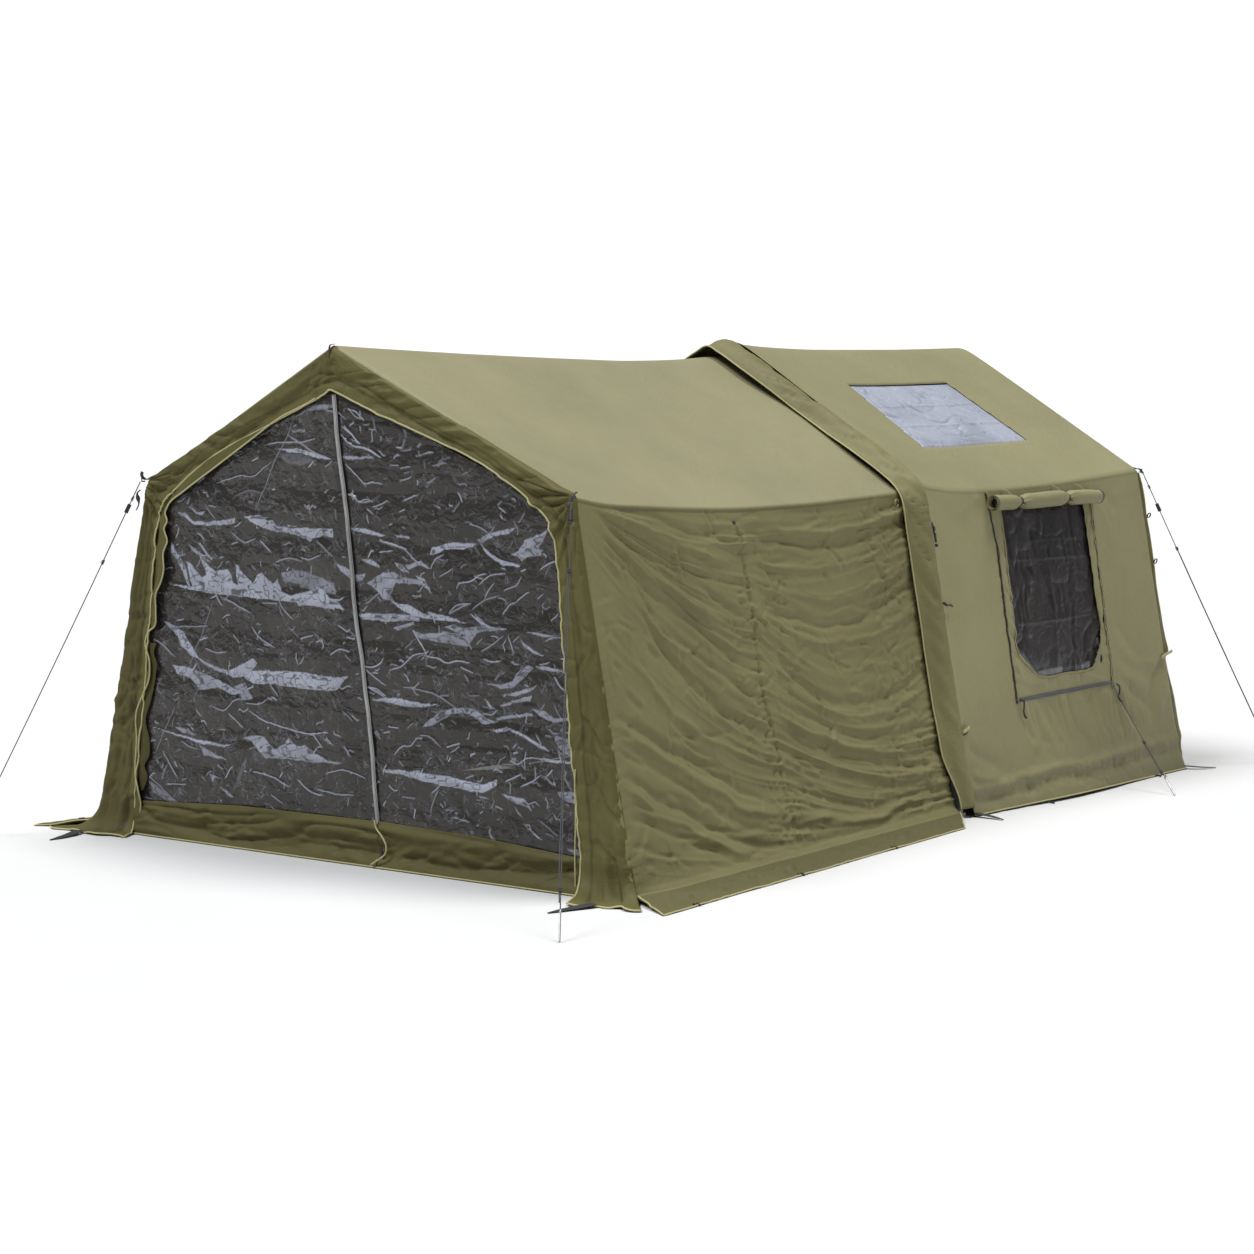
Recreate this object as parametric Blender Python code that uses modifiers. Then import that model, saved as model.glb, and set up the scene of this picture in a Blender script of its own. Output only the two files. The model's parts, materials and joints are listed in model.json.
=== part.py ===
"""Frame tent: a main tent on two large-tube arches, with a front annex stretched to a thin pole arch.

Metres, +Z up. X runs across the tent, -Y is the door end. The origin is on the ground, at the
middle of the tent's footprint (its guy lines left out).
"""

import math

import bmesh
import bpy
from mathutils import Matrix, Vector

# ---------------------------------------------------------------- driving dimensions
Y_MID = 2.66365         # the front arch's plane is this far in front of the origin

RIDGE_Z = 2.400
FRONT_EAVE = (1.348, 1.749)     # x, z of the outer corner over the front arch
FRONT_FOOT_X = 1.720
MAIN_EAVE = (1.195, 1.689)      # the same over the mid and rear arches
MAIN_FOOT_X = 1.520
JOIN_INSET = 0.048              # the annex passes inside the main tent's front edge by this much

RIDGE_LEAN = -0.060             # the front ridge is pulled forward by the guys
EAVE_LEAN = 0.040               # and the front eaves give backward a little

ANNEX_END = 2.925               # distances behind the front plane
MID_ARCH = 3.000
MAIN_START = 3.046
MAIN_END = 5.324
REAR_ARCH = 5.278
REAR_WALL = 5.3345

CLOTH = 0.003                   # thickness of a fabric panel
FILM = 0.003
SEAM_GAP = 0.004                # between neighbouring panels
AIR = 0.0003                    # between touching pieces

POLE_R, POLE_WALL = 0.014, 0.0015       # thin front arch
TUBE_R, TUBE_WALL = 0.038, 0.0022       # main arches
SPLIT_BELOW_EAVE = 0.26
FOOT_RIM = 0.003                # how far a foot's pad stands out past its leg
SPIGOT = 0.060
PURLIN_R = 0.016

FLAP_OUT = (0.270, 0.220)       # width of the mud flap lying on the ground, front and rear
JOINT_FLAP = (2.845, 3.042)     # sleeve strip over the mid arch
ROLL_R = 0.040
GUY_R = 0.0025
TENSIONER_R, TENSIONER_BORE, TENSIONER_LEN = 0.010, 0.0036, 0.046

# doorway: the inner edge of the gable border, from the ground up to the apex
JAMB_FOOT_X, JAMB_TAPER = 1.4420, 0.1186
JAMB_TOP_Z = 1.533
DOOR_CURVE = ((1.205, 1.650), (1.123, 1.716), (0.903, 1.851), (0.450, 2.030))
DOOR_APEX_Z = 2.200
DOOR_GAP = 0.006
ZIP_FOOT_X, ZIP_TAPER = 0.235, 0.103      # the middle zip leans: its x at the ground, and how it falls with height
ZIP_HALF = 0.003

# window hole in the main side wall: (distance behind the front plane, height)
WINDOW = ((3.800, 1.500), (4.660, 1.500), (4.612, 0.790), (4.470, 0.640), (3.940, 0.640), (3.745, 0.790))
WINDOW_ZIPS = (3.638, 4.655)
ZIP_LOW, ZIP_TRAVEL = 0.540, 0.900
ROLL_ENDS, ROLL_Z = (3.605, 4.800), 1.568
# skylight hole in the right slope: (distance behind the front plane, x)
SKYLIGHT = ((3.631, 0.357), (4.615, 0.361), (4.658, 0.847), (3.591, 0.844))

# guy lines: (hook tip, where the peg enters the ground), both as (x, distance behind the front plane, z)
GUYS = {
    "front_left": ((-1.380, 0.022, 1.740), (-1.965, -0.590, 0.0)),
    "front_right": ((1.366, 0.002, 1.722), (2.032, -0.886, 0.0)),
    "rear_right": ((1.224, 5.322, 1.684), (1.785, 5.920, 0.0)),
    "side_right": ((1.438, 4.644, 0.520), (1.990, 4.340, 0.0)),
}
PEG_OUT = 0.140            # how much of each peg stands out of the ground, in line with its cord
PEG_R = 0.0045
GUY_SAG = {"front_left": 0.010, "front_right": 0.010, "rear_right": 0.010, "side_right": 0.003}
TENSIONER_AT = {"front_left": 0.080, "front_right": 0.035, "rear_right": 0.125}
TENSIONER_TRAVEL = 0.10

# ---------------------------------------------------------------- scene set-up
for old in list(bpy.data.objects):
    bpy.data.objects.remove(old, do_unlink=True)
for old in list(bpy.data.collections):
    bpy.data.collections.remove(old)

TENT = bpy.data.collections.new("frame_tent")
CUTTERS = bpy.data.collections.new("frame_tent_cutters")
for group in (TENT, CUTTERS):
    bpy.context.scene.collection.children.link(group)


def material(name, colour, roughness, metallic=0.0):
    m = bpy.data.materials.new(name)
    m.use_nodes = True
    shader = m.node_tree.nodes["Principled BSDF"]
    shader.inputs["Base Color"].default_value = (*colour, 1.0)
    shader.inputs["Roughness"].default_value = roughness
    shader.inputs["Metallic"].default_value = metallic
    return m


OLIVE = material("olive_cloth", (0.235, 0.215, 0.110), 0.85)
OLIVE_DARK = material("olive_cloth_dark", (0.130, 0.120, 0.055), 0.85)
CLEAR = material("clear_film", (0.110, 0.105, 0.100), 0.20)
SKY = material("skylight_film", (0.450, 0.500, 0.580), 0.25)
MESH = material("window_mesh", (0.050, 0.048, 0.045), 0.60)
ALLOY = material("alloy_tube", (0.560, 0.570, 0.580), 0.35, 1.0)
COATED = material("coated_tube", (0.085, 0.088, 0.092), 0.45, 0.6)
BLACK = material("black_plastic", (0.020, 0.020, 0.020), 0.45)
GREY = material("grey_cap", (0.420, 0.430, 0.430), 0.50)
ROPE = material("guy_cord", (0.110, 0.110, 0.110), 0.80)
STEEL = material("peg_steel", (0.500, 0.500, 0.500), 0.35, 1.0)


def at(x, depth, z):
    """World point from x, the distance behind the front plane, and z."""
    return Vector((x, depth - Y_MID, z))


def front_lean(x, z):
    """How far behind the front plane the gable's cloth lies at (x, z)."""
    side = min(abs(x) / FRONT_EAVE[0], 1.0)
    return EAVE_LEAN * z / FRONT_EAVE[1] * side + RIDGE_LEAN * z / RIDGE_Z * (1.0 - side)


def gable(x, z, back=0.0):
    return at(x, front_lean(x, z) + back, z)


def finish(obj, mat, smooth=None):
    """Puts the object in the tent's collection with its own copy of the material."""
    for group in list(obj.users_collection):
        group.objects.unlink(obj)
    TENT.objects.link(obj)
    own = mat.copy()
    own.name = mat.name + "_" + obj.name
    obj.data.materials.clear()
    obj.data.materials.append(own)
    if smooth is not None and obj.type == "MESH":
        obj.data.shade_smooth()
        obj.data.set_sharp_from_angle(angle=math.radians(smooth))
    return obj


def facing(start, end):
    """Rotation that takes local +Z along start to end."""
    return (end - start).to_track_quat("Z", "Y").to_matrix().to_4x4()


# ---------------------------------------------------------------- shape makers
def turned(name, profile, start, end, mat, steps=16, smooth=35):
    """A closed (radius, height) profile turned round the line from start to end."""
    mesh = bpy.data.meshes.new(name)
    bm = bmesh.new()
    ring = [bm.verts.new((r, 0.0, h)) for r, h in profile]
    closed = all(r > 1e-6 for r, _ in profile)
    for i in range(len(ring) - (0 if closed else 1)):
        bm.edges.new((ring[i], ring[(i + 1) % len(ring)]))
    bm.to_mesh(mesh)
    bm.free()
    obj = bpy.data.objects.new(name, mesh)
    obj.matrix_world = Matrix.Translation(start) @ facing(start, end)
    screw = obj.modifiers.new("turn", "SCREW")
    screw.steps = screw.render_steps = steps
    screw.use_merge_vertices = True
    screw.merge_threshold = 0.00005
    screw.use_normal_calculate = False
    return finish(obj, mat, smooth)


def pipe_profile(outer, inner, length, spigot_r=None, spigot=0.0):
    """Outer side runs down from the top, then up the bore: a tube with an optional reduced top end."""
    side = [(outer, length), (outer, 0.0), (inner, 0.0)]
    if spigot_r is None:
        return [*side, (inner, length)]
    return [(spigot_r, length + spigot), (spigot_r, length), *side, (inner, length - 0.02),
            (spigot_r - 0.0012, length), (spigot_r - 0.0012, length + spigot)]


def wire(name, points, radius, mat, resolution=2, smooth=40):
    """A round bar or cord along the points."""
    data = bpy.data.curves.new(name, "CURVE")
    data.dimensions = "3D"
    data.bevel_depth = radius
    data.bevel_resolution = resolution
    data.use_fill_caps = True
    spline = data.splines.new("POLY")
    spline.points.add(len(points) - 1)
    for p, co in zip(spline.points, points):
        p.co = (*co, 1.0)
    obj = bpy.data.objects.new(name, data)
    return finish(obj, mat)


def as_mesh(obj):
    """The curve object made a mesh object with welded caps."""
    bpy.context.view_layer.update()
    graph = bpy.context.evaluated_depsgraph_get()
    mesh = bpy.data.meshes.new_from_object(obj.evaluated_get(graph))
    bm = bmesh.new()
    bm.from_mesh(mesh)
    bmesh.ops.remove_doubles(bm, verts=bm.verts, dist=1e-5)
    bmesh.ops.recalc_face_normals(bm, faces=bm.faces)
    bm.to_mesh(mesh)
    bm.free()
    name = obj.name
    placed = obj.matrix_world.copy()
    bpy.data.objects.remove(obj, do_unlink=True)
    made = bpy.data.objects.new(name, mesh)
    made.matrix_world = placed
    TENT.objects.link(made)
    return made


def cut(obj, cutter):
    """Takes the cutter out of the object with a Boolean, and files the cutter away."""
    for group in list(cutter.users_collection):
        group.objects.unlink(cutter)
    CUTTERS.objects.link(cutter)
    cutter.hide_render = True
    cutter.display_type = "WIRE"
    boolean = obj.modifiers.new("bore", "BOOLEAN")
    boolean.operation = "DIFFERENCE"
    boolean.object = cutter


def bent_pipe(name, points, outer, inner, mat, resolution):
    """A hollow tube along the points, open at both ends."""
    body = as_mesh(wire(name, points, outer, mat, resolution))
    first, last = (points[0] - points[1]).normalized(), (points[-1] - points[-2]).normalized()
    through = [points[0] + first * 0.02, *points[1:-1], points[-1] + last * 0.02]
    core = as_mesh(wire(name + "_bore", through, inner, mat, resolution))
    finish(body, mat, 40)
    cut(body, core)
    return body


def plate(name, origin, ux, uy, loops, thickness, mat):
    """A flat panel: loops are outlines in the (ux, uy) plane through origin, its middle surface."""
    data = bpy.data.curves.new(name, "CURVE")
    data.dimensions = "2D"
    data.fill_mode = "BOTH"
    data.extrude = thickness / 2
    for loop in loops:
        spline = data.splines.new("POLY")
        spline.points.add(len(loop) - 1)
        for p, (u, v) in zip(spline.points, loop):
            p.co = (u, v, 0.0, 1.0)
        spline.use_cyclic_u = True
    obj = bpy.data.objects.new(name, data)
    ux, uy = ux.normalized(), uy.normalized()
    obj.matrix_world = Matrix.Translation(origin) @ Matrix((ux, uy, ux.cross(uy))).transposed().to_4x4()
    return finish(obj, mat)


def skin(name, rows, thickness, mat, outward, grow=-1.0):
    """An open sheet through a grid of points, thickened. grow -1 keeps the points as its outer face, +1 as its inner."""
    across, down = len(rows[0]), len(rows)
    mesh = bpy.data.meshes.new(name)
    bm = bmesh.new()
    made = bmesh.ops.create_grid(bm, x_segments=across - 1, y_segments=down - 1, size=1.0)["verts"]
    places = sorted(made, key=lambda v: (round(v.co.y, 6), round(v.co.x, 6)))
    for v, co in zip(places, [p for row in rows for p in row]):
        v.co = co
    bm.normal_update()
    total = Vector((0, 0, 0))
    for face in bm.faces:
        total += face.normal * face.calc_area()
    if total.dot(outward) < 0:
        bmesh.ops.reverse_faces(bm, faces=bm.faces)
    bm.to_mesh(mesh)
    bm.free()
    obj = bpy.data.objects.new(name, mesh)
    solid = obj.modifiers.new("cloth", "SOLIDIFY")
    solid.thickness = thickness
    solid.offset = grow
    solid.use_even_offset = True
    return finish(obj, mat)


def mirror(p, side):
    return Vector((p.x * side, p.y, p.z))


def mix(a, b, t):
    return a + (b - a) * t


SIDES = (("left", -1), ("right", 1))


# ---------------------------------------------------------------- the three arches
def inset_profile(eave, foot_x, ridge_z, d):
    """(foot, eave, ridge) of the outer skin moved inward by d, as (x, z), foot at z = 0."""
    up = Vector((eave[0] - foot_x, eave[1])).normalized()
    roof = Vector((-eave[0], ridge_z - eave[1])).normalized()
    wall_in, roof_in = Vector((-up.y, up.x)), Vector((-roof.y, roof.x))
    a = Vector((foot_x, 0.0)) + wall_in * d
    b = Vector(eave) + roof_in * d
    cross = up.x * roof.y - up.y * roof.x
    t = ((b.x - a.x) * roof.y - (b.y - a.y) * roof.x) / cross
    corner = a + up * t
    top = b + roof * (-b.x / roof.x)
    return a - up * (a.y / up.y), corner, top


def fillet(a, b, c, radius, steps):
    """Points round the corner b between a and c."""
    u, w = (a - b).normalized(), (c - b).normalized()
    half = u.angle(w) / 2
    reach = radius / math.tan(half)
    centre = b + (u + w).normalized() * radius / math.sin(half)
    start, end = b + u * reach, b + w * reach
    s, e = start - centre, end - centre
    turn = s.angle(e)
    axis = s.cross(e).normalized()
    return [centre + Matrix.Rotation(turn * i / steps, 3, axis) @ s for i in range(steps + 1)]


def arch(prefix, eave, foot_x, ridge_z, depth, radius, wall, bend, mat, foot_h, leans=(0.0, 0.0, 0.0), resolution=4):
    """Two legs, two rafters bent at the eave, a ridge elbow and two feet."""
    foot2, eave2, ridge2 = inset_profile(eave, foot_x, ridge_z, radius + CLOTH + 0.006)
    sides = 4 + 2 * resolution
    bore = radius - wall
    plug = bore * math.cos(math.pi / sides) - 2 * AIR   # clears the flats of a bore with this many sides
    eave_mids = {}
    ridge = at(0.0, depth + leans[2], ridge2.y)
    for side_name, side in SIDES:
        ground = at(foot2.x * side, depth + leans[0], 0.0)
        corner = at(eave2.x * side, depth + leans[1], eave2.y)
        up = (corner - ground).normalized()
        split = corner - up * SPLIT_BELOW_EAVE
        base = ground + up * ((foot_h + radius * 0.22 + 0.0015) / up.z)
        length = (split - base).length
        turned(f"{prefix}_leg_{side_name}",
               pipe_profile(radius, bore, length, plug, SPIGOT),
               base, split, mat, steps=sides)
        along = (ridge - corner).normalized()
        stop = ridge - along * (radius * 0.62 + 0.012)
        curve = fillet(split, corner, ridge, bend, 5)
        eave_mids[side_name] = curve[len(curve) // 2]
        points = [split + up * AIR, *curve, mix(curve[-1], stop, 0.5), stop]
        bent_pipe(f"{prefix}_rafter_{side_name}", points, radius, bore, mat, resolution)
        # a foot: a flat pad with a round knob that goes up into the leg
        knob = plug * 0.90
        pad = radius + FOOT_RIM
        rise = base.z + knob * 0.25 - foot_h
        profile = [(0.0, foot_h + rise + knob)]
        for i in range(1, 5):
            angle = math.pi / 2 * i / 4
            profile.append((knob * math.sin(angle), foot_h + rise + knob * math.cos(angle)))
        profile += [(knob * 0.92, foot_h), (pad - 0.003, foot_h), (pad, foot_h - 0.003), (pad, 0.0), (0.0, 0.0)]
        knob_at = ground + up * ((foot_h + rise) / up.z)
        turned(f"{prefix}_foot_{side_name}", profile,
               Vector((knob_at.x, knob_at.y, 0.0)), Vector((knob_at.x, knob_at.y, 1.0)),
               BLACK if prefix == "front" else GREY, steps=sides)
    # the ridge elbow: a bar bent at the ridge that plugs into both rafters
    ends = []
    for side in (1, -1):
        corner = at(eave2.x * side, depth + leans[1], eave2.y)
        ends.append(ridge + (corner - ridge).normalized() * 0.15)
    wire(f"{prefix}_ridge_elbow", [ends[0], ridge, ends[1]], plug, mat, resolution)
    return ridge, eave_mids


FOOT_H = {"front": 0.012, "mid": 0.022, "rear": 0.022}
BEHIND = POLE_R + 0.016
arch("front", FRONT_EAVE, FRONT_FOOT_X, RIDGE_Z, BEHIND, POLE_R, POLE_WALL, 0.11, ALLOY, FOOT_H["front"],
     leans=(0.0, EAVE_LEAN, RIDGE_LEAN), resolution=2)
mid_ridge, _ = arch("mid", MAIN_EAVE, MAIN_FOOT_X, RIDGE_Z, MID_ARCH, TUBE_R, TUBE_WALL, 0.20, COATED, FOOT_H["mid"], resolution=3)
rear_ridge, _ = arch("rear", MAIN_EAVE, MAIN_FOOT_X, RIDGE_Z, REAR_ARCH, TUBE_R, TUBE_WALL, 0.20, COATED, FOOT_H["rear"], resolution=3)

# the ridge purlin spaces the two main arches, end faces against their elbows
reach = TUBE_R - TUBE_WALL - 0.0006 + AIR
purlin_z = mid_ridge.z - 0.004
start, end = Vector((0, mid_ridge.y + reach + 0.001, purlin_z)), Vector((0, rear_ridge.y - reach - 0.001, purlin_z))
turned("ridge_purlin", pipe_profile(PURLIN_R, PURLIN_R - 0.0015, (end - start).length), start, end, COATED, steps=10)


# ---------------------------------------------------------------- annex cloth
INNER_EAVE = (MAIN_EAVE[0] - JOIN_INSET, MAIN_EAVE[1] - JOIN_INSET * 0.9)
INNER_FOOT_X = MAIN_FOOT_X - JOIN_INSET
INNER_RIDGE = RIDGE_Z - JOIN_INSET * 1.05
ANNEX_STEPS = 5
for side_name, side in SIDES:
    outward = Vector((side * 0.5, 0, 0.85))
    rows = []
    for t in (0.0, 0.5, 1.0):
        row = []
        for i in range(ANNEX_STEPS + 1):
            s = i / ANNEX_STEPS
            high = mix(gable(0.004, RIDGE_Z, SEAM_GAP + 0.002), at(0.004, ANNEX_END, INNER_RIDGE), s)
            low = mix(gable(FRONT_EAVE[0], FRONT_EAVE[1], SEAM_GAP + 0.002),
                      at(INNER_EAVE[0], ANNEX_END, INNER_EAVE[1]), s)
            low = mix(low, high, 0.004)
            row.append(mirror(mix(high, low, t), side))
        rows.append(row)
    skin(f"annex_roof_{side_name}", rows, CLOTH, OLIVE, outward)

    rows = []
    for t in (0.0, 0.5, 1.0, None):
        row = []
        for i in range(ANNEX_STEPS + 1):
            s = i / ANNEX_STEPS
            high = mix(gable(FRONT_EAVE[0], FRONT_EAVE[1], SEAM_GAP + 0.002),
                       at(INNER_EAVE[0], ANNEX_END, INNER_EAVE[1]), s) - Vector((CLOTH, 0, 0))
            low = mix(at(FRONT_FOOT_X, SEAM_GAP + 0.002, 0.0), at(INNER_FOOT_X, ANNEX_END, 0.0), s) - Vector((CLOTH, 0, 0))
            high = mix(high, low, 0.006)
            p = low + Vector((mix(*FLAP_OUT, s), 0, 0)) if t is None else mix(high, low, t)
            row.append(mirror(p, side))
        rows.append(row)
    skin(f"annex_wall_{side_name}", rows, CLOTH, OLIVE, Vector((side, 0, 0.2)), grow=1.0)

# ---------------------------------------------------------------- gable border and door leaves
def jamb_x(z):
    return JAMB_FOOT_X - JAMB_TAPER * z


def front_wall_x(z):
    return FRONT_FOOT_X + (FRONT_EAVE[0] - FRONT_FOOT_X) * z / FRONT_EAVE[1]


def front_roof_z(x):
    return RIDGE_Z - (RIDGE_Z - FRONT_EAVE[1]) * x / FRONT_EAVE[0]


EDGE = 0.004
border = [((front_wall_x(z) - EDGE, z), (jamb_x(z), z)) for z in (0.0, 0.5, 1.0)]
border.append(((front_wall_x(1.48) - EDGE, 1.48), (jamb_x(JAMB_TOP_Z), JAMB_TOP_Z)))
border.append(((FRONT_EAVE[0] - EDGE, FRONT_EAVE[1] - EDGE), DOOR_CURVE[0]))
border += [((x + 0.02, front_roof_z(x + 0.02) - EDGE), (x, z)) for x, z in DOOR_CURVE[1:]]
border.append(((0.003, RIDGE_Z - EDGE), (0.003, DOOR_APEX_Z)))


def zip_x(z):
    return ZIP_FOOT_X - ZIP_TAPER * z


# height at the middle zip, and the far corner at the same row
leaf = [(0.006, (jamb_x(0.006) - DOOR_GAP, 0.006)),
        (0.50, (jamb_x(0.50) - DOOR_GAP, 0.50)),
        (1.00, (jamb_x(1.00) - DOOR_GAP, 1.00)),
        (1.50, (jamb_x(JAMB_TOP_Z) - DOOR_GAP, JAMB_TOP_Z)),
        (1.66, (DOOR_CURVE[0][0] - 0.006, DOOR_CURVE[0][1] - 0.006)),
        (1.80, (DOOR_CURVE[1][0] - 0.004, DOOR_CURVE[1][1] - 0.008)),
        (1.98, (DOOR_CURVE[2][0] - 0.003, DOOR_CURVE[2][1] - 0.009)),
        (2.10, (DOOR_CURVE[3][0] - 0.003, DOOR_CURVE[3][1] - 0.009)),
        (DOOR_APEX_Z - 0.014, (0.024, DOOR_APEX_Z - 0.018))]

for side_name, side in SIDES:
    rows = [[mirror(gable(*outer), side), mirror(gable(*inner), side)] for outer, inner in border]
    skin(f"gable_border_{side_name}", rows, CLOTH, OLIVE_DARK, Vector((0, -1, 0)), grow=1.0)
    rows = []
    for z, far in leaf:
        near = (zip_x(z) * side + ZIP_HALF, z)
        rows.append([mirror(mix(gable(*near), gable(*far), t), side) for t in (0.0, 0.5, 1.0)])
    door = skin(f"door_leaf_{side_name}", rows, FILM, CLEAR, Vector((0, -1, 0)), grow=1.0)
    # its origin is on the jamb line that it swings about
    axis_foot = mirror(gable(jamb_x(0.0) - DOOR_GAP, 0.0, -FILM), side)
    door.data.transform(Matrix.Translation(-axis_foot))
    door.location = axis_foot


def box(name, size, place, mat, bevel=0.0):
    """A small box with its edges rounded; place is a matrix to its centre."""
    mesh = bpy.data.meshes.new(name)
    bm = bmesh.new()
    bmesh.ops.create_cube(bm, size=1.0)
    bmesh.ops.scale(bm, vec=size, verts=bm.verts)
    bm.to_mesh(mesh)
    bm.free()
    obj = bpy.data.objects.new(name, mesh)
    obj.matrix_world = place
    if bevel:
        round_off = obj.modifiers.new("round", "BEVEL")
        round_off.width = bevel
        round_off.segments = 1
    return finish(obj, mat)


# the door's zip slider, on the right leaf's edge beside the middle zip, in line with it
slider_z = 0.075
along = (gable(zip_x(2.075), 2.075) - gable(zip_x(0.075), 0.075)).normalized()
across = (Vector((1, 0, 0)) - along * along.x).normalized()
turn = Matrix((across, along.cross(across), along)).transposed().to_4x4()
box("door_zip_slider", (0.014, 0.007, 0.046),
    Matrix.Translation(gable(zip_x(slider_z) + 0.013, slider_z, -FILM - 0.0055)) @ turn, BLACK, 0.002)

# ---------------------------------------------------------------- main tent cloth
slope = Vector((MAIN_EAVE[0], 0, MAIN_EAVE[1] - RIDGE_Z)).normalized()
slope_out = Vector((-slope.z, 0, slope.x))
rise = Vector((MAIN_EAVE[0] - MAIN_FOOT_X, 0, MAIN_EAVE[1])).normalized()
rise_out = Vector((rise.z, 0, -rise.x))
slope_len = math.hypot(MAIN_EAVE[0], RIDGE_Z - MAIN_EAVE[1])
rise_len = math.hypot(MAIN_EAVE[0] - MAIN_FOOT_X, MAIN_EAVE[1])
DEPTHS = (MAIN_START, MAIN_END)


def shrink(loop, d):
    """The convex outline moved inward by d."""
    n = len(loop)
    area = sum(loop[i][0] * loop[(i + 1) % n][1] - loop[(i + 1) % n][0] * loop[i][1] for i in range(n))
    turn = 1.0 if area > 0 else -1.0
    out = []
    for i in range(n):
        a, b, c = Vector(loop[i - 1]), Vector(loop[i]), Vector(loop[(i + 1) % n])
        u, w = (b - a).normalized(), (c - b).normalized()
        nu, nw = Vector((-u.y, u.x)) * turn, Vector((-w.y, w.x)) * turn
        bisect = (nu + nw).normalized()
        out.append(tuple(b + bisect * d / bisect.dot(nu)))
    return out


for side_name, side in SIDES:
    # roof slope: u is the distance behind the front plane, v is down the slope
    origin = mirror(at(0, 0, RIDGE_Z) - slope_out * CLOTH / 2, side)
    u, v = Vector((0, 1, 0)), mirror(slope, side)
    loops = [[(DEPTHS[0], 0.006), (DEPTHS[1], 0.006), (DEPTHS[1], slope_len - 0.004), (DEPTHS[0], slope_len - 0.004)]]
    hole = [(depth, x / slope.x) for depth, x in SKYLIGHT]
    if side > 0:
        loops.append(hole)
    plate(f"main_roof_{side_name}", origin, u, v, loops, CLOTH, OLIVE)
    if side > 0:
        plate("skylight", origin, u, v, [shrink(hole, SEAM_GAP)], FILM, SKY)
    # side wall: v is up the wall
    origin = mirror(at(MAIN_FOOT_X, 0, 0) - rise_out * CLOTH / 2, side)
    v = mirror(rise, side)
    low = abs(rise_out.z) * CLOTH / 2 / rise.z + CLOTH / 2 * rise_out.z / rise.z
    loops = [[(DEPTHS[0], low), (DEPTHS[1], low), (DEPTHS[1], rise_len - 0.006), (DEPTHS[0], rise_len - 0.006)]]
    hole = [(depth, z / rise.z) for depth, z in WINDOW]
    loops.append(hole)
    plate(f"main_wall_{side_name}", origin, u, v, loops, CLOTH, OLIVE)
    plate(f"window_{side_name}", origin, u, v, [shrink(hole, SEAM_GAP)], CLOTH, MESH)
    # the rolled-up window flap, hung under the eave
    wall_x = MAIN_FOOT_X + (MAIN_EAVE[0] - MAIN_FOOT_X) * ROLL_Z / MAIN_EAVE[1]
    centre = wall_x + (ROLL_R + 0.002) / rise_out.x
    turned(f"window_roll_{side_name}",
           [(0.0, ROLL_ENDS[1] - ROLL_ENDS[0]), (ROLL_R, ROLL_ENDS[1] - ROLL_ENDS[0]), (ROLL_R, 0.0), (0.0, 0.0)],
           at(centre * side, ROLL_ENDS[0], ROLL_Z), at(centre * side, ROLL_ENDS[1], ROLL_Z), OLIVE, steps=12)
    # sliders of the two side zips of the window flap
    for end_name, depth in zip(("front", "rear"), WINDOW_ZIPS):
        centre = at(MAIN_FOOT_X, depth, 0) + rise * (ZIP_LOW / rise.z) + rise_out * (0.0055 + 0.001)
        frame = Matrix((Vector((0, 1, 0)), rise, Vector((0, 1, 0)).cross(rise))).transposed().to_4x4()
        if side < 0:
            centre = mirror(centre, -1)
            m = mirror(rise, -1)
            frame = Matrix((Vector((0, 1, 0)), m, Vector((0, 1, 0)).cross(m))).transposed().to_4x4()
        box(f"window_zip_slider_{end_name}_{side_name}", (0.014, 0.040, 0.007),
            Matrix.Translation(centre) @ frame, BLACK, 0.002)

# sleeve strip over the mid arch, from hem to hem
ring = [Vector((MAIN_FOOT_X - (MAIN_FOOT_X - MAIN_EAVE[0]) * 0.05 / MAIN_EAVE[1], 0.05)),
        Vector((MAIN_FOOT_X, 0)).lerp(Vector(MAIN_EAVE), 0.5), Vector(MAIN_EAVE),
        Vector(MAIN_EAVE).lerp(Vector((0, RIDGE_Z)), 0.5), Vector((0, RIDGE_Z))]
ring += [Vector((-p.x, p.y)) for p in reversed(ring[:-1])]
rows = [[at(p.x, JOINT_FLAP[0], p.y), at(p.x, JOINT_FLAP[1], p.y)] for p in ring]
skin("joint_flap", rows, CLOTH, OLIVE, Vector((0, 0, 1)))

# rear wall: a flat gable panel
outline = [(-MAIN_FOOT_X, 0.0), (MAIN_FOOT_X, 0.0), (MAIN_EAVE[0], MAIN_EAVE[1]), (0.0, RIDGE_Z), (-MAIN_EAVE[0], MAIN_EAVE[1])]
plate("rear_wall", at(0, REAR_WALL - CLOTH / 2, 0), Vector((1, 0, 0)), Vector((0, 0, 1)), [outline], CLOTH, OLIVE)


# ---------------------------------------------------------------- guy lines
def guy_points(name, count):
    """Points of the taut line, with the little sag it keeps."""
    top, ground = (at(*p) for p in GUYS[name])
    foot = ground + (top - ground).normalized() * (PEG_OUT + PEG_R + GUY_R + 2 * AIR)
    return [mix(top, foot, i / (count - 1)) - Vector((0, 0, 4 * GUY_SAG[name])) * (i / (count - 1)) * (1 - i / (count - 1))
            for i in range(count)]


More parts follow.
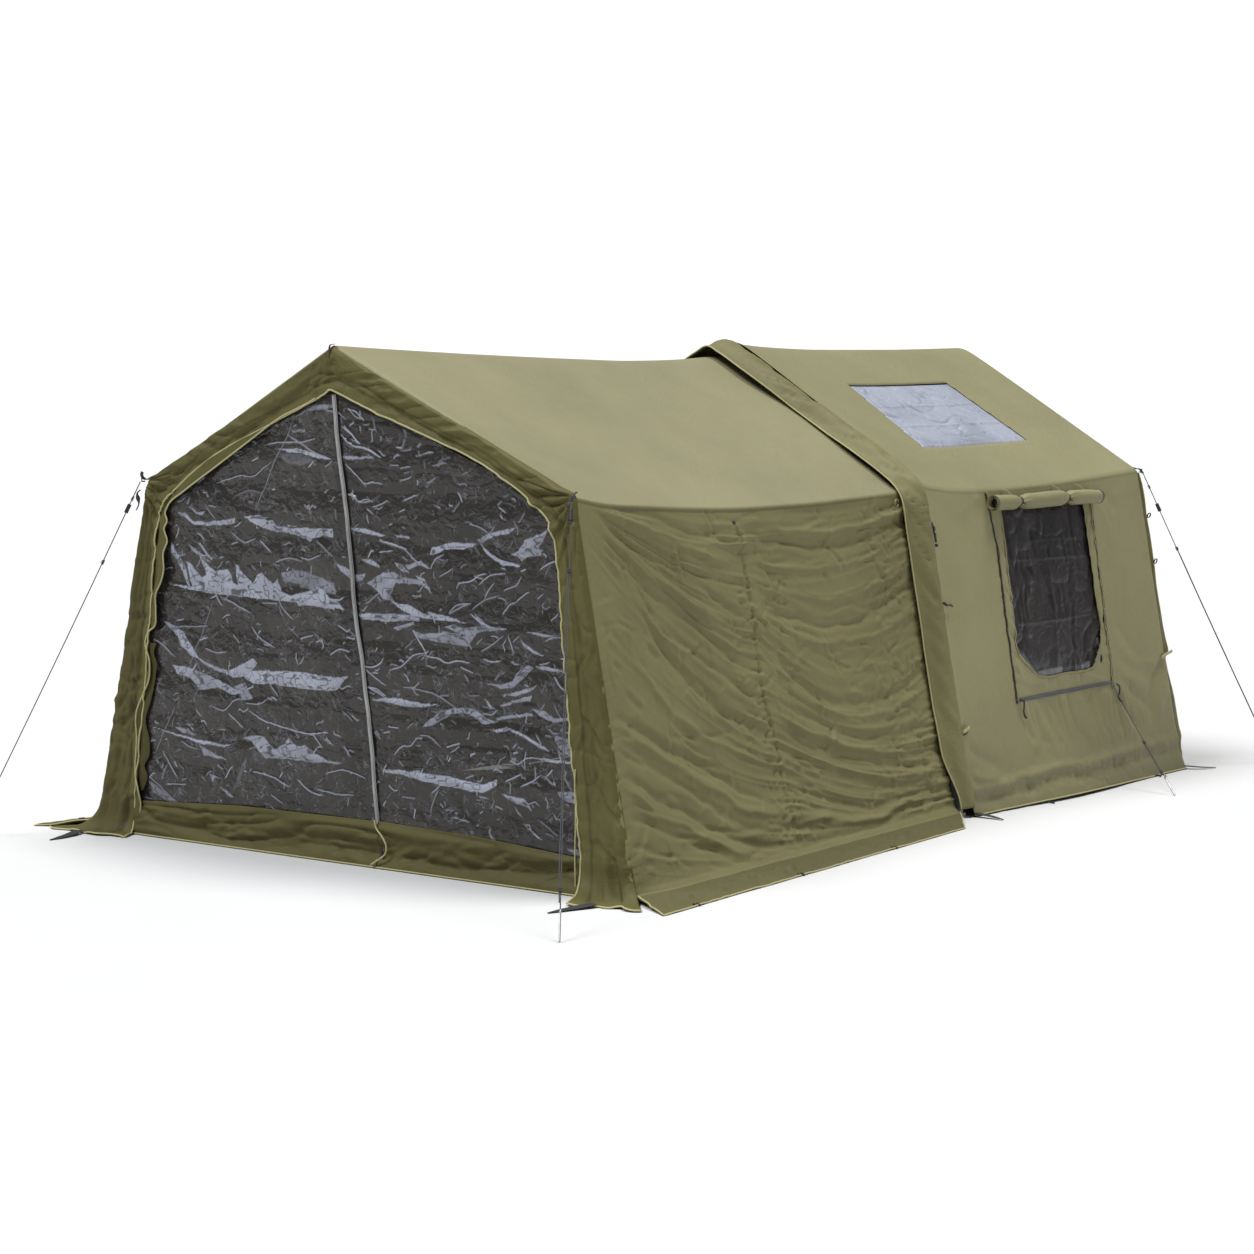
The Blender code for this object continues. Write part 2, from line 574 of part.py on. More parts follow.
HOOK_ROOT = {"front_left": (-1.361, 0.036, 1.742), "front_right": (1.361, 0.036, 1.742), "rear_right": (1.209, 5.306, 1.691)}
for name in GUYS:
    count = 10 if name == "side_right" else 22
    line = guy_points(name, count)
    wire(f"guy_{name}", line, GUY_R, ROPE, 2)
    # the peg: a straight shank in line with the cord, and a hook that turns outward over the cord's end
    ground = at(*GUYS[name][1])
    along = (at(*GUYS[name][0]) - ground).normalized()
    toward = Vector((-along.x, -along.y, 0)).normalized()
    level = (toward - along * toward.dot(along)).normalized()
    foot = ground + along * (PEG_R / along.z)
    top = ground + along * PEG_OUT
    wire(f"peg_{name}", [foot, top - along * 0.006, top + level * 0.005, top + level * 0.013 - along * 0.002, top + level * 0.019 - along * 0.014],
         PEG_R, STEEL, 2)
    if name in HOOK_ROOT:
        # the corner hook: a short bar that stands out from the eave corner and turns up
        root, tip = at(*HOOK_ROOT[name]), line[0]
        out = (tip - root).normalized()
        reach_to = tip - out * (GUY_R + 0.0035 + AIR + 0.001)
        wire(f"eave_hook_{name}", [root, mix(root, reach_to, 0.6), reach_to, reach_to + Vector((0, 0, 0.022))],
             0.0035, BLACK, 2)
        middle = TENSIONER_AT[name]
        a, b = guy_points(name, 401)[int(middle * 400) - 2], guy_points(name, 401)[int(middle * 400) + 2]
        axis = (b - a).normalized()
        centre = mix(a, b, 0.5)
        turned(f"tensioner_{name}",
               [(TENSIONER_R, TENSIONER_LEN), (TENSIONER_R, 0.0), (TENSIONER_BORE, 0.0), (TENSIONER_BORE, TENSIONER_LEN)],
               centre - axis * TENSIONER_LEN / 2, centre + axis * TENSIONER_LEN / 2, BLACK, steps=10)
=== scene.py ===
"""Looks of the frame tent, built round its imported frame. Metres, +Z up, the door end towards -Y."""
import json
import math

import bmesh
import bpy
import numpy as np
from mathutils import Matrix, Vector


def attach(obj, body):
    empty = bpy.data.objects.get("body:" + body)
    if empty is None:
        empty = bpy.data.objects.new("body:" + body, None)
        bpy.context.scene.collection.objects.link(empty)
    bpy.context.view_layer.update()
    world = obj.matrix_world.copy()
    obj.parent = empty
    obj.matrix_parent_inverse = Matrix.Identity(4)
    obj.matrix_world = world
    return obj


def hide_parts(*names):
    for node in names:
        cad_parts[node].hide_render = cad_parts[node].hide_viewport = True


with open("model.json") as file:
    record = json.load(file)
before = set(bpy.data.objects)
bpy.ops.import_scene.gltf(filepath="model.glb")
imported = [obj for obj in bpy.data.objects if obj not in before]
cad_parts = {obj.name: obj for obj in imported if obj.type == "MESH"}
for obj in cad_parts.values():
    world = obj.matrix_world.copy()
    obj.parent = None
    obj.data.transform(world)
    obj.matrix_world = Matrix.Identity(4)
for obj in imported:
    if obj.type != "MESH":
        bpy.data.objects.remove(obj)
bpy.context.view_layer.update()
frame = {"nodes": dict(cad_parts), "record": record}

NODES = frame["nodes"]
Y_MID = 2.66365            # the front arch's plane is this far in front of the origin
RNG = np.random.default_rng

# ================================================================ numbers shared with the construction
RIDGE_Z = 2.400
FRONT_EAVE = (1.348, 1.749)
FRONT_FOOT_X = 1.720
MAIN_EAVE = (1.195, 1.689)
MAIN_FOOT_X = 1.520
RIDGE_LEAN, EAVE_LEAN = -0.060, 0.040
JAMB_FOOT_X, JAMB_TAPER, JAMB_TOP_Z = 1.4420, 0.1186, 1.533
DOOR_CURVE = ((1.205, 1.650), (1.123, 1.716), (0.903, 1.851), (0.450, 2.030))
DOOR_APEX_Z = 2.200
DOOR_GAP = 0.006
ZIP_FOOT_X, ZIP_TAPER = 0.235, 0.103
WINDOW = ((3.782, 1.546), (4.646, 1.540), (4.596, 0.790), (4.470, 0.640), (3.922, 0.640), (3.718, 0.790))
SKYLIGHT = ((3.631, 0.357), (4.615, 0.361), (4.658, 0.847), (3.591, 0.844))
ROLL_ENDS, ROLL_Z, ROLL_R = (3.605, 4.800), 1.568, 0.040
GUYS = {                   # the hook's tip, and where the peg enters the ground
    "front_left": ((-1.380, 0.022, 1.740), (-1.965, -0.590, 0.0)),
    "front_right": ((1.366, 0.002, 1.722), (2.032, -0.886, 0.0)),
    "rear_right": ((1.224, 5.322, 1.684), (1.785, 5.920, 0.0)),
    "side_right": ((1.438, 4.644, 0.520), (1.990, 4.340, 0.0)),
}
PEG_OUT, PEG_R = 0.140, 0.0045
GUY_SAG = {"front_left": 0.010, "front_right": 0.010, "rear_right": 0.010, "side_right": 0.003}
GUY_R = 0.0025


# ================================================================ small maths
def P3(x, depth, z):
    """World points from x, the distance behind the front plane, and z."""
    x, depth, z = np.broadcast_arrays(np.asarray(x, float), np.asarray(depth, float), np.asarray(z, float))
    return np.stack([x, depth - Y_MID, z], -1)


def smooth(t):
    t = np.clip(t, 0.0, 1.0)
    return t * t * (3 - 2 * t)


def mix(a, b, t):
    return a + (b - a) * t


def bell(d, w):
    return np.exp(-(d / w) ** 2)


def spline(xs, ys, x):
    """Smooth curve through the points (xs, ys), held at its ends."""
    xs, ys = np.asarray(xs, float), np.asarray(ys, float)
    x = np.clip(np.asarray(x, float), xs[0], xs[-1])
    m = np.gradient(ys, xs, axis=0)
    i = np.clip(np.searchsorted(xs, x, side="right") - 1, 0, len(xs) - 2)
    h = xs[i + 1] - xs[i]
    t = (x - xs[i]) / h
    if ys.ndim > 1:
        t, h = t[..., None], h[..., None]
    return ((2 * t ** 3 - 3 * t ** 2 + 1) * ys[i] + (t ** 3 - 2 * t ** 2 + t) * h * m[i]
            + (-2 * t ** 3 + 3 * t ** 2) * ys[i + 1] + (t ** 3 - t ** 2) * h * m[i + 1])


def lattice(ix, iy, seed):
    n = (ix * 374761393 + iy * 668265263 + seed * 144269504) & 0xFFFFFFFF
    n = ((n ^ (n >> 13)) * 1274126177) & 0xFFFFFFFF
    return ((n ^ (n >> 16)) & 0xFFFFFF) / float(0xFFFFFF)


def noise(x, y, seed=0):
    """Value noise, -1 to 1."""
    x, y = np.broadcast_arrays(np.asarray(x, float), np.asarray(y, float))
    ix, iy = np.floor(x).astype(np.int64), np.floor(y).astype(np.int64)
    fx, fy = x - ix, y - iy
    fx, fy = fx ** 3 * (fx * (fx * 6 - 15) + 10), fy ** 3 * (fy * (fy * 6 - 15) + 10)
    a, b = lattice(ix, iy, seed), lattice(ix + 1, iy, seed)
    c, d = lattice(ix, iy + 1, seed), lattice(ix + 1, iy + 1, seed)
    return 2 * mix(mix(a, b, fx), mix(c, d, fx), fy) - 1


def fbm(x, y, seed=0, octaves=3):
    total, gain = 0.0, 1.0
    for k in range(octaves):
        total = total + gain * noise(np.asarray(x) * 2 ** k, np.asarray(y) * 2 ** k, seed + 17 * k)
        gain *= 0.5
    return total / 1.75


def ridged(x, y, seed=0):
    """Noise with soft crests and narrower valleys, -1 to 1."""
    n = np.abs(noise(x, y, seed))
    return 2 * np.sqrt(n + 0.01) - 1


def to_line(px, py, line):
    """Distance to the polyline, signed (positive on its right going along), and the share of its length."""
    line = np.asarray(line, float)
    seg = np.hypot(*(line[1:] - line[:-1]).T)
    total, run = seg.sum(), 0.0
    best = np.full(px.shape, 1e9)
    where = np.zeros(px.shape)
    side = np.ones(px.shape)
    for (ax, ay), (bx, by), length in zip(line[:-1], line[1:], seg):
        dx, dy = (bx - ax) / length, (by - ay) / length
        t = np.clip((px - ax) * dx + (py - ay) * dy, 0, length)
        qx, qy = px - ax - dx * t, py - ay - dy * t
        d = np.hypot(qx, qy)
        near = d < best
        best = np.where(near, d, best)
        where = np.where(near, (run + t) / total, where)
        side = np.where(near, np.sign(qx * dy - qy * dx), side)
        run += length
    return best, side, where


def refine(line, n=14):
    """The polyline as a smooth curve of n points."""
    line = np.asarray(line, float)
    if len(line) < 3:
        return line
    s = np.concatenate([[0], np.cumsum(np.hypot(*(line[1:] - line[:-1]).T[:2]))])
    return spline(s, line, np.linspace(0, s[-1], n))


def folds(px, py, lines):
    """Sum of soft folds. Each is (points, depth, width towards the right side, width towards the left side, end fade)."""
    h = np.zeros(px.shape)
    for line, depth, wr, wl, fade in lines:
        line = refine(line)
        lo, hi = line.min(0) - 4 * max(wr, wl), line.max(0) + 4 * max(wr, wl)
        m = (px > lo[0]) & (px < hi[0]) & (py > lo[1]) & (py < hi[1])
        if not m.any():
            continue
        d, side, u = to_line(px[m], py[m], line)
        w = np.where(side > 0, wr, wl)
        h[m] += depth * np.exp(-(d / w) ** 2 / (1 + 0.35 * d / w)) * smooth(u / fade[0]) * smooth((1 - u) / fade[1])
    return h


def strokes(px, py, many, seed, box, heading, reach, deep, wide):
    """Sum of many short, sharp creases, a valley with a crest beside it. heading gives the direction at a point."""
    rng = np.random.default_rng(seed)
    h = np.zeros(px.shape)
    for _ in range(many):
        cx, cy = rng.uniform(box[0], box[1]), rng.uniform(box[2], box[3])
        turn, long_, depth, w, bend = rng.uniform(-1, 1), rng.uniform(*reach), rng.uniform(*deep), rng.uniform(*wide), rng.uniform(-0.25, 0.25)
        sign = 1.0 if rng.random() < 0.75 else -0.8
        way = heading(cx, cy, turn)
        if way is None:
            continue
        c, s_ = math.cos(way), math.sin(way)
        a = np.linspace(-0.5, 0.5, 5) * long_
        off = bend * long_ * (0.25 - (a / long_) ** 2) * 2
        line = np.stack([cx + a * c - off * s_, cy + a * s_ + off * c], 1)
        lo, hi = line.min(0) - 4 * w, line.max(0) + 4 * w
        m = (px > lo[0]) & (px < hi[0]) & (py > lo[1]) & (py < hi[1])
        if not m.any():
            continue
        d, side, u = to_line(px[m], py[m], line)
        across = d * side * sign
        h[m] += depth * (-np.exp(-(across / w) ** 2) + 0.8 * np.exp(-((across - 1.7 * w) / (1.1 * w)) ** 2)) * smooth(u / 0.35) * smooth((1 - u) / 0.35)
    return h


# ================================================================ camera, from the photograph's perspective
CAM = np.array([9.82872, -12.94741, 2.36736])
YAW, PITCH = math.radians(38.4024), math.radians(5.0983)
FOCAL = 3071.5             # in pixels of the 1254 frame
CAM_F = np.array([-math.sin(YAW) * math.cos(PITCH), math.cos(YAW) * math.cos(PITCH), -math.sin(PITCH)])
CAM_R = np.array([math.cos(YAW), math.sin(YAW), 0.0])
CAM_U = np.cross(CAM_R, CAM_F)


def spot(pixels, normal, point):
    """Where pixels of the photograph's frame meet the plane, as (x, depth, z)."""
    pixels = np.asarray(pixels, float)
    u, v = (pixels[..., 0] - 627) / FOCAL, (627 - pixels[..., 1]) / FOCAL
    ray = CAM_F + u[..., None] * CAM_R + v[..., None] * CAM_U
    normal = np.asarray(normal, float)
    point = np.asarray(point, float) - np.array([0, Y_MID, 0])
    t = (point - CAM) @ normal / (ray @ normal)
    hit = CAM + ray * t[..., None]
    return hit + np.array([0, Y_MID, 0])


def crop(x0, y0, scale, points):
    """Pixels of an enlarged region as pixels of the whole frame."""
    return np.asarray(points, float) / scale + np.array([x0, y0])


data = bpy.data.cameras.new("camera")
data.sensor_width = 36.0
data.lens = FOCAL / 1254 * 36.0
data.clip_end = 200.0
camera = bpy.data.objects.new("camera", data)
bpy.context.scene.collection.objects.link(camera)
camera.matrix_world = Matrix((
    (CAM_R[0], CAM_U[0], -CAM_F[0], CAM[0]),
    (CAM_R[1], CAM_U[1], -CAM_F[1], CAM[1]),
    (CAM_R[2], CAM_U[2], -CAM_F[2], CAM[2]),
    (0, 0, 0, 1)))
bpy.context.scene.camera = camera


# ================================================================ materials
class Shade:
    """A node material under construction."""

    def __init__(self, name):
        self.m = bpy.data.materials.new(name)
        self.m.use_nodes = True
        self.t = self.m.node_tree
        self.shader = self.t.nodes["Principled BSDF"]
        self.where = self.t.nodes.new("ShaderNodeTexCoord").outputs["Object"]

    def node(self, kind, settings=None, **inputs):
        n = self.t.nodes.new("ShaderNode" + kind)
        for k, v in (settings or {}).items():
            setattr(n, k, v)
        for k, v in inputs.items():
            socket = n.inputs[int(k[1:])] if k[0] == "i" and k[1:].isdigit() else n.inputs[k.replace("_", " ")]
            if isinstance(v, bpy.types.NodeSocket):
                self.t.links.new(v, socket)
            else:
                socket.default_value = v
        return n

    def set(self, **inputs):
        for k, v in inputs.items():
            socket = self.shader.inputs[k.replace("_", " ")]
            if isinstance(v, bpy.types.NodeSocket):
                self.t.links.new(v, socket)
            else:
                socket.default_value = v

    def moved(self, scale=(1, 1, 1), turn=(0, 0, 0)):
        return self.node("Mapping", Vector=self.where, Scale=scale, Rotation=turn).outputs["Vector"]

    def noise(self, scale, detail=3.0, rough=0.55, vector=None, distort=0.0):
        return self.node("TexNoise", Vector=vector or self.where, Scale=scale, Detail=detail,
                         Roughness=rough, Distortion=distort).outputs["Fac"]

    def ramp(self, fac, *stops):
        n = self.node("ValToRGB", Fac=fac)
        r = n.color_ramp
        while len(r.elements) < len(stops):
            r.elements.new(0.5)
        for e, (p, c) in zip(r.elements, stops):
            e.position = p
            e.color = (*c, 1.0) if hasattr(c, "__len__") else (c, c, c, 1.0)
        return n.outputs["Color"]

    def blend(self, fac, a, b, how="MIX"):
        n = self.node("Mix", {"data_type": "RGBA", "blend_type": how})
        for socket, v in ((n.inputs[0], fac), (n.inputs[6], a), (n.inputs[7], b)):
            if isinstance(v, bpy.types.NodeSocket):
                self.t.links.new(v, socket)
            elif hasattr(v, "__len__"):
                socket.default_value = (*v, 1.0) if len(v) == 3 else v
            else:
                socket.default_value = v
        return n.outputs[2]

    def math(self, how, a, b=0.0):
        n = self.node("Math", {"operation": how})
        for socket, v in zip(n.inputs, (a, b)):
            if isinstance(v, bpy.types.NodeSocket):
                self.t.links.new(v, socket)
            else:
                socket.default_value = v
        return n.outputs[0]

    def bump(self, height, strength, distance, under=None):
        n = self.node("Bump", Height=height, Strength=strength, Distance=distance)
        if under is not None:
            self.t.links.new(under, n.inputs["Normal"])
        return n.outputs["Normal"]

    def attribute(self, name):
        return self.node("Attribute", {"attribute_name": name}).outputs["Fac"]


def cloth_material(name, colour, rough=0.62, specular=0.35, vary=0.10, crumple=0.25, tone=False, warm=False):
    """Coated woven cloth: a plain weave, slow colour change, fine crumples and soft wear."""
    s = Shade(name)
    c = np.array(colour)
    slow = s.noise(1.3, 4.0, 0.6)
    fine = s.noise(34.0, 3.0, 0.6)
    base = s.ramp(slow, (0.30, tuple(c * (1 - vary))), (0.70, tuple(c * (1 + vary))))
    base = s.blend(s.math("MULTIPLY", fine, 0.22), base, tuple(c * 0.80), "MIX")
    # threads of the weave, in two directions
    warp = s.node("TexWave", {"wave_type": "BANDS", "bands_direction": "Z", "wave_profile": "SIN"},
                  Vector=s.where, Scale=190.0, Distortion=0.6, Detail=1.0).outputs["Fac"]
    weft = s.node("TexWave", {"wave_type": "BANDS", "bands_direction": "DIAGONAL", "wave_profile": "SIN"},
                  Vector=s.moved((1, 1, 0.05)), Scale=190.0, Distortion=0.6, Detail=1.0).outputs["Fac"]
    threads = s.math("MULTIPLY", warp, weft)
    base = s.blend(s.math("MULTIPLY", threads, 0.10), base, tuple(c * 1.25), "MIX")
    n = s.bump(threads, 0.30, 0.0004)
    # shallow crumples: creased ridges that come and go
    broken = s.noise(9.0, 2.0, 0.5, distort=1.4)
    crease = s.ramp(broken, (0.44, 0.0), (0.50, 1.0), (0.56, 0.0))
    where = s.ramp(s.noise(2.3, 2.0), (0.45, 0.0), (0.62, 1.0))
    n = s.bump(s.math("MULTIPLY", crease, where), crumple, 0.004, n)
    n = s.bump(s.noise(7.0, 3.0, 0.55), 0.22, 0.012, n)
    if warm:      # where painted shade darkens a panel, its colour is also made richer, standing in for the whiter sheen of the lit roof
        much = s.math("MINIMUM", s.math("MULTIPLY", s.attribute("tone"), 6.0), 1.0)
        base = s.blend(much, base, (0.975, 0.955, 0.76), "MULTIPLY")
    if tone:      # darkened by the tone attribute: painted shade of shaded walls, seams and strips, with some tone that differs at random
        base = s.blend(s.attribute("tone"), base, (0.0, 0.0, 0.0))
    wear = s.ramp(fine, (0.35, rough - 0.05), (0.70, min(1.0, rough + 0.10)))
    s.set(Base_Color=base, Roughness=wear, Normal=n)
    s.shader.inputs["Specular IOR Level"].default_value = specular
    return s.m


OLIVE = (0.230, 0.215, 0.110)
CLOTH = cloth_material("olive_cloth", (0.242, 0.227, 0.132), rough=0.55, specular=0.18, tone=True, warm=True)
# the main cover's cloth is the olive made lighter: painted light for its brighter-lit walls
CLOTH_MAIN_LIT = cloth_material("olive_cloth_main_painted_lit", tuple(np.array(OLIVE) * 1.28), rough=0.52, specular=0.34, tone=True)
TRIM = cloth_material("olive_trim", OLIVE, vary=0.08, crumple=0.1)
CLOTH_FRONT = cloth_material("olive_cloth_front", (0.114, 0.103, 0.038), rough=0.55, specular=0.14, vary=0.12, tone=True)
CLOTH_DARK = cloth_material("olive_cloth_sill", (0.091, 0.082, 0.030), rough=0.55, specular=0.16, vary=0.16)
PIPING = cloth_material("piping", (0.420, 0.395, 0.200), rough=0.55, vary=0.08, crumple=0.05)


def plain_material(name, colour, rough, metallic=0.0, grain=120.0, amount=0.10, bump=0.1, specular=0.5, streak=None):
    """Moulded or drawn stuff: a grain, slight unevenness of colour and rubbed spots."""
    s = Shade(name)
    c = np.array(colour)
    v = s.moved(streak) if streak else s.where
    fine = s.noise(grain, 3.0, 0.6, v)
    slow = s.noise(6.0, 3.0, 0.5)
    base = s.ramp(slow, (0.30, tuple(c * (1 - amount))), (0.70, tuple(np.minimum(c * (1 + amount), 1))))
    rub = s.ramp(s.noise(22.0, 4.0, 0.65), (0.60, 0.0), (0.72, 1.0))
    base = s.blend(s.math("MULTIPLY", rub, 0.35), base, tuple(np.minimum(c * 1.6 + 0.01, 1)))
    s.set(Base_Color=base, Metallic=metallic, Normal=s.bump(fine, bump, 0.0006),
          Roughness=s.ramp(fine, (0.3, max(0.05, rough - 0.07)), (0.7, min(1.0, rough + 0.08))))
    s.shader.inputs["Specular IOR Level"].default_value = specular
    return s.m


BLACK = plain_material("black_plastic", (0.018, 0.018, 0.019), 0.42)
GREY = plain_material("grey_cap", (0.42, 0.43, 0.43), 0.50)
ALLOY = plain_material("alloy_tube", (0.56, 0.57, 0.58), 0.34, 1.0, 60.0, 0.06, 0.2, streak=(1, 1, 0.05))
COATED = plain_material("coated_tube", (0.085, 0.088, 0.092), 0.42, 0.3, 220.0, 0.10, 0.25)
STEEL = plain_material("peg_steel", (0.48, 0.48, 0.48), 0.38, 1.0, 90.0, 0.12, 0.2)
ZIP = plain_material("zip_tape", (0.020, 0.020, 0.022), 0.60, 0.0, 420.0, 0.12, 0.5, streak=(1, 1, 2.5))
ZIP_PALE = plain_material("zip_tape_clear", (0.20, 0.20, 0.20), 0.35, 0.0, 260.0, 0.25, 0.5, streak=(1, 1, 3.0))
COIL_PALE = plain_material("zip_coil_clear", (0.46, 0.46, 0.46), 0.30, 0.0, 260.0, 0.20, 0.5)
ZIP_GREY = plain_material("zip_tape_grey", (0.080, 0.080, 0.085), 0.60, 0.0, 420.0, 0.12, 0.5, streak=(1, 1, 2.5))
TOOTH = plain_material("zip_coil", (0.10, 0.10, 0.105), 0.35, 0.0, 320.0, 0.1, 0.3)
WEB = plain_material("webbing", (0.024, 0.024, 0.025), 0.70, 0.0, 500.0, 0.15, 0.7, streak=(1, 1, 2.0))


def rope_material(name, colour):
    """Braided cord: slanting strands with a fleck."""
    s = Shade(name)
    c = np.array(colour)
    a = s.node("TexWave", {"wave_type": "BANDS", "bands_direction": "DIAGONAL"}, Vector=s.moved((1, 1, 1.6)), Scale=115.0,
               Distortion=0.5, Detail=1.0).outputs["Fac"]
    b = s.node("TexWave", {"wave_type": "BANDS", "bands_direction": "DIAGONAL"}, Vector=s.moved((-1, -1, 1.6)), Scale=115.0,
               Distortion=0.5, Detail=1.0).outputs["Fac"]
    strands = s.math("MULTIPLY", a, b)
    base = s.blend(strands, tuple(c * 0.45), tuple(c * 1.5))
    base = s.blend(s.math("MULTIPLY", s.noise(300.0, 2.0), 0.3), base, tuple(c * 2.0))
    s.set(Base_Color=base, Roughness=s.ramp(strands, (0, 0.9), (1, 0.7)), Normal=s.bump(strands, 0.8, 0.0006))
    return s.m


ROPE = rope_material("guy_cord", (0.070, 0.070, 0.072))


def film_material(name, dark, light, alpha, scale=1.0, gloss=0.12, painted_glint=0.22, specular=0.5):
    """Creased clear film: dark and see-through, with painted bluish-white glints along its creases and facets, and a
    glassy skin.
    """
    s = Shade(name)
    glint_and_haze = s.attribute("glint_and_haze")
    v = s.moved((1, 1, 1.25))
    # fine squiggly creases, with glints painted along them
    squiggle = s.noise(13.0 * scale, 2.0, 0.5, v, 1.6)
    line = s.ramp(squiggle, (0.470, 0.0), (0.492, 1.0), (0.500, 1.0), (0.522, 0.0))
    hair = s.noise(27.0 * scale, 1.0, 0.5, v, 1.2)
    line2 = s.ramp(hair, (0.475, 0.0), (0.50, 1.0), (0.525, 0.0))
    patches = s.ramp(s.noise(3.1 * scale, 2.0, 0.5), (0.47, 0.0), (0.62, 1.0))
    gate = s.ramp(s.noise(19.0 * scale, 1.0, 0.5), (0.52, 0.0), (0.60, 1.0))
    marks = s.math("MULTIPLY", line, gate)
    marks = s.math("MAXIMUM", marks, s.math("MULTIPLY", s.math("MULTIPLY", line2, patches), gate))
    marks = s.math("MULTIPLY", marks, painted_glint)
    white = s.math("MINIMUM", s.math("MAXIMUM", glint_and_haze, marks), 1.0)
    mottled = s.ramp(s.noise(2.6 * scale, 4.0, 0.62, distort=0.6), (0.35, tuple(np.array(dark) * 0.72)), (0.68, tuple(np.array(dark) * 1.30)))
    base = s.blend(white, mottled, light)
    n = s.bump(squiggle, 0.55, 0.010)
    n = s.bump(hair, 0.35, 0.004, n)
    s.set(Base_Color=base, Normal=n,
          Roughness=s.ramp(white, (0.0, gloss), (1.0, 0.38)),
          Alpha=s.ramp(white, (0.0, alpha), (0.7, min(1.0, alpha + 0.14))))
    s.shader.inputs["Specular IOR Level"].default_value = specular
    s.shader.inputs["IOR"].default_value = 1.5
    return s.m


FILM = film_material("clear_film", (0.030, 0.027, 0.0235), (0.40, 0.425, 0.52), 0.88, specular=0.45)
SKYFILM = film_material("skylight_film", (0.205, 0.226, 0.275), (0.345, 0.372, 0.440), 0.97, 0.8, 0.26)
NET = film_material("window_mesh", (0.022, 0.018, 0.017), (0.23, 0.24, 0.26), 0.97, 0.7, 0.34, 0.03, 0.30)

FINISH = {"olive_cloth": CLOTH, "olive_cloth_dark": CLOTH_FRONT, "clear_film": FILM, "skylight_film": SKYFILM,
          "window_mesh": NET, "alloy_tube": ALLOY, "coated_tube": COATED, "black_plastic": BLACK, "grey_cap": GREY,
          "guy_cord": ROPE, "peg_steel": STEEL}
for part in frame["record"]["subparts"]:
    obj = NODES[part["node"]]
    obj.data.materials.clear()
    obj.data.materials.append(FINISH[part["material_slot"]])


# ================================================================ mesh makers
def put(obj, material, body="tent", stands_for=()):
    bpy.context.scene.collection.objects.link(obj)
    obj.data.materials.append(material)
    if body:
        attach(obj, body)
    if stands_for:
        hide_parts(*stands_for)
    return obj


def mesh_of(name, verts, faces, attrs=None):
    """A smooth-shaded mesh from arrays; faces are rows of 3 or 4, or a list of such arrays."""
    me = bpy.data.meshes.new(name)
    verts = np.asarray(verts, np.float32).reshape(-1, 3)
    groups = faces if isinstance(faces, list) else [faces]
    groups = [np.asarray(g, np.int32) for g in groups if len(g)]
    loops = np.concatenate([g.ravel() for g in groups])
    sizes = np.concatenate([np.full(len(g), g.shape[1], np.int32) for g in groups])
    me.vertices.add(len(verts))
    me.vertices.foreach_set("co", verts.ravel())
    me.loops.add(len(loops))
    me.loops.foreach_set("vertex_index", loops)
    me.polygons.add(len(sizes))
    me.polygons.foreach_set("loop_start", np.concatenate([[0], np.cumsum(sizes)[:-1]]).astype(np.int32))
    me.update(calc_edges=True)
    me.polygons.foreach_set("use_smooth", np.ones(len(sizes), bool))
    for key, values in (attrs or {}).items():
        a = me.attributes.new(key, "FLOAT", "POINT")
        a.data.foreach_set("value", np.asarray(values, np.float32).ravel())
    me.validate()
    return bpy.data.objects.new(name, me)


def grid(name, P, keep=None, attrs=None, outward=None, thickness=0.0):
    """A quad sheet over the grid of points P (rows, columns, 3); keep says which of its faces to make."""
    n, m = P.shape[:2]
    idx = np.arange(n * m).reshape(n, m)
    q = np.stack([idx[:-1, :-1], idx[:-1, 1:], idx[1:, 1:], idx[1:, :-1]], -1)
    q = q[keep] if keep is not None else q.reshape(-1, 4)
    used = np.unique(q)
    back = np.full(n * m, -1)
    back[used] = np.arange(len(used))
    V = P.reshape(-1, 3)[used]
    q = back[q]
    if outward is not None:
        a = np.cross(V[q[:, 2]] - V[q[:, 0]], V[q[:, 3]] - V[q[:, 1]])
        if callable(outward):
            score = (a * outward(V[q].mean(1))).sum()
        else:
            score = (a * np.asarray(outward)).sum()
        if score < 0:
            q = q[:, ::-1]
    obj = mesh_of(name, V, q, {k: v.reshape(-1)[used] for k, v in (attrs or {}).items()})
    if thickness:
        solid = obj.modifiers.new("cloth", "SOLIDIFY")
        solid.thickness = thickness
        solid.offset = -1.0
    return obj


def frames(path):
    """Tangents and two steady cross directions along a path."""
    t = np.gradient(path, axis=0)
    t /= np.linalg.norm(t, axis=1)[:, None] + 1e-12
    a = np.zeros_like(t)
    ref = np.array([0, 0, 1.0]) if abs(t[0][2]) < 0.9 else np.array([1.0, 0, 0])
    a[0] = np.cross(t[0], ref)
    a[0] /= np.linalg.norm(a[0])
    for i in range(1, len(t)):
        v = a[i - 1] - t[i] * (a[i - 1] @ t[i])
        a[i] = v / (np.linalg.norm(v) + 1e-12)
    return t, a, np.cross(t, a)


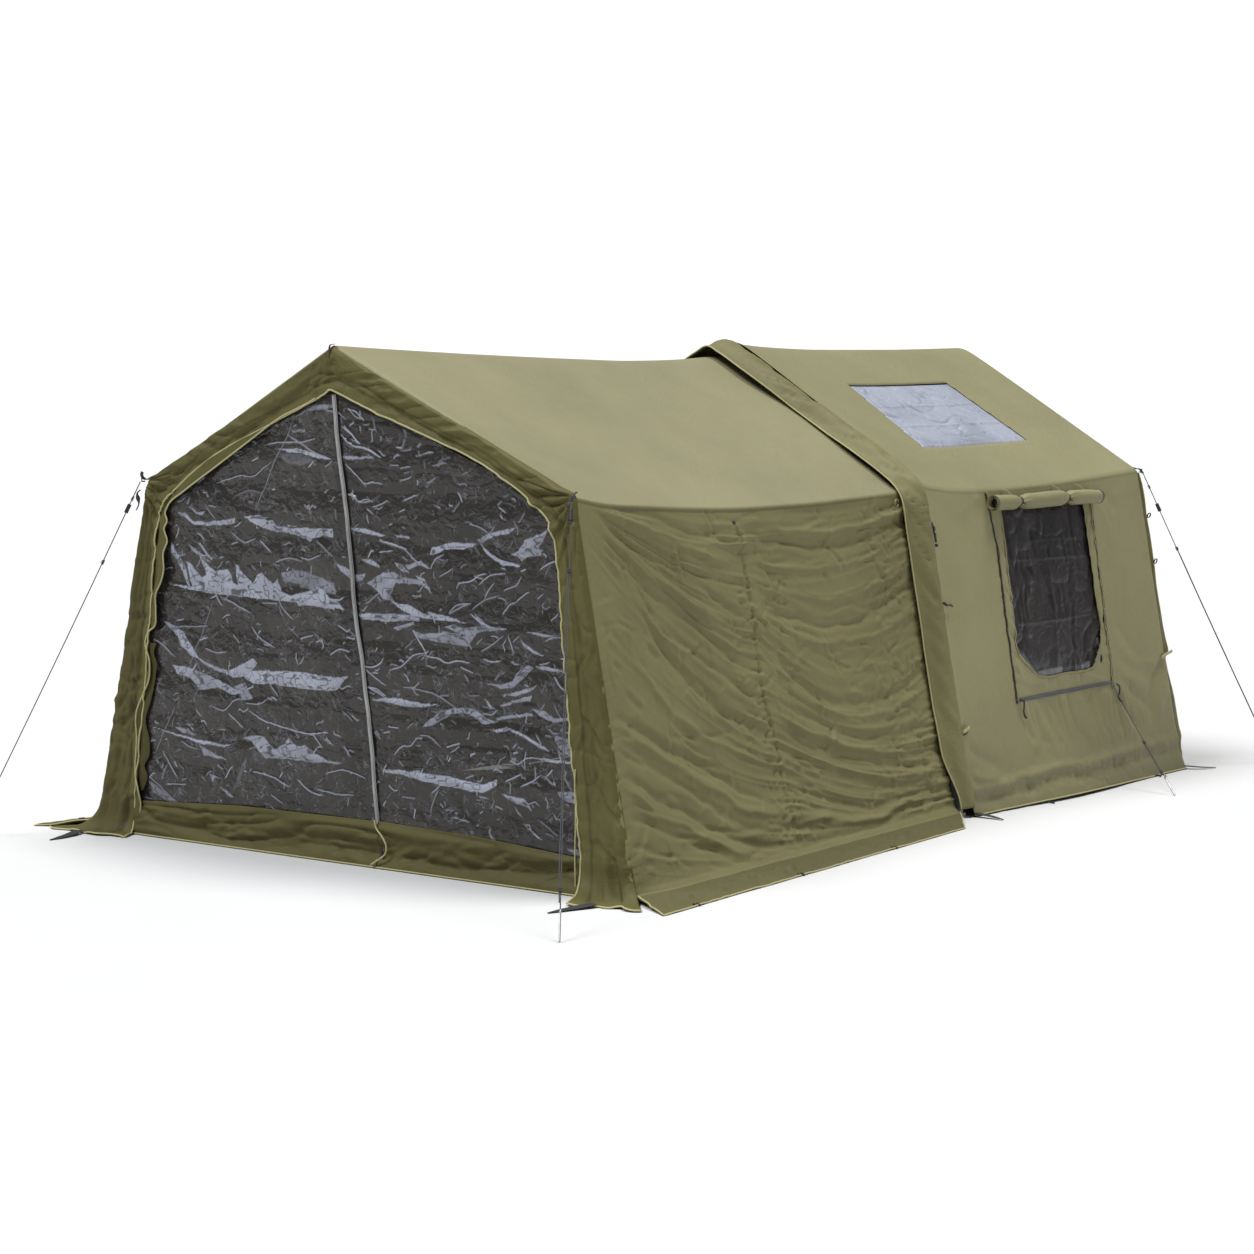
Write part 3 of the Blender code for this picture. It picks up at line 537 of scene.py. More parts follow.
def tube_parts(path, r, sides=8, wide=None, flat=None):
    """Verts and faces of a capped tube. r is one radius or one for each point; with flat=(half width, half thickness)
    and wide=(direction of the width), a strap with rounded edges."""
    path = np.asarray(path, float)
    t, a, b = frames(path)
    if wide is not None:
        w = np.broadcast_to(np.asarray(wide, float), path.shape)
        w = w - t * (w * t).sum(1)[:, None]
        a = w / (np.linalg.norm(w, axis=1)[:, None] + 1e-12)
        b = np.cross(t, a)
    ang = np.arange(sides) * 2 * math.pi / sides
    if flat is not None:
        c, s = np.cos(ang), np.sin(ang)
        u = np.sign(c) * np.abs(c) ** 0.35 * flat[0]
        v = np.sign(s) * np.abs(s) ** 0.6 * flat[1]
        scale = np.broadcast_to(np.asarray(1.0 if r is None else r, float), (len(path),))
        ring = a[:, None] * u[None, :, None] * scale[:, None, None] + b[:, None] * v[None, :, None]
    else:
        rr = np.broadcast_to(np.asarray(r, float), (len(path),))
        ring = (a[:, None] * np.cos(ang)[None, :, None] + b[:, None] * np.sin(ang)[None, :, None]) * rr[:, None, None]
    V = (path[:, None] + ring).reshape(-1, 3)
    n = len(path)
    i = np.arange(n - 1)[:, None] * sides
    j = np.arange(sides)[None]
    k = (j + 1) % sides
    q = np.stack([i + j, i + k, i + sides + k, i + sides + j], -1).reshape(-1, 4)
    V = np.concatenate([V, path[:1], path[-1:]])
    jj = np.arange(sides)
    kk = (jj + 1) % sides
    first, last = n * sides, n * sides + 1
    tri = np.concatenate([np.stack([kk, jj, np.full(sides, first)], -1),
                          np.stack([(n - 1) * sides + jj, (n - 1) * sides + kk, np.full(sides, last)], -1)])
    return V, q, tri


def gathered(name, parts, attrs=None):
    """Several (verts, quads, triangles) as one mesh of separate bodies."""
    V, Q, T, at = [], [], [], 0
    for v, q, t in parts:
        V.append(v)
        Q.append(np.asarray(q).reshape(-1, 4) + at)
        T.append(np.asarray(t).reshape(-1, 3) + at)
        at += len(v)
    return mesh_of(name, np.concatenate(V), [np.concatenate(Q), np.concatenate(T)], attrs)


def tube(name, path, r, sides=8, wide=None, flat=None):
    return gathered(name, [tube_parts(path, r, sides, wide, flat)])


def curve_through(points, n):
    """n evenly placed points on a smooth curve through 3-D points."""
    points = np.asarray(points, float)
    s = np.concatenate([[0], np.cumsum(np.linalg.norm(points[1:] - points[:-1], axis=1))])
    if len(points) == 2:
        return mix(points[0], points[1], np.linspace(0, 1, n)[:, None])
    return spline(s, points, np.linspace(0, s[-1], n))


def even3(points, n):
    """n evenly spaced points along a 3-D polyline."""
    s = np.concatenate([[0], np.cumsum(np.linalg.norm(points[1:] - points[:-1], axis=1))])
    at = np.linspace(0, s[-1], n)
    return np.stack([np.interp(at, s, points[:, k]) for k in range(3)], 1)


def block_parts(centre, size, turn=np.eye(3), bevel=0.25):
    """A small block with chamfered edges; turn's columns are its axes."""
    h = np.asarray(size, float) / 2
    c = min(h) * bevel
    bm = bmesh.new()
    bmesh.ops.create_cube(bm, size=1.0)
    for v in bm.verts:
        v.co = (v.co.x * 2 * h[0], v.co.y * 2 * h[1], v.co.z * 2 * h[2])
    bmesh.ops.bevel(bm, geom=list(bm.edges) + list(bm.verts), offset=c, segments=2, profile=0.6, affect="EDGES")
    bmesh.ops.triangulate(bm, faces=[f for f in bm.faces if len(f.verts) > 4])
    bm.verts.index_update()
    V = np.array([v.co for v in bm.verts]) @ np.asarray(turn).T + np.asarray(centre)
    Q = [[v.index for v in f.verts] for f in bm.faces if len(f.verts) == 4]
    T = [[v.index for v in f.verts] for f in bm.faces if len(f.verts) == 3]
    bm.free()
    return V, np.array(Q).reshape(-1, 4), np.array(T).reshape(-1, 3)


def axes_of(z, x=(1, 0, 0)):
    """A turn whose third axis is z and first is near x."""
    z = np.asarray(z, float) / np.linalg.norm(z)
    x = np.asarray(x, float) - z * (np.asarray(x, float) @ z)
    x /= np.linalg.norm(x)
    return np.stack([x, np.cross(z, x), z], 1)


def mirrored(P):
    return P * np.array([-1, 1, 1])


SIDES = (("left", -1), ("right", 1))


# ================================================================ the tent's surfaces as functions
def front_lean(x, z):
    """How far behind the front plane the gable's cloth lies."""
    side = np.minimum(np.abs(x) / FRONT_EAVE[0], 1.0)
    return EAVE_LEAN * z / FRONT_EAVE[1] * side + RIDGE_LEAN * z / RIDGE_Z * (1 - side)


def annex_ridge_z(d):
    return spline((-0.07, 0.40, 1.12, 1.66, 2.21, 2.56, 2.78, 2.95), (2.404, 2.381, 2.354, 2.338, 2.328, 2.334, 2.346, 2.352), d)


def annex_eave(d):
    x = mix(FRONT_EAVE[0], 1.147, (d - 0.04) / 2.885) - 0.012 * np.sin(np.clip((d - 0.04) / 2.885, 0, 1) * math.pi)
    z = spline((0.0, 0.24, 0.72, 1.37, 1.94, 2.50, 2.95), (1.752, 1.712, 1.674, 1.642, 1.637, 1.647, 1.660), d)
    return x, z


def main_ridge_z(d):
    return spline((2.99, 3.10, 3.30, 3.56, 4.14, 5.00, 5.30), (2.414, 2.412, 2.400, 2.390, 2.386, 2.391, 2.398), d)


def main_eave(d):
    z = spline((2.99, 3.11, 3.32, 3.62, 4.23, 4.77, 5.30), (1.690, 1.680, 1.658, 1.646, 1.654, 1.675, 1.704), d)
    return np.full(np.shape(d), MAIN_EAVE[0]) + 0.006, z


WALL_OUT = np.array([0.982, 0.0, 0.189])      # outward from a right side wall
ROOF_OUT = np.array([0.511, 0.0, 0.860])


def main_creases(d, z):
    """Short creases of the main side wall: upright under the window, level above the hem, slanting behind the window."""
    def heading(x, y, turn):
        if y < 0.21:
            return 0.10 + 0.55 * turn
        if 3.62 < x < 4.80 and y < 0.53:
            return math.pi / 2 + 0.55 * turn
        if x > 4.74:
            return -0.75 + 0.6 * turn
        if x < 3.60 and y < 0.5:
            return -0.5 + 0.6 * turn
        return None if abs(turn) > 0.25 or y > 1.5 else math.pi / 2 + 2.0 * turn
    h = strokes(d, z, 260, 41, (3.06, 5.24, 0.05, 1.55), heading, (0.07, 0.26), (0.0030, 0.0075), (0.011, 0.018))
    return h + strokes(d, z, 150, 43, (3.10, 5.20, 0.05, 0.21), heading, (0.05, 0.16), (0.0030, 0.0075), (0.010, 0.014))


def main_wall_swell(d, z):
    """How far the main side wall's cloth stands out from its flat panel."""
    span = np.clip((d - 3.0) / 2.30, 0, 1)
    flare = spline((3.0, 3.45, 3.96, 4.3, 4.63, 5.0, 5.35), (0.030, 0.045, 0.085, 0.070, 0.040, 0.016, 0.004), d)
    low = np.clip(1 - z / 0.46, 0, 1)
    h = flare * low ** 1.4
    h = h + 0.010 * np.sin(span * math.pi) * np.sin(np.clip(z / 1.65, 0, 1) * math.pi)
    # the slack fold above the hem, and the hollow under it
    level = spline((3.0, 3.3, 3.7, 4.1, 4.6, 5.0, 5.3), (0.100, 0.105, 0.115, 0.125, 0.140, 0.150, 0.150), d)
    amount = spline((3.0, 3.2, 3.6, 4.2, 4.9, 5.3), (0.4, 0.9, 1.0, 0.9, 0.8, 0.4), d)
    wob = 0.014 * noise(d * 3.1, 0 * d, 5)
    h = h + amount * (0.013 * bell(z - level - 0.030 - wob, 0.026) - 0.014 * bell(z - level + 0.030 - wob, 0.030))
    h = h + amount * (0.009 * ridged(d * 7.0 + 2.0 * z, z * 11.0, 12) + 0.005 * ridged(d * 17.0, z * 24.0, 14)) * bell(z - level + 0.02, 0.085)
    # vertical drape under the window panel, and drag folds towards both lower corners
    below = smooth((0.56 - z) / 0.08) * smooth((z - 0.20) / 0.10)
    inside = smooth((d - 3.55) / 0.2) * smooth((5.0 - d) / 0.2)
    h = h + below * inside * (0.0115 * ridged(d * 12.0 + 0.9 * noise(d * 2, z * 4, 3), z * 1.2, 8)
                              + 0.0050 * ridged(d * 25.0 + 1.5 * noise(d * 5, z * 6, 4), z * 5.0, 9))
    h = h - 0.020 * bell(z - 0.52, 0.16) * smooth((d - 3.68) / 0.22) * smooth((4.62 - d) / 0.22)
    h = h + folds(d, z, [
        ([(3.68, 0.50), (3.70, 0.38), (3.74, 0.28)], -0.010, 0.02, 0.03, (0.2, 0.3)),
        ([(3.86, 0.53), (3.87, 0.42), (3.90, 0.30)], 0.008, 0.03, 0.02, (0.2, 0.3)),
        ([(4.66, 0.50), (4.74, 0.42), (4.86, 0.31)], -0.011, 0.03, 0.02, (0.15, 0.4)),
        ([(4.70, 0.60), (4.86, 0.55), (5.08, 0.50)], 0.007, 0.03, 0.03, (0.2, 0.4)),
        ([(4.69, 0.75), (4.80, 0.66), (5.02, 0.58), (5.24, 0.55)], -0.008, 0.05, 0.03, (0.3, 0.2)),
        ([(5.26, 0.62), (5.12, 0.50), (5.00, 0.36)], -0.009, 0.03, 0.04, (0.1, 0.4)),
        ([(5.27, 0.50), (5.16, 0.40), (5.10, 0.28)], 0.008, 0.03, 0.03, (0.1, 0.3)),
        ([(3.09, 0.35), (3.22, 0.27), (3.42, 0.22)], -0.010, 0.03, 0.03, (0.1, 0.4)),
        ([(3.08, 0.20), (3.20, 0.17), (3.36, 0.17)], 0.014, 0.02, 0.03, (0.1, 0.4)),
        ([(5.22, 1.62), (4.95, 1.56), (4.83, 1.52)], 0.004, 0.03, 0.03, (0.2, 0.4)),
        ([(4.68, 0.50), (4.80, 0.34), (4.90, 0.22)], -0.013, 0.022, 0.030, (0.12, 0.3)),
        ([(4.67, 0.47), (4.72, 0.36), (4.75, 0.24)], 0.009, 0.016, 0.020, (0.15, 0.3)),
        ([(4.72, 0.60), (4.90, 0.46), (5.10, 0.34)], -0.009, 0.026, 0.030, (0.15, 0.3)),
        ([(4.76, 0.90), (4.92, 0.72), (5.14, 0.60)], -0.008, 0.030, 0.040, (0.15, 0.3)),
        ([(5.27, 0.68), (5.14, 0.62), (4.98, 0.66)], 0.008, 0.020, 0.026, (0.1, 0.4)),
        ([(5.27, 0.66), (5.16, 0.54), (5.06, 0.40), (5.02, 0.24)], -0.012, 0.022, 0.030, (0.1, 0.3)),
        ([(3.55, 1.60), (3.42, 1.52), (3.30, 1.40)], -0.005, 0.03, 0.04, (0.1, 0.4)),
        ([(3.60, 1.62), (3.46, 1.56), (3.30, 1.52)], 0.005, 0.02, 0.03, (0.1, 0.4)),
        ([(4.76, 1.60), (4.90, 1.56), (5.02, 1.46)], -0.006, 0.02, 0.03, (0.1, 0.4)),
        ([(4.75, 1.56), (4.84, 1.46), (4.90, 1.34)], 0.004, 0.02, 0.03, (0.1, 0.4)),
        ([(4.62, 0.55), (4.45, 0.60), (4.30, 0.63)], 0.005, 0.012, 0.020, (0.1, 0.4)),
        ([(3.66, 0.66), (3.80, 0.61), (3.98, 0.60)], 0.005, 0.012, 0.020, (0.1, 0.4)),
    ])
    # pull marks beside the zips
    for where, lean in ((3.650, 0.0), (4.690, -0.068)):
        off = d - (where + lean * (1.0 - z))
        h = h + 0.0034 * np.exp(-np.abs(off) / 0.035) * ridged(d * 3, z * 30.0 + np.abs(off) * 22.0, 21) * smooth((z - 0.5) / 0.1) * smooth((1.6 - z) / 0.1)
    tall = smooth((z - 0.60) / 0.06) * smooth((1.52 - z) / 0.06)
    for middle, wide, slant in ((3.705 + 0.03 * (z - 1.0), 0.040, 1.0), (4.650 + 0.05 * (z - 1.0), 0.034, -1.0)):
        strip = bell(d - middle, wide) * tall
        h = h + strip * (0.0085 * ridged(d * 15.0 * slant + z * 9.0, z * 6.0, 23) + 0.0030 * noise(d * 34, z * 28, 25))
    under = bell(z - 0.60, 0.030) * smooth((d - 3.9) / 0.1) * smooth((4.5 - d) / 0.1)
    h = h + under * 0.0045 * ridged(d * 16.0, z * 3.0, 27)
    if np.size(h) > 4000:
        h = h + main_creases(d, z)
    return h + 0.0024 * fbm(d * 3.0, z * 3.0, 31) + 0.0009 * fbm(d * 12, z * 10, 33)


def main_wall(d, z, lift=0.0, side=1, swell=main_wall_swell):
    """A point on the main side wall."""
    ex, ez = main_eave(d)
    x = MAIN_FOOT_X + (ex - MAIN_FOOT_X) * np.minimum(z / ez, 1.0)
    P = P3(x, d, z) + WALL_OUT * (swell(d, z) + lift)[..., None]
    return P * np.array([side, 1, 1])


def main_roof(d, x, lift=0.0, side=1):
    """A point on a main roof slope."""
    ex, ez = main_eave(d)
    rz = main_ridge_z(d)
    t = x / ex
    slope = (rz - ez) / ex
    r = 0.055
    z = rz - (rz - ez) * t + slope * (r - (np.sqrt(x * x + r * r) - x)) * (1 - t)
    span = np.clip((d - 3.0) / 2.28, 0, 1)
    z = z - 0.008 * np.sin(span * math.pi) * np.sin(t * math.pi) + 0.0015 * fbm(d * 2.0, x * 2.0, 41)
    return (P3(x, d, z) + ROOF_OUT * np.asarray(lift)[..., None]) * np.array([side, 1, 1])


def soften(P, row, span, rounds, weight=None):
    """Rounds off the bend at a row by averaging across it; weight (one for each column) scales the effect."""
    n = len(P)
    lo, hi = max(1, row - span), min(n - 1, row + span + 1)
    falloff = 1 - smooth(np.abs(np.arange(lo, hi) - row) / span)
    w = 0.5 * falloff[:, None, None] * (np.ones(P.shape[1]) if weight is None else weight)[None, :, None]
    for _ in range(rounds):
        P[lo:hi] += w * (0.5 * (P[lo - 1:hi - 1] + P[lo + 1:hi + 1]) - P[lo:hi])
    return P


# ================================================================ annex cover: both slopes, both walls, both mud flaps
E0, E1, F0 = np.array([1.348, 0.04, 1.749]), np.array([1.147, 2.925, 1.66]), np.array([1.72, 0.0, 0.0])
WALL_N = np.cross(E1 - E0, F0 - E0)
WALL_N /= np.linalg.norm(WALL_N)
if WALL_N[0] < 0:
    WALL_N = -WALL_N


def on_wall(points):
    """Pixels of the enlarged view of the annex wall as (depth, z) on the wall."""
    hit = spot(crop(560, 480, 3.92, points), WALL_N, E0)
    return hit[:, 1:3]


def drawn(points, depth, wr, wl, a=0.25, b=0.35):
    return (on_wall(points), depth, wr, wl, (a, b))


# valleys and crests of the annex wall's folds. The right side of a line is below it, going rearwards.
WALL_FOLDS = [
    drawn([(110, 95), (300, 128), (450, 175), (600, 225), (725, 262)], -0.016, 0.026, 0.034, 0.30, 0.22),
    drawn([(108, 96), (260, 150), (430, 230), (600, 300), (735, 330)], 0.013, 0.026, 0.030, 0.25, 0.22),
    drawn([(105, 100), (220, 195), (330, 275), (470, 355), (600, 440), (745, 540)], -0.019, 0.024, 0.034, 0.22, 0.20),
    drawn([(108, 110), (230, 260), (360, 360), (520, 470), (700, 590)], 0.015, 0.028, 0.030, 0.22, 0.25),
    drawn([(150, 160), (230, 290), (330, 400), (420, 480), (540, 560), (660, 660), (790, 770)], -0.017, 0.026, 0.036, 0.25, 0.20),
    drawn([(290, 370), (345, 470), (395, 560)], -0.011, 0.010, 0.018, 0.35, 0.25),
    drawn([(372, 482), (436, 494), (505, 555)], 0.006, 0.010, 0.012, 0.3, 0.3),
    drawn([(180, 330), (300, 470), (430, 610), (560, 720), (700, 830), (820, 900)], 0.014, 0.028, 0.028, 0.30, 0.20),
    drawn([(250, 430), (380, 590), (450, 700), (560, 820), (680, 930), (850, 1010)], -0.017, 0.024, 0.036, 0.25, 0.25),
    drawn([(420, 560), (560, 690), (700, 800), (840, 905)], -0.012, 0.020, 0.030, 0.3, 0.2),
    drawn([(200, 620), (330, 760), (430, 880), (560, 990), (700, 1060), (860, 1120)], 0.013, 0.030, 0.028, 0.3, 0.2),
    drawn([(540, 760), (590, 810), (640, 900)], -0.006, 0.012, 0.018, 0.3, 0.3),
    drawn([(190, 900), (330, 985), (520, 1095), (700, 1205), (880, 1280)], -0.018, 0.024, 0.036, 0.12, 0.20),
    drawn([(195, 935), (330, 1040), (500, 1150), (690, 1270), (890, 1330)], 0.013, 0.026, 0.026, 0.12, 0.20),
    drawn([(215, 1060), (350, 1120), (500, 1210), (650, 1310), (780, 1370)], -0.013, 0.022, 0.030, 0.10, 0.30),
    drawn([(235, 1150), (330, 1215), (460, 1285), (620, 1375), (800, 1440), (920, 1425)], -0.017, 0.024, 0.034, 0.10, 0.2),
    drawn([(240, 1190), (350, 1290), (500, 1370), (650, 1440), (820, 1490)], 0.012, 0.026, 0.026, 0.10, 0.3),
    drawn([(255, 1330), (400, 1372), (560, 1448), (720, 1500)], -0.012, 0.018, 0.028, 0.10, 0.35),
    drawn([(270, 1425), (380, 1470), (520, 1525)], -0.009, 0.016, 0.024, 0.10, 0.35),
    drawn([(580, 1275), (640, 1320), (690, 1360)], -0.006, 0.010, 0.016, 0.3, 0.3),
    # behind the middle seam
    drawn([(735, 240), (880, 248), (1050, 262), (1200, 232), (1320, 180), (1385, 130)], -0.020, 0.026, 0.036, 0.18, 0.10),
    drawn([(740, 200), (900, 195), (1080, 200), (1240, 165), (1385, 95)], 0.012, 0.024, 0.026, 0.2, 0.12),
    drawn([(750, 320), (900, 345), (1050, 350), (1200, 300), (1395, 205)], 0.014, 0.030, 0.026, 0.2, 0.10),
    drawn([(810, 250), (835, 275)], -0.006, 0.010, 0.014, 0.3, 0.3),
    drawn([(770, 455), (900, 525), (1050, 572), (1180, 560), (1300, 480), (1410, 400)], -0.021, 0.024, 0.040, 0.20, 0.10),
    drawn([(760, 390), (900, 430), (1060, 470), (1200, 440), (1400, 300)], 0.010, 0.028, 0.028, 0.2, 0.10),
    drawn([(790, 530), (920, 600), (1060, 640), (1200, 620), (1320, 560), (1430, 480)], 0.013, 0.028, 0.024, 0.2, 0.12),
    drawn([(960, 640), (1080, 700), (1170, 745)], -0.008, 0.010, 0.020, 0.3, 0.15),
    drawn([(1170, 745), (1215, 715), (1265, 660)], -0.008, 0.010, 0.018, 0.15, 0.3),
    drawn([(800, 650), (940, 770), (1100, 872), (1240, 870), (1370, 800), (1450, 720)], -0.018, 0.024, 0.036, 0.20, 0.10),
    drawn([(810, 720), (950, 830), (1110, 920), (1260, 915), (1460, 800)], 0.013, 0.028, 0.026, 0.2, 0.10),
    drawn([(830, 840), (960, 905), (1100, 975), (1250, 1010), (1400, 985), (1480, 940)], -0.015, 0.022, 0.032, 0.15, 0.10),
    drawn([(840, 900), (980, 975), (1130, 1040), (1280, 1060), (1480, 1010)], 0.012, 0.026, 0.022, 0.2, 0.10),
    drawn([(850, 950), (1000, 1030), (1150, 1095), (1300, 1118), (1490, 1115)], -0.018, 0.024, 0.036, 0.15, 0.10),
    drawn([(870, 1020), (1020, 1090), (1180, 1150), (1330, 1160), (1500, 1150)], 0.012, 0.024, 0.024, 0.2, 0.10),
    drawn([(880, 1080), (1020, 1140), (1150, 1185), (1300, 1212), (1510, 1190)], -0.014, 0.020, 0.030, 0.15, 0.12),
    drawn([(900, 1190), (1050, 1245), (1200, 1275), (1350, 1245), (1510, 1205)], -0.012, 0.022, 0.030, 0.2, 0.1),
    drawn([(930, 1440), (1080, 1402), (1200, 1372), (1350, 1292), (1520, 1222)], -0.018, 0.030, 0.024, 0.15, 0.10),
    drawn([(910, 1350), (1050, 1322), (1200, 1325), (1330, 1275), (1500, 1235)], 0.011, 0.026, 0.024, 0.15, 0.12),
    drawn([(1010, 1470), (1200, 1430), (1380, 1360), (1520, 1290)], 0.010, 0.022, 0.024, 0.2, 0.2),
    drawn([(1120, 760), (1160, 738), (1190, 752), (1230, 735), (1280, 715)], 0.004, 0.008, 0.008, 0.2, 0.3),
    drawn([(1020, 910), (1090, 905), (1180, 908)], 0.004, 0.009, 0.010, 0.3, 0.3),
    drawn([(960, 1040), (1010, 1070), (1090, 1050), (1170, 1080)], -0.004, 0.009, 0.012, 0.3, 0.3),
    drawn([(610, 115), (640, 160)], -0.005, 0.010, 0.014, 0.3, 0.3),
    drawn([(690, 165), (745, 140), (810, 118)], -0.005, 0.012, 0.014, 0.2, 0.3),
    drawn([(350, 165), (380, 190)], -0.004, 0.010, 0.012, 0.3, 0.3),
    drawn([(690, 520), (740, 545), (790, 600)], -0.007, 0.010, 0.018, 0.3, 0.3),
    drawn([(400, 960), (480, 1010), (590, 1000), (700, 990)], -0.005, 0.010, 0.016, 0.3, 0.3),
    drawn([(550, 985), (640, 1005), (710, 985)], -0.006, 0.010, 0.018, 0.2, 0.3),
    drawn([(330, 590), (350, 610)], -0.004, 0.010, 0.012, 0.3, 0.3),
    drawn([(150, 575), (260, 575), (345, 610)], -0.005, 0.012, 0.016, 0.2, 0.3),
]
# the lines that the tight cloth's small folds follow: height at the middle seam, then (depth, z) behind it
SWAGS = [
    (1.48, ((1.39, 1.48), (1.72, 1.46), (2.11, 1.42), (2.50, 1.44), (2.83, 1.49), (3.02, 1.55))),
    (1.39, ((1.39, 1.39), (1.72, 1.34), (2.08, 1.31), (2.47, 1.35), (3.01, 1.45))),
    (1.23, ((1.39, 1.23), (1.65, 1.13), (1.99, 1.04), (2.31, 1.04), (2.65, 1.11), (2.97, 1.20))),
    (1.00, ((1.39, 1.00), (1.65, 0.83), (1.99, 0.68), (2.33, 0.65), (2.69, 0.70), (2.93, 0.78))),
    (0.64, ((1.39, 0.64), (1.69, 0.51), (2.02, 0.40), (2.38, 0.33), (2.86, 0.28))),
    (0.35, ((1.39, 0.35), (1.72, 0.25), (2.07, 0.17), (2.45, 0.14), (2.87, 0.15))),
    (0.06, ((1.39, 0.06), (1.73, 0.05), (2.03, 0.04), (2.43, 0.04), (2.89, 0.04))),
]


def along_folds(d, z):
    """The height at which the fold line through each point crosses the middle seam, and how far the lines are spread there."""
    t = np.clip((d - 0.08) / 1.31, 0.0, 1.0)
    g = np.maximum(1 - (1 - t) ** 1.5, 0.02)
    levels, names = [np.maximum(annex_eave(d)[1], 1.735 - 0.1 * d) + 0.01], [1.66]
    for height, points in SWAGS:
        front = 1.73 * (1 - g) + height * g if height > 0.741 else 0.1 * (1 - g) + height * (2.2 * (1 - g) + g)
        levels.append(np.where(d < 1.39, front, spline([p[0] for p in points], [p[1] for p in points], d)))
        names.append(height)
    levels.append(levels[-1] - 0.4)
    names.append(-0.34)
    psi = np.full(d.shape, names[0])
    for hi, lo, top, low in zip(levels[:-1], levels[1:], names[:-1], names[1:]):
        psi = np.where((z <= hi) & (z > lo), low + (top - low) * (z - lo) / np.maximum(hi - lo, 1e-3), psi)
    spread = np.where((d < 1.39) & (psi > 0.741), g, 1.0)
    return psi, spread


SEAM = on_wall([(700, 165), (722, 215), (735, 300), (752, 380), (768, 480), (785, 590), (800, 690), (812, 810), (838, 920),
                (862, 1010), (880, 1100), (892, 1180), (905, 1270), (920, 1350), (932, 1440), (940, 1540)])[:, ::-1]
SEAM = SEAM[np.argsort(SEAM[:, 0])]       # (z, depth), rising


def seam_depth(z):
    return spline(SEAM[:, 0], SEAM[:, 1], z)


def annex_creases(d, z, seed):
    """Short creases of the annex wall, most of them along the fold lines, some across."""
    def heading(x, y, turn):
        at = [np.array([x - 0.01, x + 0.01, x, x]), np.array([y, y, y - 0.01, y + 0.01])]
        psi, _ = along_folds(*at)
        gx, gy = psi[1] - psi[0], psi[3] - psi[2]
        if abs(gx) + abs(gy) < 1e-9:
            return None
        return math.atan2(-gx * np.sign(gy), abs(gy)) + (0.22 * turn if abs(turn) < 0.75 else 1.1 * turn)
    h = strokes(d, z, 260, 141 + seed, (0.10, 2.84, 0.04, 1.60), heading, (0.08, 0.34), (0.0026, 0.0068), (0.010, 0.016))
    h = h + strokes(d, z, 110, 151 + seed, (2.45, 2.88, 0.06, 1.60), heading, (0.06, 0.20), (0.0030, 0.0072), (0.009, 0.014))
    return h + strokes(d, z, 110, 161 + seed, (1.15, 1.75, 0.06, 1.50), heading, (0.05, 0.18), (0.0026, 0.0062), (0.009, 0.013))


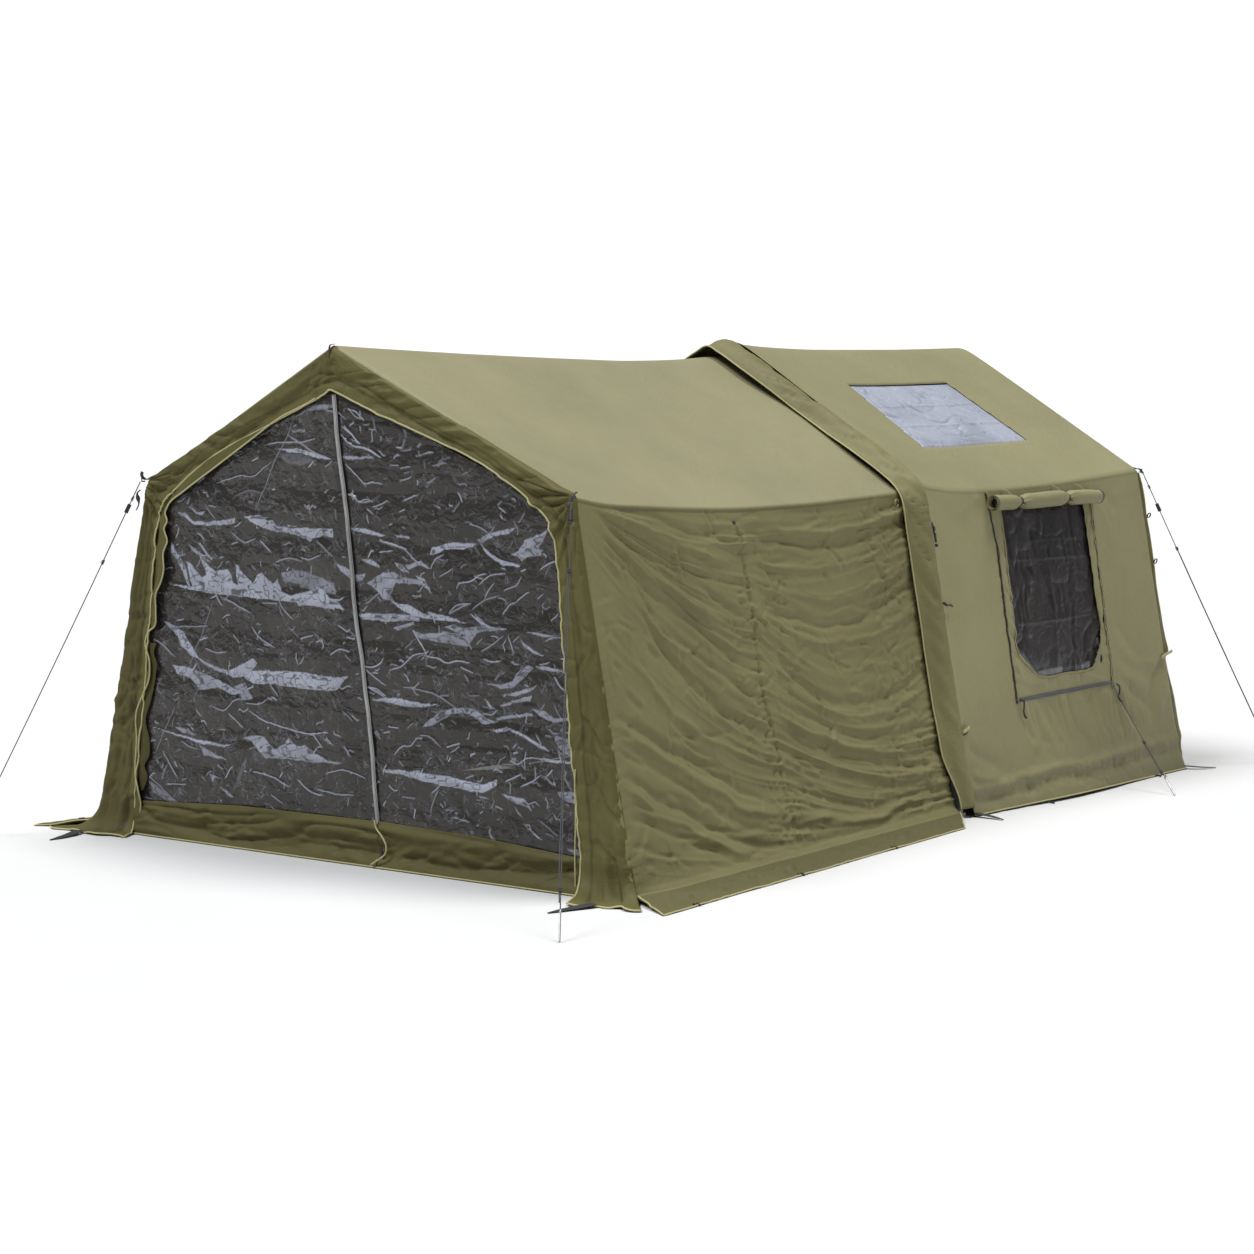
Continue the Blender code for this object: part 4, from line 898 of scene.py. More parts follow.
def annex_wall_swell(d, z, s, drop, seed=0):
    """Folds of the annex side wall; s is 0 at the front arch and 1 at the middle arch, drop the way down from the eave."""
    dw = d + 0.016 * noise(d * 5.0, z * 7.0, 81 + seed) + 0.006 * noise(d * 13.0, z * 15.0, 82 + seed)
    zw = z + 0.014 * noise(d * 6.0, z * 8.0, 83 + seed) + 0.006 * noise(d * 14.0, z * 17.0, 84 + seed)
    h = 0.88 * folds(dw, zw, [(line, depth, 0.60 * wr, 0.62 * wl, fade) for line, depth, wr, wl, fade in WALL_FOLDS])
    edge_f, edge_r = s * 2.9, (1 - s) * 2.9
    seam = d - seam_depth(z)
    # many small folds that run from the front corner to the seam and hang in swags behind it
    psi, spread = along_folds(d, z)
    run = d + 0.25 * (1.7 - z)
    a = noise(psi * 15.0, run * 0.9, 61 + seed)
    b = ridged(psi * 26.0 + 0.5 * a, run * 1.3, 63 + seed)
    c = noise(psi * 52.0 + 0.6 * b, run * 2.2, 69 + seed)
    calm = 0.35 + 0.65 * smooth(0.5 + 0.9 * noise(psi * 4.0, run * 1.6, 70 + seed))
    corner = smooth(spread / 0.35) * smooth(edge_f / 0.16)
    h = h + (0.0048 * a - 0.0084 * b * calm + 0.0038 * c * calm) * np.where(spread < 1, corner, smooth(edge_f / 0.20))
    h = h + annex_creases(d, z, seed) * smooth(edge_f / 0.14)
    # sharp little creases across them, here and there
    nick = np.abs(noise(d * 7.0 + 3.0 * z, z * 9.0 - 2.0 * d, 73 + seed))
    h = h + 0.0022 * np.exp(-(nick / 0.06) ** 2) * smooth(noise(d * 3.1, z * 3.7, 74 + seed) * 2 - 0.3) * smooth(edge_f / 0.2)
    # gathers along the middle seam, the front corner and the arch's sleeve
    live = smooth((1.58 - z) / 0.06)
    zig = 0.007 * noise(z * 44.0, 0 * z, 50 + seed)
    off = np.abs(seam - zig)
    h = h + live * (-0.0085 * bell(seam - zig, 0.010) + 0.0040 * bell(seam - zig - 0.019, 0.010))
    h = h + live * 0.0090 * np.exp(-off / 0.055) * smooth(off / 0.008) * ridged(d * 1.5, z * 30.0 + 9.0 * off + 1.2 * noise(z * 9.0, 0 * z, 52), 51 + seed)
    h = h + live * 0.0030 * np.exp(-off / 0.022) * noise(d * 40.0, z * 70.0, 54 + seed)
    h = h + 0.0085 * np.exp(-edge_r / 0.13) * ridged(d * 2.0, psi * 17.0 + 1.2 * edge_r, 53 + seed)
    h = h + 0.0058 * np.exp(-edge_r / 0.055) * ridged(d * 3.0, z * 36.0 + 4.0 * edge_r, 55 + seed)
    low = smooth((1.15 - z) / 0.25)
    h = h + 0.0042 * low * np.exp(-edge_f / 0.085) * smooth(edge_f / 0.012) * ridged(d * 2.0, z * 24.0 - 3.0 * edge_f, 57 + seed)
    h = h + 0.0030 * (1 - 0.5 * low) * np.exp(-edge_f / 0.03) * ridged(d * 6, z * 46, 58)
    fade = smooth(drop / 0.030) * smooth(edge_f / 0.012)
    h = h * fade * smooth((z - 0.03) / 0.08)
    return h + (0.0012 * fbm(d * 6, z * 6, 65 + seed) + 0.0008 * fbm(d * 19, z * 19, 67 + seed)) * smooth(edge_f / 0.03)


NS = 300
FLAP_FRONT, FLAP_REAR = (2.000, -0.160), (1.718, 2.665)


def annex_half(seed):
    """Rows from the ridge to the mud flap's outer edge, for the right side."""
    s = np.linspace(0, 1, NS)
    s = s + 0.02 * np.sin(2 * math.pi * s) * -1.0 / (2 * math.pi)
    end = 2.935

    def edge(x, z):
        return front_lean(np.asarray(x, float), np.asarray(z, float)) + 0.004

    rows = []
    # roof
    nr = 56
    for u in np.linspace(0, 1, nr):
        t = 1 - (1 - u) ** 1.45
        x0, z0 = FRONT_EAVE[0] * t, mix(RIDGE_Z, FRONT_EAVE[1], t)
        d = mix(edge(x0, z0), end, s)
        ex, ez = annex_eave(d)
        rz = annex_ridge_z(d)
        x = ex * t
        slope = (rz - ez) / ex
        r = 0.012 + 0.035 * np.sin(s * math.pi / 2)
        z = rz - (rz - ez) * t + slope * (r - (np.sqrt(x * x + r * r) - x)) * (1 - t)
        z = z - 0.012 * np.sin(math.pi * s) * np.sin(math.pi * t) + 0.002 * fbm(d * 1.7, x * 1.7, 71 + seed)
        z = z + 0.004 * np.exp(-(1 - s) * 2.9 / 0.10) * noise(d * 2, x * 13.0, 72 + seed)
        rows.append(P3(x, d, z))
    eave_row = nr - 1
    # wall
    nw = 260
    eave_line = rows[-1]
    foot = P3(mix(FRONT_FOOT_X, 1.472, s) + 0.002, mix(0.004, end, s), 0.0)
    t = np.linspace(0, 1, nw)[1:, None]
    base = mix(eave_line[None], foot[None], t[..., None])
    z = np.maximum(base[..., 2], 0.0)
    d = base[..., 1] + Y_MID
    front_fade = smooth((s * 2.9 + 0.03) / 0.30)
    flare = (0.045 * np.clip(1 - z / 0.22, 0, 1) ** 1.5 + 0.010 * bell(z - 0.20, 0.10)) * front_fade
    lift = 0.030 * np.clip(1 - z / 0.06, 0, 1)
    hollow = -0.018 * np.sin(math.pi * t) * np.sin(math.pi * s)
    swell = annex_wall_swell(d, z, s[None] + 0 * d, t * 1.75 + 0 * d, seed)
    P = base + WALL_OUT * (swell + hollow)[..., None]
    P[..., 0] += flare
    P[..., 2] = np.maximum(P[..., 2], 0.0) + lift
    # the welt of the eave's seam
    P[1:4] -= WALL_OUT * (np.array([0.0016, 0.0022, 0.0012])[:, None, None] * smooth(s / 0.05)[None, :, None])
    rows.extend(P)
    foot_row = len(rows) - 1
    # mud flap on the ground
    nf = 20
    seam = rows[-1]
    outer = P3(mix(FLAP_FRONT[0], FLAP_REAR[0], s), mix(FLAP_FRONT[1], FLAP_REAR[1], s), 0.004)
    for k, t in enumerate(np.linspace(0, 1, nf)[1:]):
        P = mix(seam, outer, t)
        P[:, 2] = mix(seam[:, 2], 0.004, smooth(t * 1.15) ** 0.8)
        d = P[:, 1] + Y_MID
        x = P[:, 0]
        crinkle = 0.018 * np.maximum(0, ridged(d * 9.0 + 0.9 * noise(x * 9, d * 3, 5), x * 13.0, 75 + seed)) * smooth((d + 0.1) / 0.2)
        crinkle = crinkle * (0.45 + 0.55 * noise(d * 1.3, 0 * d, 77 + seed) ** 2)
        wrinkle = 0.0075 * ridged(d * 11.0 + 2.2 * t, d * 2.0 + 3.0 * t, 76 + seed) + 0.0035 * noise(d * 26.0, 4.0 * t + 0 * d, 78 + seed)
        P[:, 2] += crinkle * np.sin(math.pi * min(t * 1.05, 1.0)) + 0.004 * (1 - t) + np.maximum(wrinkle, -0.003) * math.sin(math.pi * min(t, 0.96)) ** 0.6
        rows.append(P)
    P = np.stack(rows)
    wobble = 0.004 * noise((P[-1, :, 1] + Y_MID) * 4.0, 0 * P[-1, :, 1], 79 + seed)
    P[-1, :, 0] += wobble
    weight = 0.15 + 0.85 * smooth(s / 0.25)
    P = soften(P, eave_row, 3, 4, weight)
    P = soften(P, foot_row, 3, 2)
    # the front edge turns in round the front pole
    down = np.arange(len(P)) <= eave_row
    turn = np.where(down[:, None], -ROOF_OUT, -WALL_OUT) * (np.arange(len(P)) <= foot_row)[:, None]
    near_corner = (0.40 + 0.60 * smooth(np.abs(np.arange(len(P)) - eave_row) / 9.0))[:, None]
    for k, (into, fore) in enumerate(((0.015, -0.0035), (0.005, -0.004), (0.0005, -0.001))):
        P[:, k] += turn * into * near_corner + np.array([0, fore, 0])
    return P, eave_row, foot_row


right, A_EAVE, A_FOOT = annex_half(0)
left, _, _ = annex_half(7)
ANNEX_RIGHT, ANNEX_LEFT = right, left
annex_P = np.concatenate([mirrored(left)[::-1], right[1:]])
row = np.arange(len(right))
# tone of the annex cover: painted shade makes the walls darker and richer than the lit roof, and a painted seam shadow
# runs two rows under the eave; the mud flaps are darker still
tone = 0.17 * smooth((row - A_EAVE + 1) / 3) + 0.37 * smooth((row - A_FOOT + 1) / 2)
tone = tone + 0.22 * ((row == A_EAVE + 2) | (row == A_EAVE + 3))
tone = np.broadcast_to(np.concatenate([tone[::-1], tone[1:]])[:, None], annex_P.shape[:2])
annex_cover = grid("annex_cover", annex_P, attrs={"tone": tone}, outward=lambda c: np.stack([c[:, 0], 0 * c[:, 0], c[:, 2] - 0.4], -1), thickness=0.0016)
put(annex_cover, CLOTH, "tent", ["annex_roof_left", "annex_roof_right", "annex_wall_left", "annex_wall_right"])

# ================================================================ main cover: both slopes and both walls, with the window and skylight holes
MS = 230
M_DEPTH = np.linspace(3.030, 5.330, MS)


def inside(px, py, outline):
    """Which points lie in the outline."""
    hit = np.zeros(px.shape, bool)
    n = len(outline)
    for i in range(n):
        (ax, ay), (bx, by) = outline[i], outline[(i + 1) % n]
        cross = ((ay > py) != (by > py)) & (px < (bx - ax) * (py - ay) / (by - ay + 1e-12) + ax)
        hit ^= cross
    return hit


def grow(outline, d):
    """The outline moved outward by d, for convex outlines."""
    o = np.asarray(outline, float)
    c = o.mean(0)
    out = []
    n = len(o)
    area = sum(o[i][0] * o[(i + 1) % n][1] - o[(i + 1) % n][0] * o[i][1] for i in range(n))
    turn = 1 if area > 0 else -1
    for i in range(n):
        a, b, e = o[i - 1], o[i], o[(i + 1) % n]
        u, w = (b - a) / np.linalg.norm(b - a), (e - b) / np.linalg.norm(e - b)
        nu, nw = np.array([u[1], -u[0]]) * turn, np.array([w[1], -w[0]]) * turn
        k = nu + nw
        k /= np.linalg.norm(k)
        out.append(b + k * d / (k @ nu))
    return np.array(out)


def main_half(seed):
    rows, keys = [], []
    nr, nw = 64, 190
    d = M_DEPTH
    # the cover turns in round the rear tube at its end
    tuck = smooth((d - 5.268) / 0.062)
    ex, ez = main_eave(d)
    for u in np.linspace(0, 1, nr):
        t = 1 - (1 - u) ** 1.35
        x = ex * t
        P = main_roof(d, x)
        hump = 0.014 * bell(d - 3.02, 0.055)
        P = P + ROOF_OUT * hump[:, None]
        P = P - ROOF_OUT * (0.020 * tuck ** 2)[:, None]
        rows.append(P)
        keys.append(("roof", x))
    top = rows[-1]
    for t in np.linspace(0, 1, nw)[1:]:
        z = ez * (1 - t)
        P = main_wall(d, z)
        hump = 0.012 * bell(d - 3.02, 0.055) * smooth(z / 0.3)
        P = P + WALL_OUT * (hump - 0.020 * tuck ** 2 * smooth(z / 0.15))[:, None]
        P[:, 2] = np.maximum(P[:, 2], 0.004)
        rows.append(P)
        keys.append(("wall", z))
    P = np.stack(rows)
    P = soften(P, nr - 1, 5, 9, 0.55 + 0.45 * smooth(np.abs(d - 4.2) / 1.0))
    return P, nr - 1, keys


right, M_EAVE, keys = main_half(0)
left = right.copy()
MAIN_RIGHT = right
both = np.concatenate([mirrored(left)[::-1], right[1:]])
D = np.broadcast_to(M_DEPTH, both.shape[:2])
n_half = len(right)
key = np.stack([k[1] + 0 * M_DEPTH for k in keys])
is_roof = np.array([k[0] == "roof" for k in keys])


def face_mid(a):
    return (a[:-1, :-1] + a[1:, :-1] + a[:-1, 1:] + a[1:, 1:]) / 4


keep_half = np.ones((n_half - 1, MS - 1), bool)
mid_d, mid_k = face_mid(np.broadcast_to(M_DEPTH, key.shape)), face_mid(key)
wall_faces = ~is_roof[1:]
wall_hole = inside(mid_d, mid_k, grow(WINDOW, 0.004)) & wall_faces[:, None]
wall_hole[M_EAVE] = False
roof_hole = inside(mid_d, mid_k, grow(SKYLIGHT, 0.004)) & ~wall_faces[:, None]
keep = np.concatenate([(keep_half & ~wall_hole)[::-1], keep_half & ~wall_hole & ~roof_hole])
row = np.arange(n_half)
# tone of the main cover: its cloth is made lighter as painted light for the brighter walls, so the roof is toned back
# down; the walls darken towards the rear and the bottom, and a painted seam shadow runs two rows under the eave
tone = 0.22 * (1 - smooth((row - M_EAVE + 1) / 3))[:, None] + 0 * M_DEPTH
tone += smooth((row - M_EAVE) / 3)[:, None] * (0.13 * smooth((M_DEPTH - 3.3) / 1.3) + 0.04 + 0.22 * smooth((M_EAVE + 100 - row) / -80.0)[:, None])
tone += 0.22 * ((row == M_EAVE + 1) | (row == M_EAVE + 2))[:, None]
tone = np.concatenate([tone[::-1], tone[1:]])
main_cover = grid("main_cover", both, keep=keep, attrs={"tone": tone}, outward=lambda c: np.stack([c[:, 0], 0 * c[:, 0], c[:, 2] - 0.4], -1), thickness=0.0016)
put(main_cover, CLOTH_MAIN_LIT, "tent", ["main_roof_left", "main_roof_right", "main_wall_left", "main_wall_right"])

# ================================================================ rear wall
RW, RC = 150, 120
zz = np.linspace(0.0, 1.0, RW)
P = []
for w in zz:
    z = 2.385 * w
    half = np.where(z < 1.69, MAIN_FOOT_X + (MAIN_EAVE[0] - MAIN_FOOT_X) * z / 1.69, MAIN_EAVE[0] * (2.40 - z) / (2.40 - 1.69)) - 0.010
    half = max(half, 0.004)
    u = np.linspace(-1, 1, RC)
    x = half * u
    d = 5.330 - 0.022 * np.abs(u) ** 12
    rear = 0.010 * np.cos(u * math.pi / 2) * math.sin(math.pi * min(z / 2.3, 1)) + 0.004 * noise(x * 2.2, z * 1.2, 91)
    rear = rear + 0.0045 * ridged(x * 7.0, z * 0.8, 93) * smooth((0.9 - z) / 0.7) - 0.004 * bell(x, 0.006)
    rear = rear + 0.0015 * fbm(x * 7, z * 7, 95) + 0.03 * smooth((0.14 - z) / 0.14) * (0.5 + 0.5 * noise(x * 3, 0 * x, 97))
    P.append(P3(x, d + rear, np.maximum(z, 0.004)))
rear_cloth = grid("rear_cloth", np.stack(P), outward=(0, 1, 0), thickness=0.0016)
put(rear_cloth, CLOTH, "tent", ["rear_wall"])

# ================================================================ sleeve strip over the middle arch
def arch_path(n, off=0.0):
    """The main tent's outer profile from the left foot over the ridge to the right foot: points and outward directions."""
    half = [(MAIN_FOOT_X - 0.008, 0.045), (MAIN_FOOT_X - 0.105, 0.55), (MAIN_FOOT_X - 0.205, 1.07), (MAIN_EAVE[0] + 0.040, 1.50)]
    a = np.array([MAIN_EAVE[0] + 0.018, 1.600])
    b = np.array([MAIN_EAVE[0] - 0.115, 1.762])
    c = np.array([MAIN_EAVE[0], MAIN_EAVE[1]])
    turn = [(1 - t) ** 2 * a + 2 * t * (1 - t) * c + t * t * b for t in np.linspace(0, 1, 6)]
    slope = [(0.80, 1.932), (0.50, 2.110), (0.22, 2.277), (0.07, 2.366)]
    pts = half + [tuple(t) for t in turn] + slope
    pts = np.array(pts + [(0.0, 2.398)] + [(-x, z) for x, z in reversed(pts)])
    s = np.concatenate([[0], np.cumsum(np.hypot(*(pts[1:] - pts[:-1]).T))])
    line = spline(s, pts, np.linspace(0, s[-1], n))
    t = np.gradient(line, axis=0)
    t /= np.linalg.norm(t, axis=1)[:, None]
    out = np.stack([t[:, 1], -t[:, 0]], 1)
    out *= np.sign((out * (line - np.array([0, 1.0]))).sum(1))[:, None]
    return line, out, np.linspace(0, s[-1], n)


line, out, run = arch_path(460)
total = run[-1]
from_foot = np.minimum(run, total - run)
cols = []
stations = ((2.896, -0.034), (2.904, -0.029), (2.916, -0.024), (2.930, -0.016), (2.945, -0.005), (2.960, 0.007), (2.978, 0.018),
            (2.996, 0.025), (3.012, 0.027), (3.026, 0.025), (3.040, 0.021), (3.052, 0.015), (3.058, 0.011))
for k, (d, o) in enumerate(stations):
    t = k / (len(stations) - 1)
    free = 1 - t
    wave = 0.006 * noise(run * 3.0, 0 * run, 101) * free + 0.010 * free * bell(run - total * 0.72, 0.5)
    puck = 0.0150 * ridged(run * 13.0 + 5.5 * t, 0 * run + 2.5 * t, 103) * math.sin(math.pi * t) ** 0.7 * (0.25 + 0.75 * smooth(noise(run * 1.6, 0 * run, 105) + 0.45))
    spread = -0.012 * free * noise(run * 1.7, 0 * run, 107)
    low = smooth((0.32 - from_foot) / 0.30)
    proud = smooth((from_foot - 2.35) / 0.5)
    dd = d + spread + 0.050 * low * free - 0.010 * low * t
    oo = o + 0.007 * free + 0.9 * np.maximum(wave, -0.002) + puck + low * (0.030 * free + 0.006) + 0.034 * proud * free
    dd = dd - 0.10 * proud * free
    q = line + out * oo[:, None]
    cols.append(P3(q[:, 0], dd, np.maximum(q[:, 1], 0.02)))
sleeve_P = np.stack(cols)
# the sleeve is darker than the cover as painted shade, with tone that differs at random along it; its last two rows at
# the rear edge are darker again, a painted shade against the main wall
tone = 0.24 + 0.12 * noise(run * 1.2, 0 * run, 109)[None] + 0 * sleeve_P[..., 0]
tone[-2:] += 0.20
sleeve = grid("joint_sleeve", sleeve_P, attrs={"tone": tone}, outward=lambda c: np.stack([c[:, 0], 0 * c[:, 0], c[:, 2] - 0.4], -1), thickness=0.0018)
put(sleeve, CLOTH, "tent", ["joint_flap"])
edge = sleeve_P[0] + np.array([0, -0.001, 0.0])
pipe = tube("joint_piping", edge, 0.0042, 8)
put(pipe, PIPING, "tent")

# ================================================================ gable border
FRONT_N, FRONT_AT = (0.0, 1.0, 0.0), (0.0, -0.005, 0.0)
UL, UR, LL, LR = (120, 320), (300, 320), (100, 560), (360, 600)


def on_gable(x0, y0, points, scale=4.9):
    """Pixels of an enlarged region of the gable as (x, z) on it."""
    return spot(crop(x0, y0, scale, points), FRONT_N, FRONT_AT)[:, [0, 2]]


BORDER_FOLDS = []
for where, points, depth, w in (
        (UL, [(655, 458), (760, 452), (860, 400), (962, 300)], 0.017, 0.020),
        (UL, [(480, 530), (590, 572), (700, 540), (800, 470)], 0.019, 0.022),
        (UL, [(385, 600), (500, 640), (600, 600), (650, 560)], 0.016, 0.020),
        (UL, [(290, 685), (400, 700), (500, 655), (545, 612)], 0.018, 0.018),
        (UL, [(205, 742), (300, 750), (400, 712)], 0.015, 0.016),
        (UL, [(140, 795), (260, 800), (332, 770)], 0.013, 0.014),
        (UL, [(112, 832), (240, 830)], 0.008, 0.010),
        (UL, [(820, 330), (900, 290), (985, 230)], 0.012, 0.016),
        (UL, [(1003, 170), (992, 220), (985, 268)], 0.012, 0.012),
        (UL, [(110, 870), (150, 930), (180, 985)], 0.010, 0.010),
        (UL, [(115, 880), (190, 905)], 0.006, 0.008),
        (UL, [(15, 1468), (80, 1462), (150, 1440)], 0.008, 0.012),
        (UR, [(162, 150), (190, 200), (205, 240)], 0.010, 0.012),
        (UR, [(190, 288), (290, 293), (420, 288)], 0.014, 0.014),
        (UR, [(230, 300), (320, 350), (345, 400)], 0.008, 0.012),
        (UR, [(500, 440), (530, 480), (545, 520)], 0.007, 0.010),
        (UR, [(690, 572), (780, 578), (900, 600)], 0.008, 0.012),
        (UR, [(740, 610), (800, 650), (820, 700)], 0.008, 0.012),
        (UR, [(860, 690), (900, 720), (930, 765)], 0.007, 0.010),
        (UR, [(1000, 790), (1080, 850), (1190, 858), (1310, 884)], 0.016, 0.013),
        (UR, [(1130, 885), (1230, 905), (1310, 893)], 0.009, 0.009),
        (UR, [(1120, 900), (1170, 950), (1240, 985)], 0.012, 0.012),
        (UR, [(1255, 960), (1250, 1010), (1245, 1060)], 0.010, 0.012),
        (LR, [(1050, 560), (1110, 650), (1160, 720), (1215, 790)], 0.011, 0.014),
        (LR, [(1070, 620), (1140, 760), (1220, 900)], 0.008, 0.014),
        (LR, [(1100, 900), (1160, 950), (1200, 1030), (1310, 1130)], 0.009, 0.014),
        (LR, [(1120, 1180), (1200, 1250), (1260, 1330)], 0.010, 0.014),
        (LR, [(1190, 1340), (1240, 1400), (1290, 1440)], 0.010, 0.012),
        (LR, [(1110, 1330), (1180, 1325), (1320, 1345)], 0.006, 0.010),
        (LR, [(1040, 60), (1080, 150), (1130, 170)], 0.007, 0.010),
        (LL, [(110, 300), (150, 285), (190, 255)], 0.010, 0.012),
        (LL, [(75, 582), (160, 600), (200, 560)], 0.008, 0.012),
        (LL, [(85, 470), (130, 462)], 0.006, 0.008),
        (LL, [(30, 822), (110, 795), (150, 730), (165, 660)], 0.013, 0.014),
        (LL, [(40, 820), (110, 850), (150, 900)], 0.008, 0.012),
        (LL, [(60, 560), (120, 420), (190, 300)], 0.007, 0.014),
        (LL, [(40, 1250), (120, 1210), (180, 1150)], 0.012, 0.014),
        (LL, [(0, 1285), (90, 1280)], 0.009, 0.010)):
    line = on_gable(*where, points)
    BORDER_FOLDS.append((line, -depth, w, 1.5 * w, (0.22, 0.22)))
    BORDER_FOLDS.append((line + np.array([0.0, 2.1 * w]), 0.65 * depth, 1.1 * w, 1.3 * w, (0.25, 0.25)))
for where, points in (
        (UR, [(160, 255), (240, 285), (330, 320), (440, 400), (530, 480), (620, 530), (700, 572), (800, 640), (900, 700), (960, 742),
              (1060, 820), (1150, 872), (1200, 950), (1238, 1010)]),
        (UL, [(1030, 255), (960, 290), (850, 400), (740, 470), (640, 530), (540, 590), (440, 670), (330, 770), (240, 840), (210, 920)]),
        (UR, [(1240, 1008), (1290, 992), (1345, 985)])):
    BORDER_FOLDS.append((on_gable(*where, points), -0.0085, 0.0075, 0.0075, (0.02, 0.02)))
BAND = [  # outer and inner corner points of the right half, from the ground up: (outer x, z), (inner x, z)
    ((FRONT_FOOT_X - 0.0340, 0.160), (JAMB_FOOT_X - JAMB_TAPER * 0.160, 0.160)),
    ((FRONT_FOOT_X - 0.1063, 0.500), (JAMB_FOOT_X - JAMB_TAPER * 0.500, 0.500)),
    ((FRONT_FOOT_X - 0.2127, 1.000), (JAMB_FOOT_X - JAMB_TAPER * 1.000, 1.000)),
    ((FRONT_FOOT_X - 0.3126, 1.470), (1.262, 1.500)),
    ((FRONT_FOOT_X - 0.3510, 1.650), (1.238, 1.600)),
    ((FRONT_EAVE[0] + 0.006, 1.742), (1.205, 1.650)),
    ((FRONT_EAVE[0] - 0.080, 1.788), (1.123, 1.716)),
    ((1.000, 1.917), (0.903, 1.851)),
    ((0.500, 2.158), (0.450, 2.030)),
    ((0.200, 2.303), (0.180, 2.128)),
    ((0.050, 2.378), (0.045, 2.182)),
]
half = np.array(BAND)
pairs = np.concatenate([half * np.array([-1, 1]), np.array([[(0.0, 2.402), (0.0, DOOR_APEX_Z)]]), half[::-1]])
mids = pairs.mean(1)
s = np.concatenate([[0], np.cumsum(np.hypot(*(mids[1:] - mids[:-1]).T))])
NB, NC = 760, 38
run = np.linspace(0, s[-1], NB)
outer, inner = spline(s, pairs[:, 0], run), spline(s, pairs[:, 1], run)
B_OUTER, B_INNER = outer, inner


def border_creases(x, z):
    """Short creases of the gable border: nearly level on the slopes, upright down the sides."""
    def heading(a, b, turn):
        on_slope = b > 1.62
        rise = 2.42 - 0.49 * abs(a) - b
        if on_slope and not -0.02 < rise < 0.25 or not on_slope and not 1.18 + 0.15 * (1.6 - b) < abs(a) < 1.40 + 0.22 * (1.6 - b):
            return None
        if on_slope:
            return math.copysign(0.22, a) * -1 + 0.30 * turn
        return math.pi / 2 + math.copysign(0.20, a) + 0.75 * turn
    return strokes(x, z, 560, 171, (-1.70, 1.70, 0.10, 2.36), heading, (0.07, 0.28), (0.0045, 0.0110), (0.010, 0.017))


rows, b_tone = [], []
slope_part = smooth((mix(outer, inner, 0.5)[:, 1] - 1.60) / 0.12)
side = np.sign(outer[:, 0])
for k in range(NC):
    t = k / (NC - 1)
    q = mix(outer, inner, t)
    x, z = q[:, 0], q[:, 1]
    d = front_lean(x, z) + 0.001
    # rounded over the front pole at the outer edge, under the cover's edge
    turnin = max(0.0, 1 - t / 0.10)
    d = d + 0.014 * turnin ** 2
    x = x - 0.001 * turnin * side
    width = np.hypot(*(outer - inner).T)
    seam = bell((1 - t) * width - 0.055, 0.0060)
    drag = ridged(x * 2.0 + 0.4 * z, z * 17.0 - x * 1.5 * side, 111) * slope_part * math.sin(math.pi * min(1, t * 1.15)) * 0.0150
    hang = noise(x * 4.0, z * 7.0, 113) * (1 - slope_part) * 0.006 * math.sin(math.pi * t)
    outer_zone = smooth(((1 - t) * width - 0.045) / 0.02)
    hang = hang + 0.0060 * ridged((np.abs(x) + 0.19 * z) * 24.0, z * 1.4 + side, 114) * (1 - slope_part) * outer_zone * smooth(t / 0.08)
    hang = hang + 0.0040 * ridged(x * 9.0, z * 13.0 + 3.0 * np.abs(x), 116) * (1 - slope_part) * smooth(t / 0.08)
    # creases that spread from the eave corner
    rho = np.hypot(np.abs(x) - 1.36, z - 1.742)
    th = np.arctan2(z - 1.742, 1.36 - np.abs(x))
    drag = drag + 0.030 * ridged(th * 6.5, rho * 2.5, 119) * smooth((rho - 0.01) / 0.05) * np.exp(-(rho / 0.24) ** 2) * smooth(t / 0.05)
    pucker = 0.0035 * noise(x * 3 + z * 22.0 * (1 - slope_part) + x * 22.0 * slope_part, 0 * x, 115) * smooth((t - 0.55) / 0.4)
    edge_lift = 0.010 * smooth((t - 0.75) / 0.25)
    traced = 1.35 * folds(x, z, BORDER_FOLDS) * smooth(t / 0.10)
    traced = traced + border_creases(x, z) * smooth(t / 0.12)
    # under the ridge they spread from the apex
    rho = np.hypot(x, z - 2.40)
    th = np.arctan2(x, 2.40 - z)
    traced = traced + 0.0085 * ridged(th * 5.5, rho * 2.0, 120) * smooth((rho - 0.02) / 0.06) * np.exp(-(rho / 0.20) ** 2) * outer_zone
    # tone of the border: a painted seam shadow on the line 55 mm in from the inner edge; beyond it a little darker on
    # the uprights and on the left, lightest on the right slope, with tone that differs at random
    b_tone.append((0.10 - 0.10 * (side > 0) * slope_part + 0.12 * (side < 0) * (1 - slope_part) + 0.10 * noise(x * 3.0, z * 3.0, 118)) * outer_zone + 0.34 * seam)
    total = 0.80 * drag + 1.5 * hang + pucker + edge_lift + traced
    over_pole = 1 - smooth((t * width - 0.060) / 0.03)
    total = total + 0.006 * over_pole * smooth(t / 0.12)
    total = total + over_pole * (np.maximum(total, 0.0) - total)
    floor_ = mix(-0.011, 0.004, smooth((t - 0.70) / 0.25))
    total = np.where(total < floor_, floor_ + 0.15 * (total - floor_), total)
    d = d - total
    d = d - 0.0012 * fbm(x * 9, z * 9, 117)
    rows.append(P3(x, d, z))
border_P = np.stack(rows)                       # (across, along)
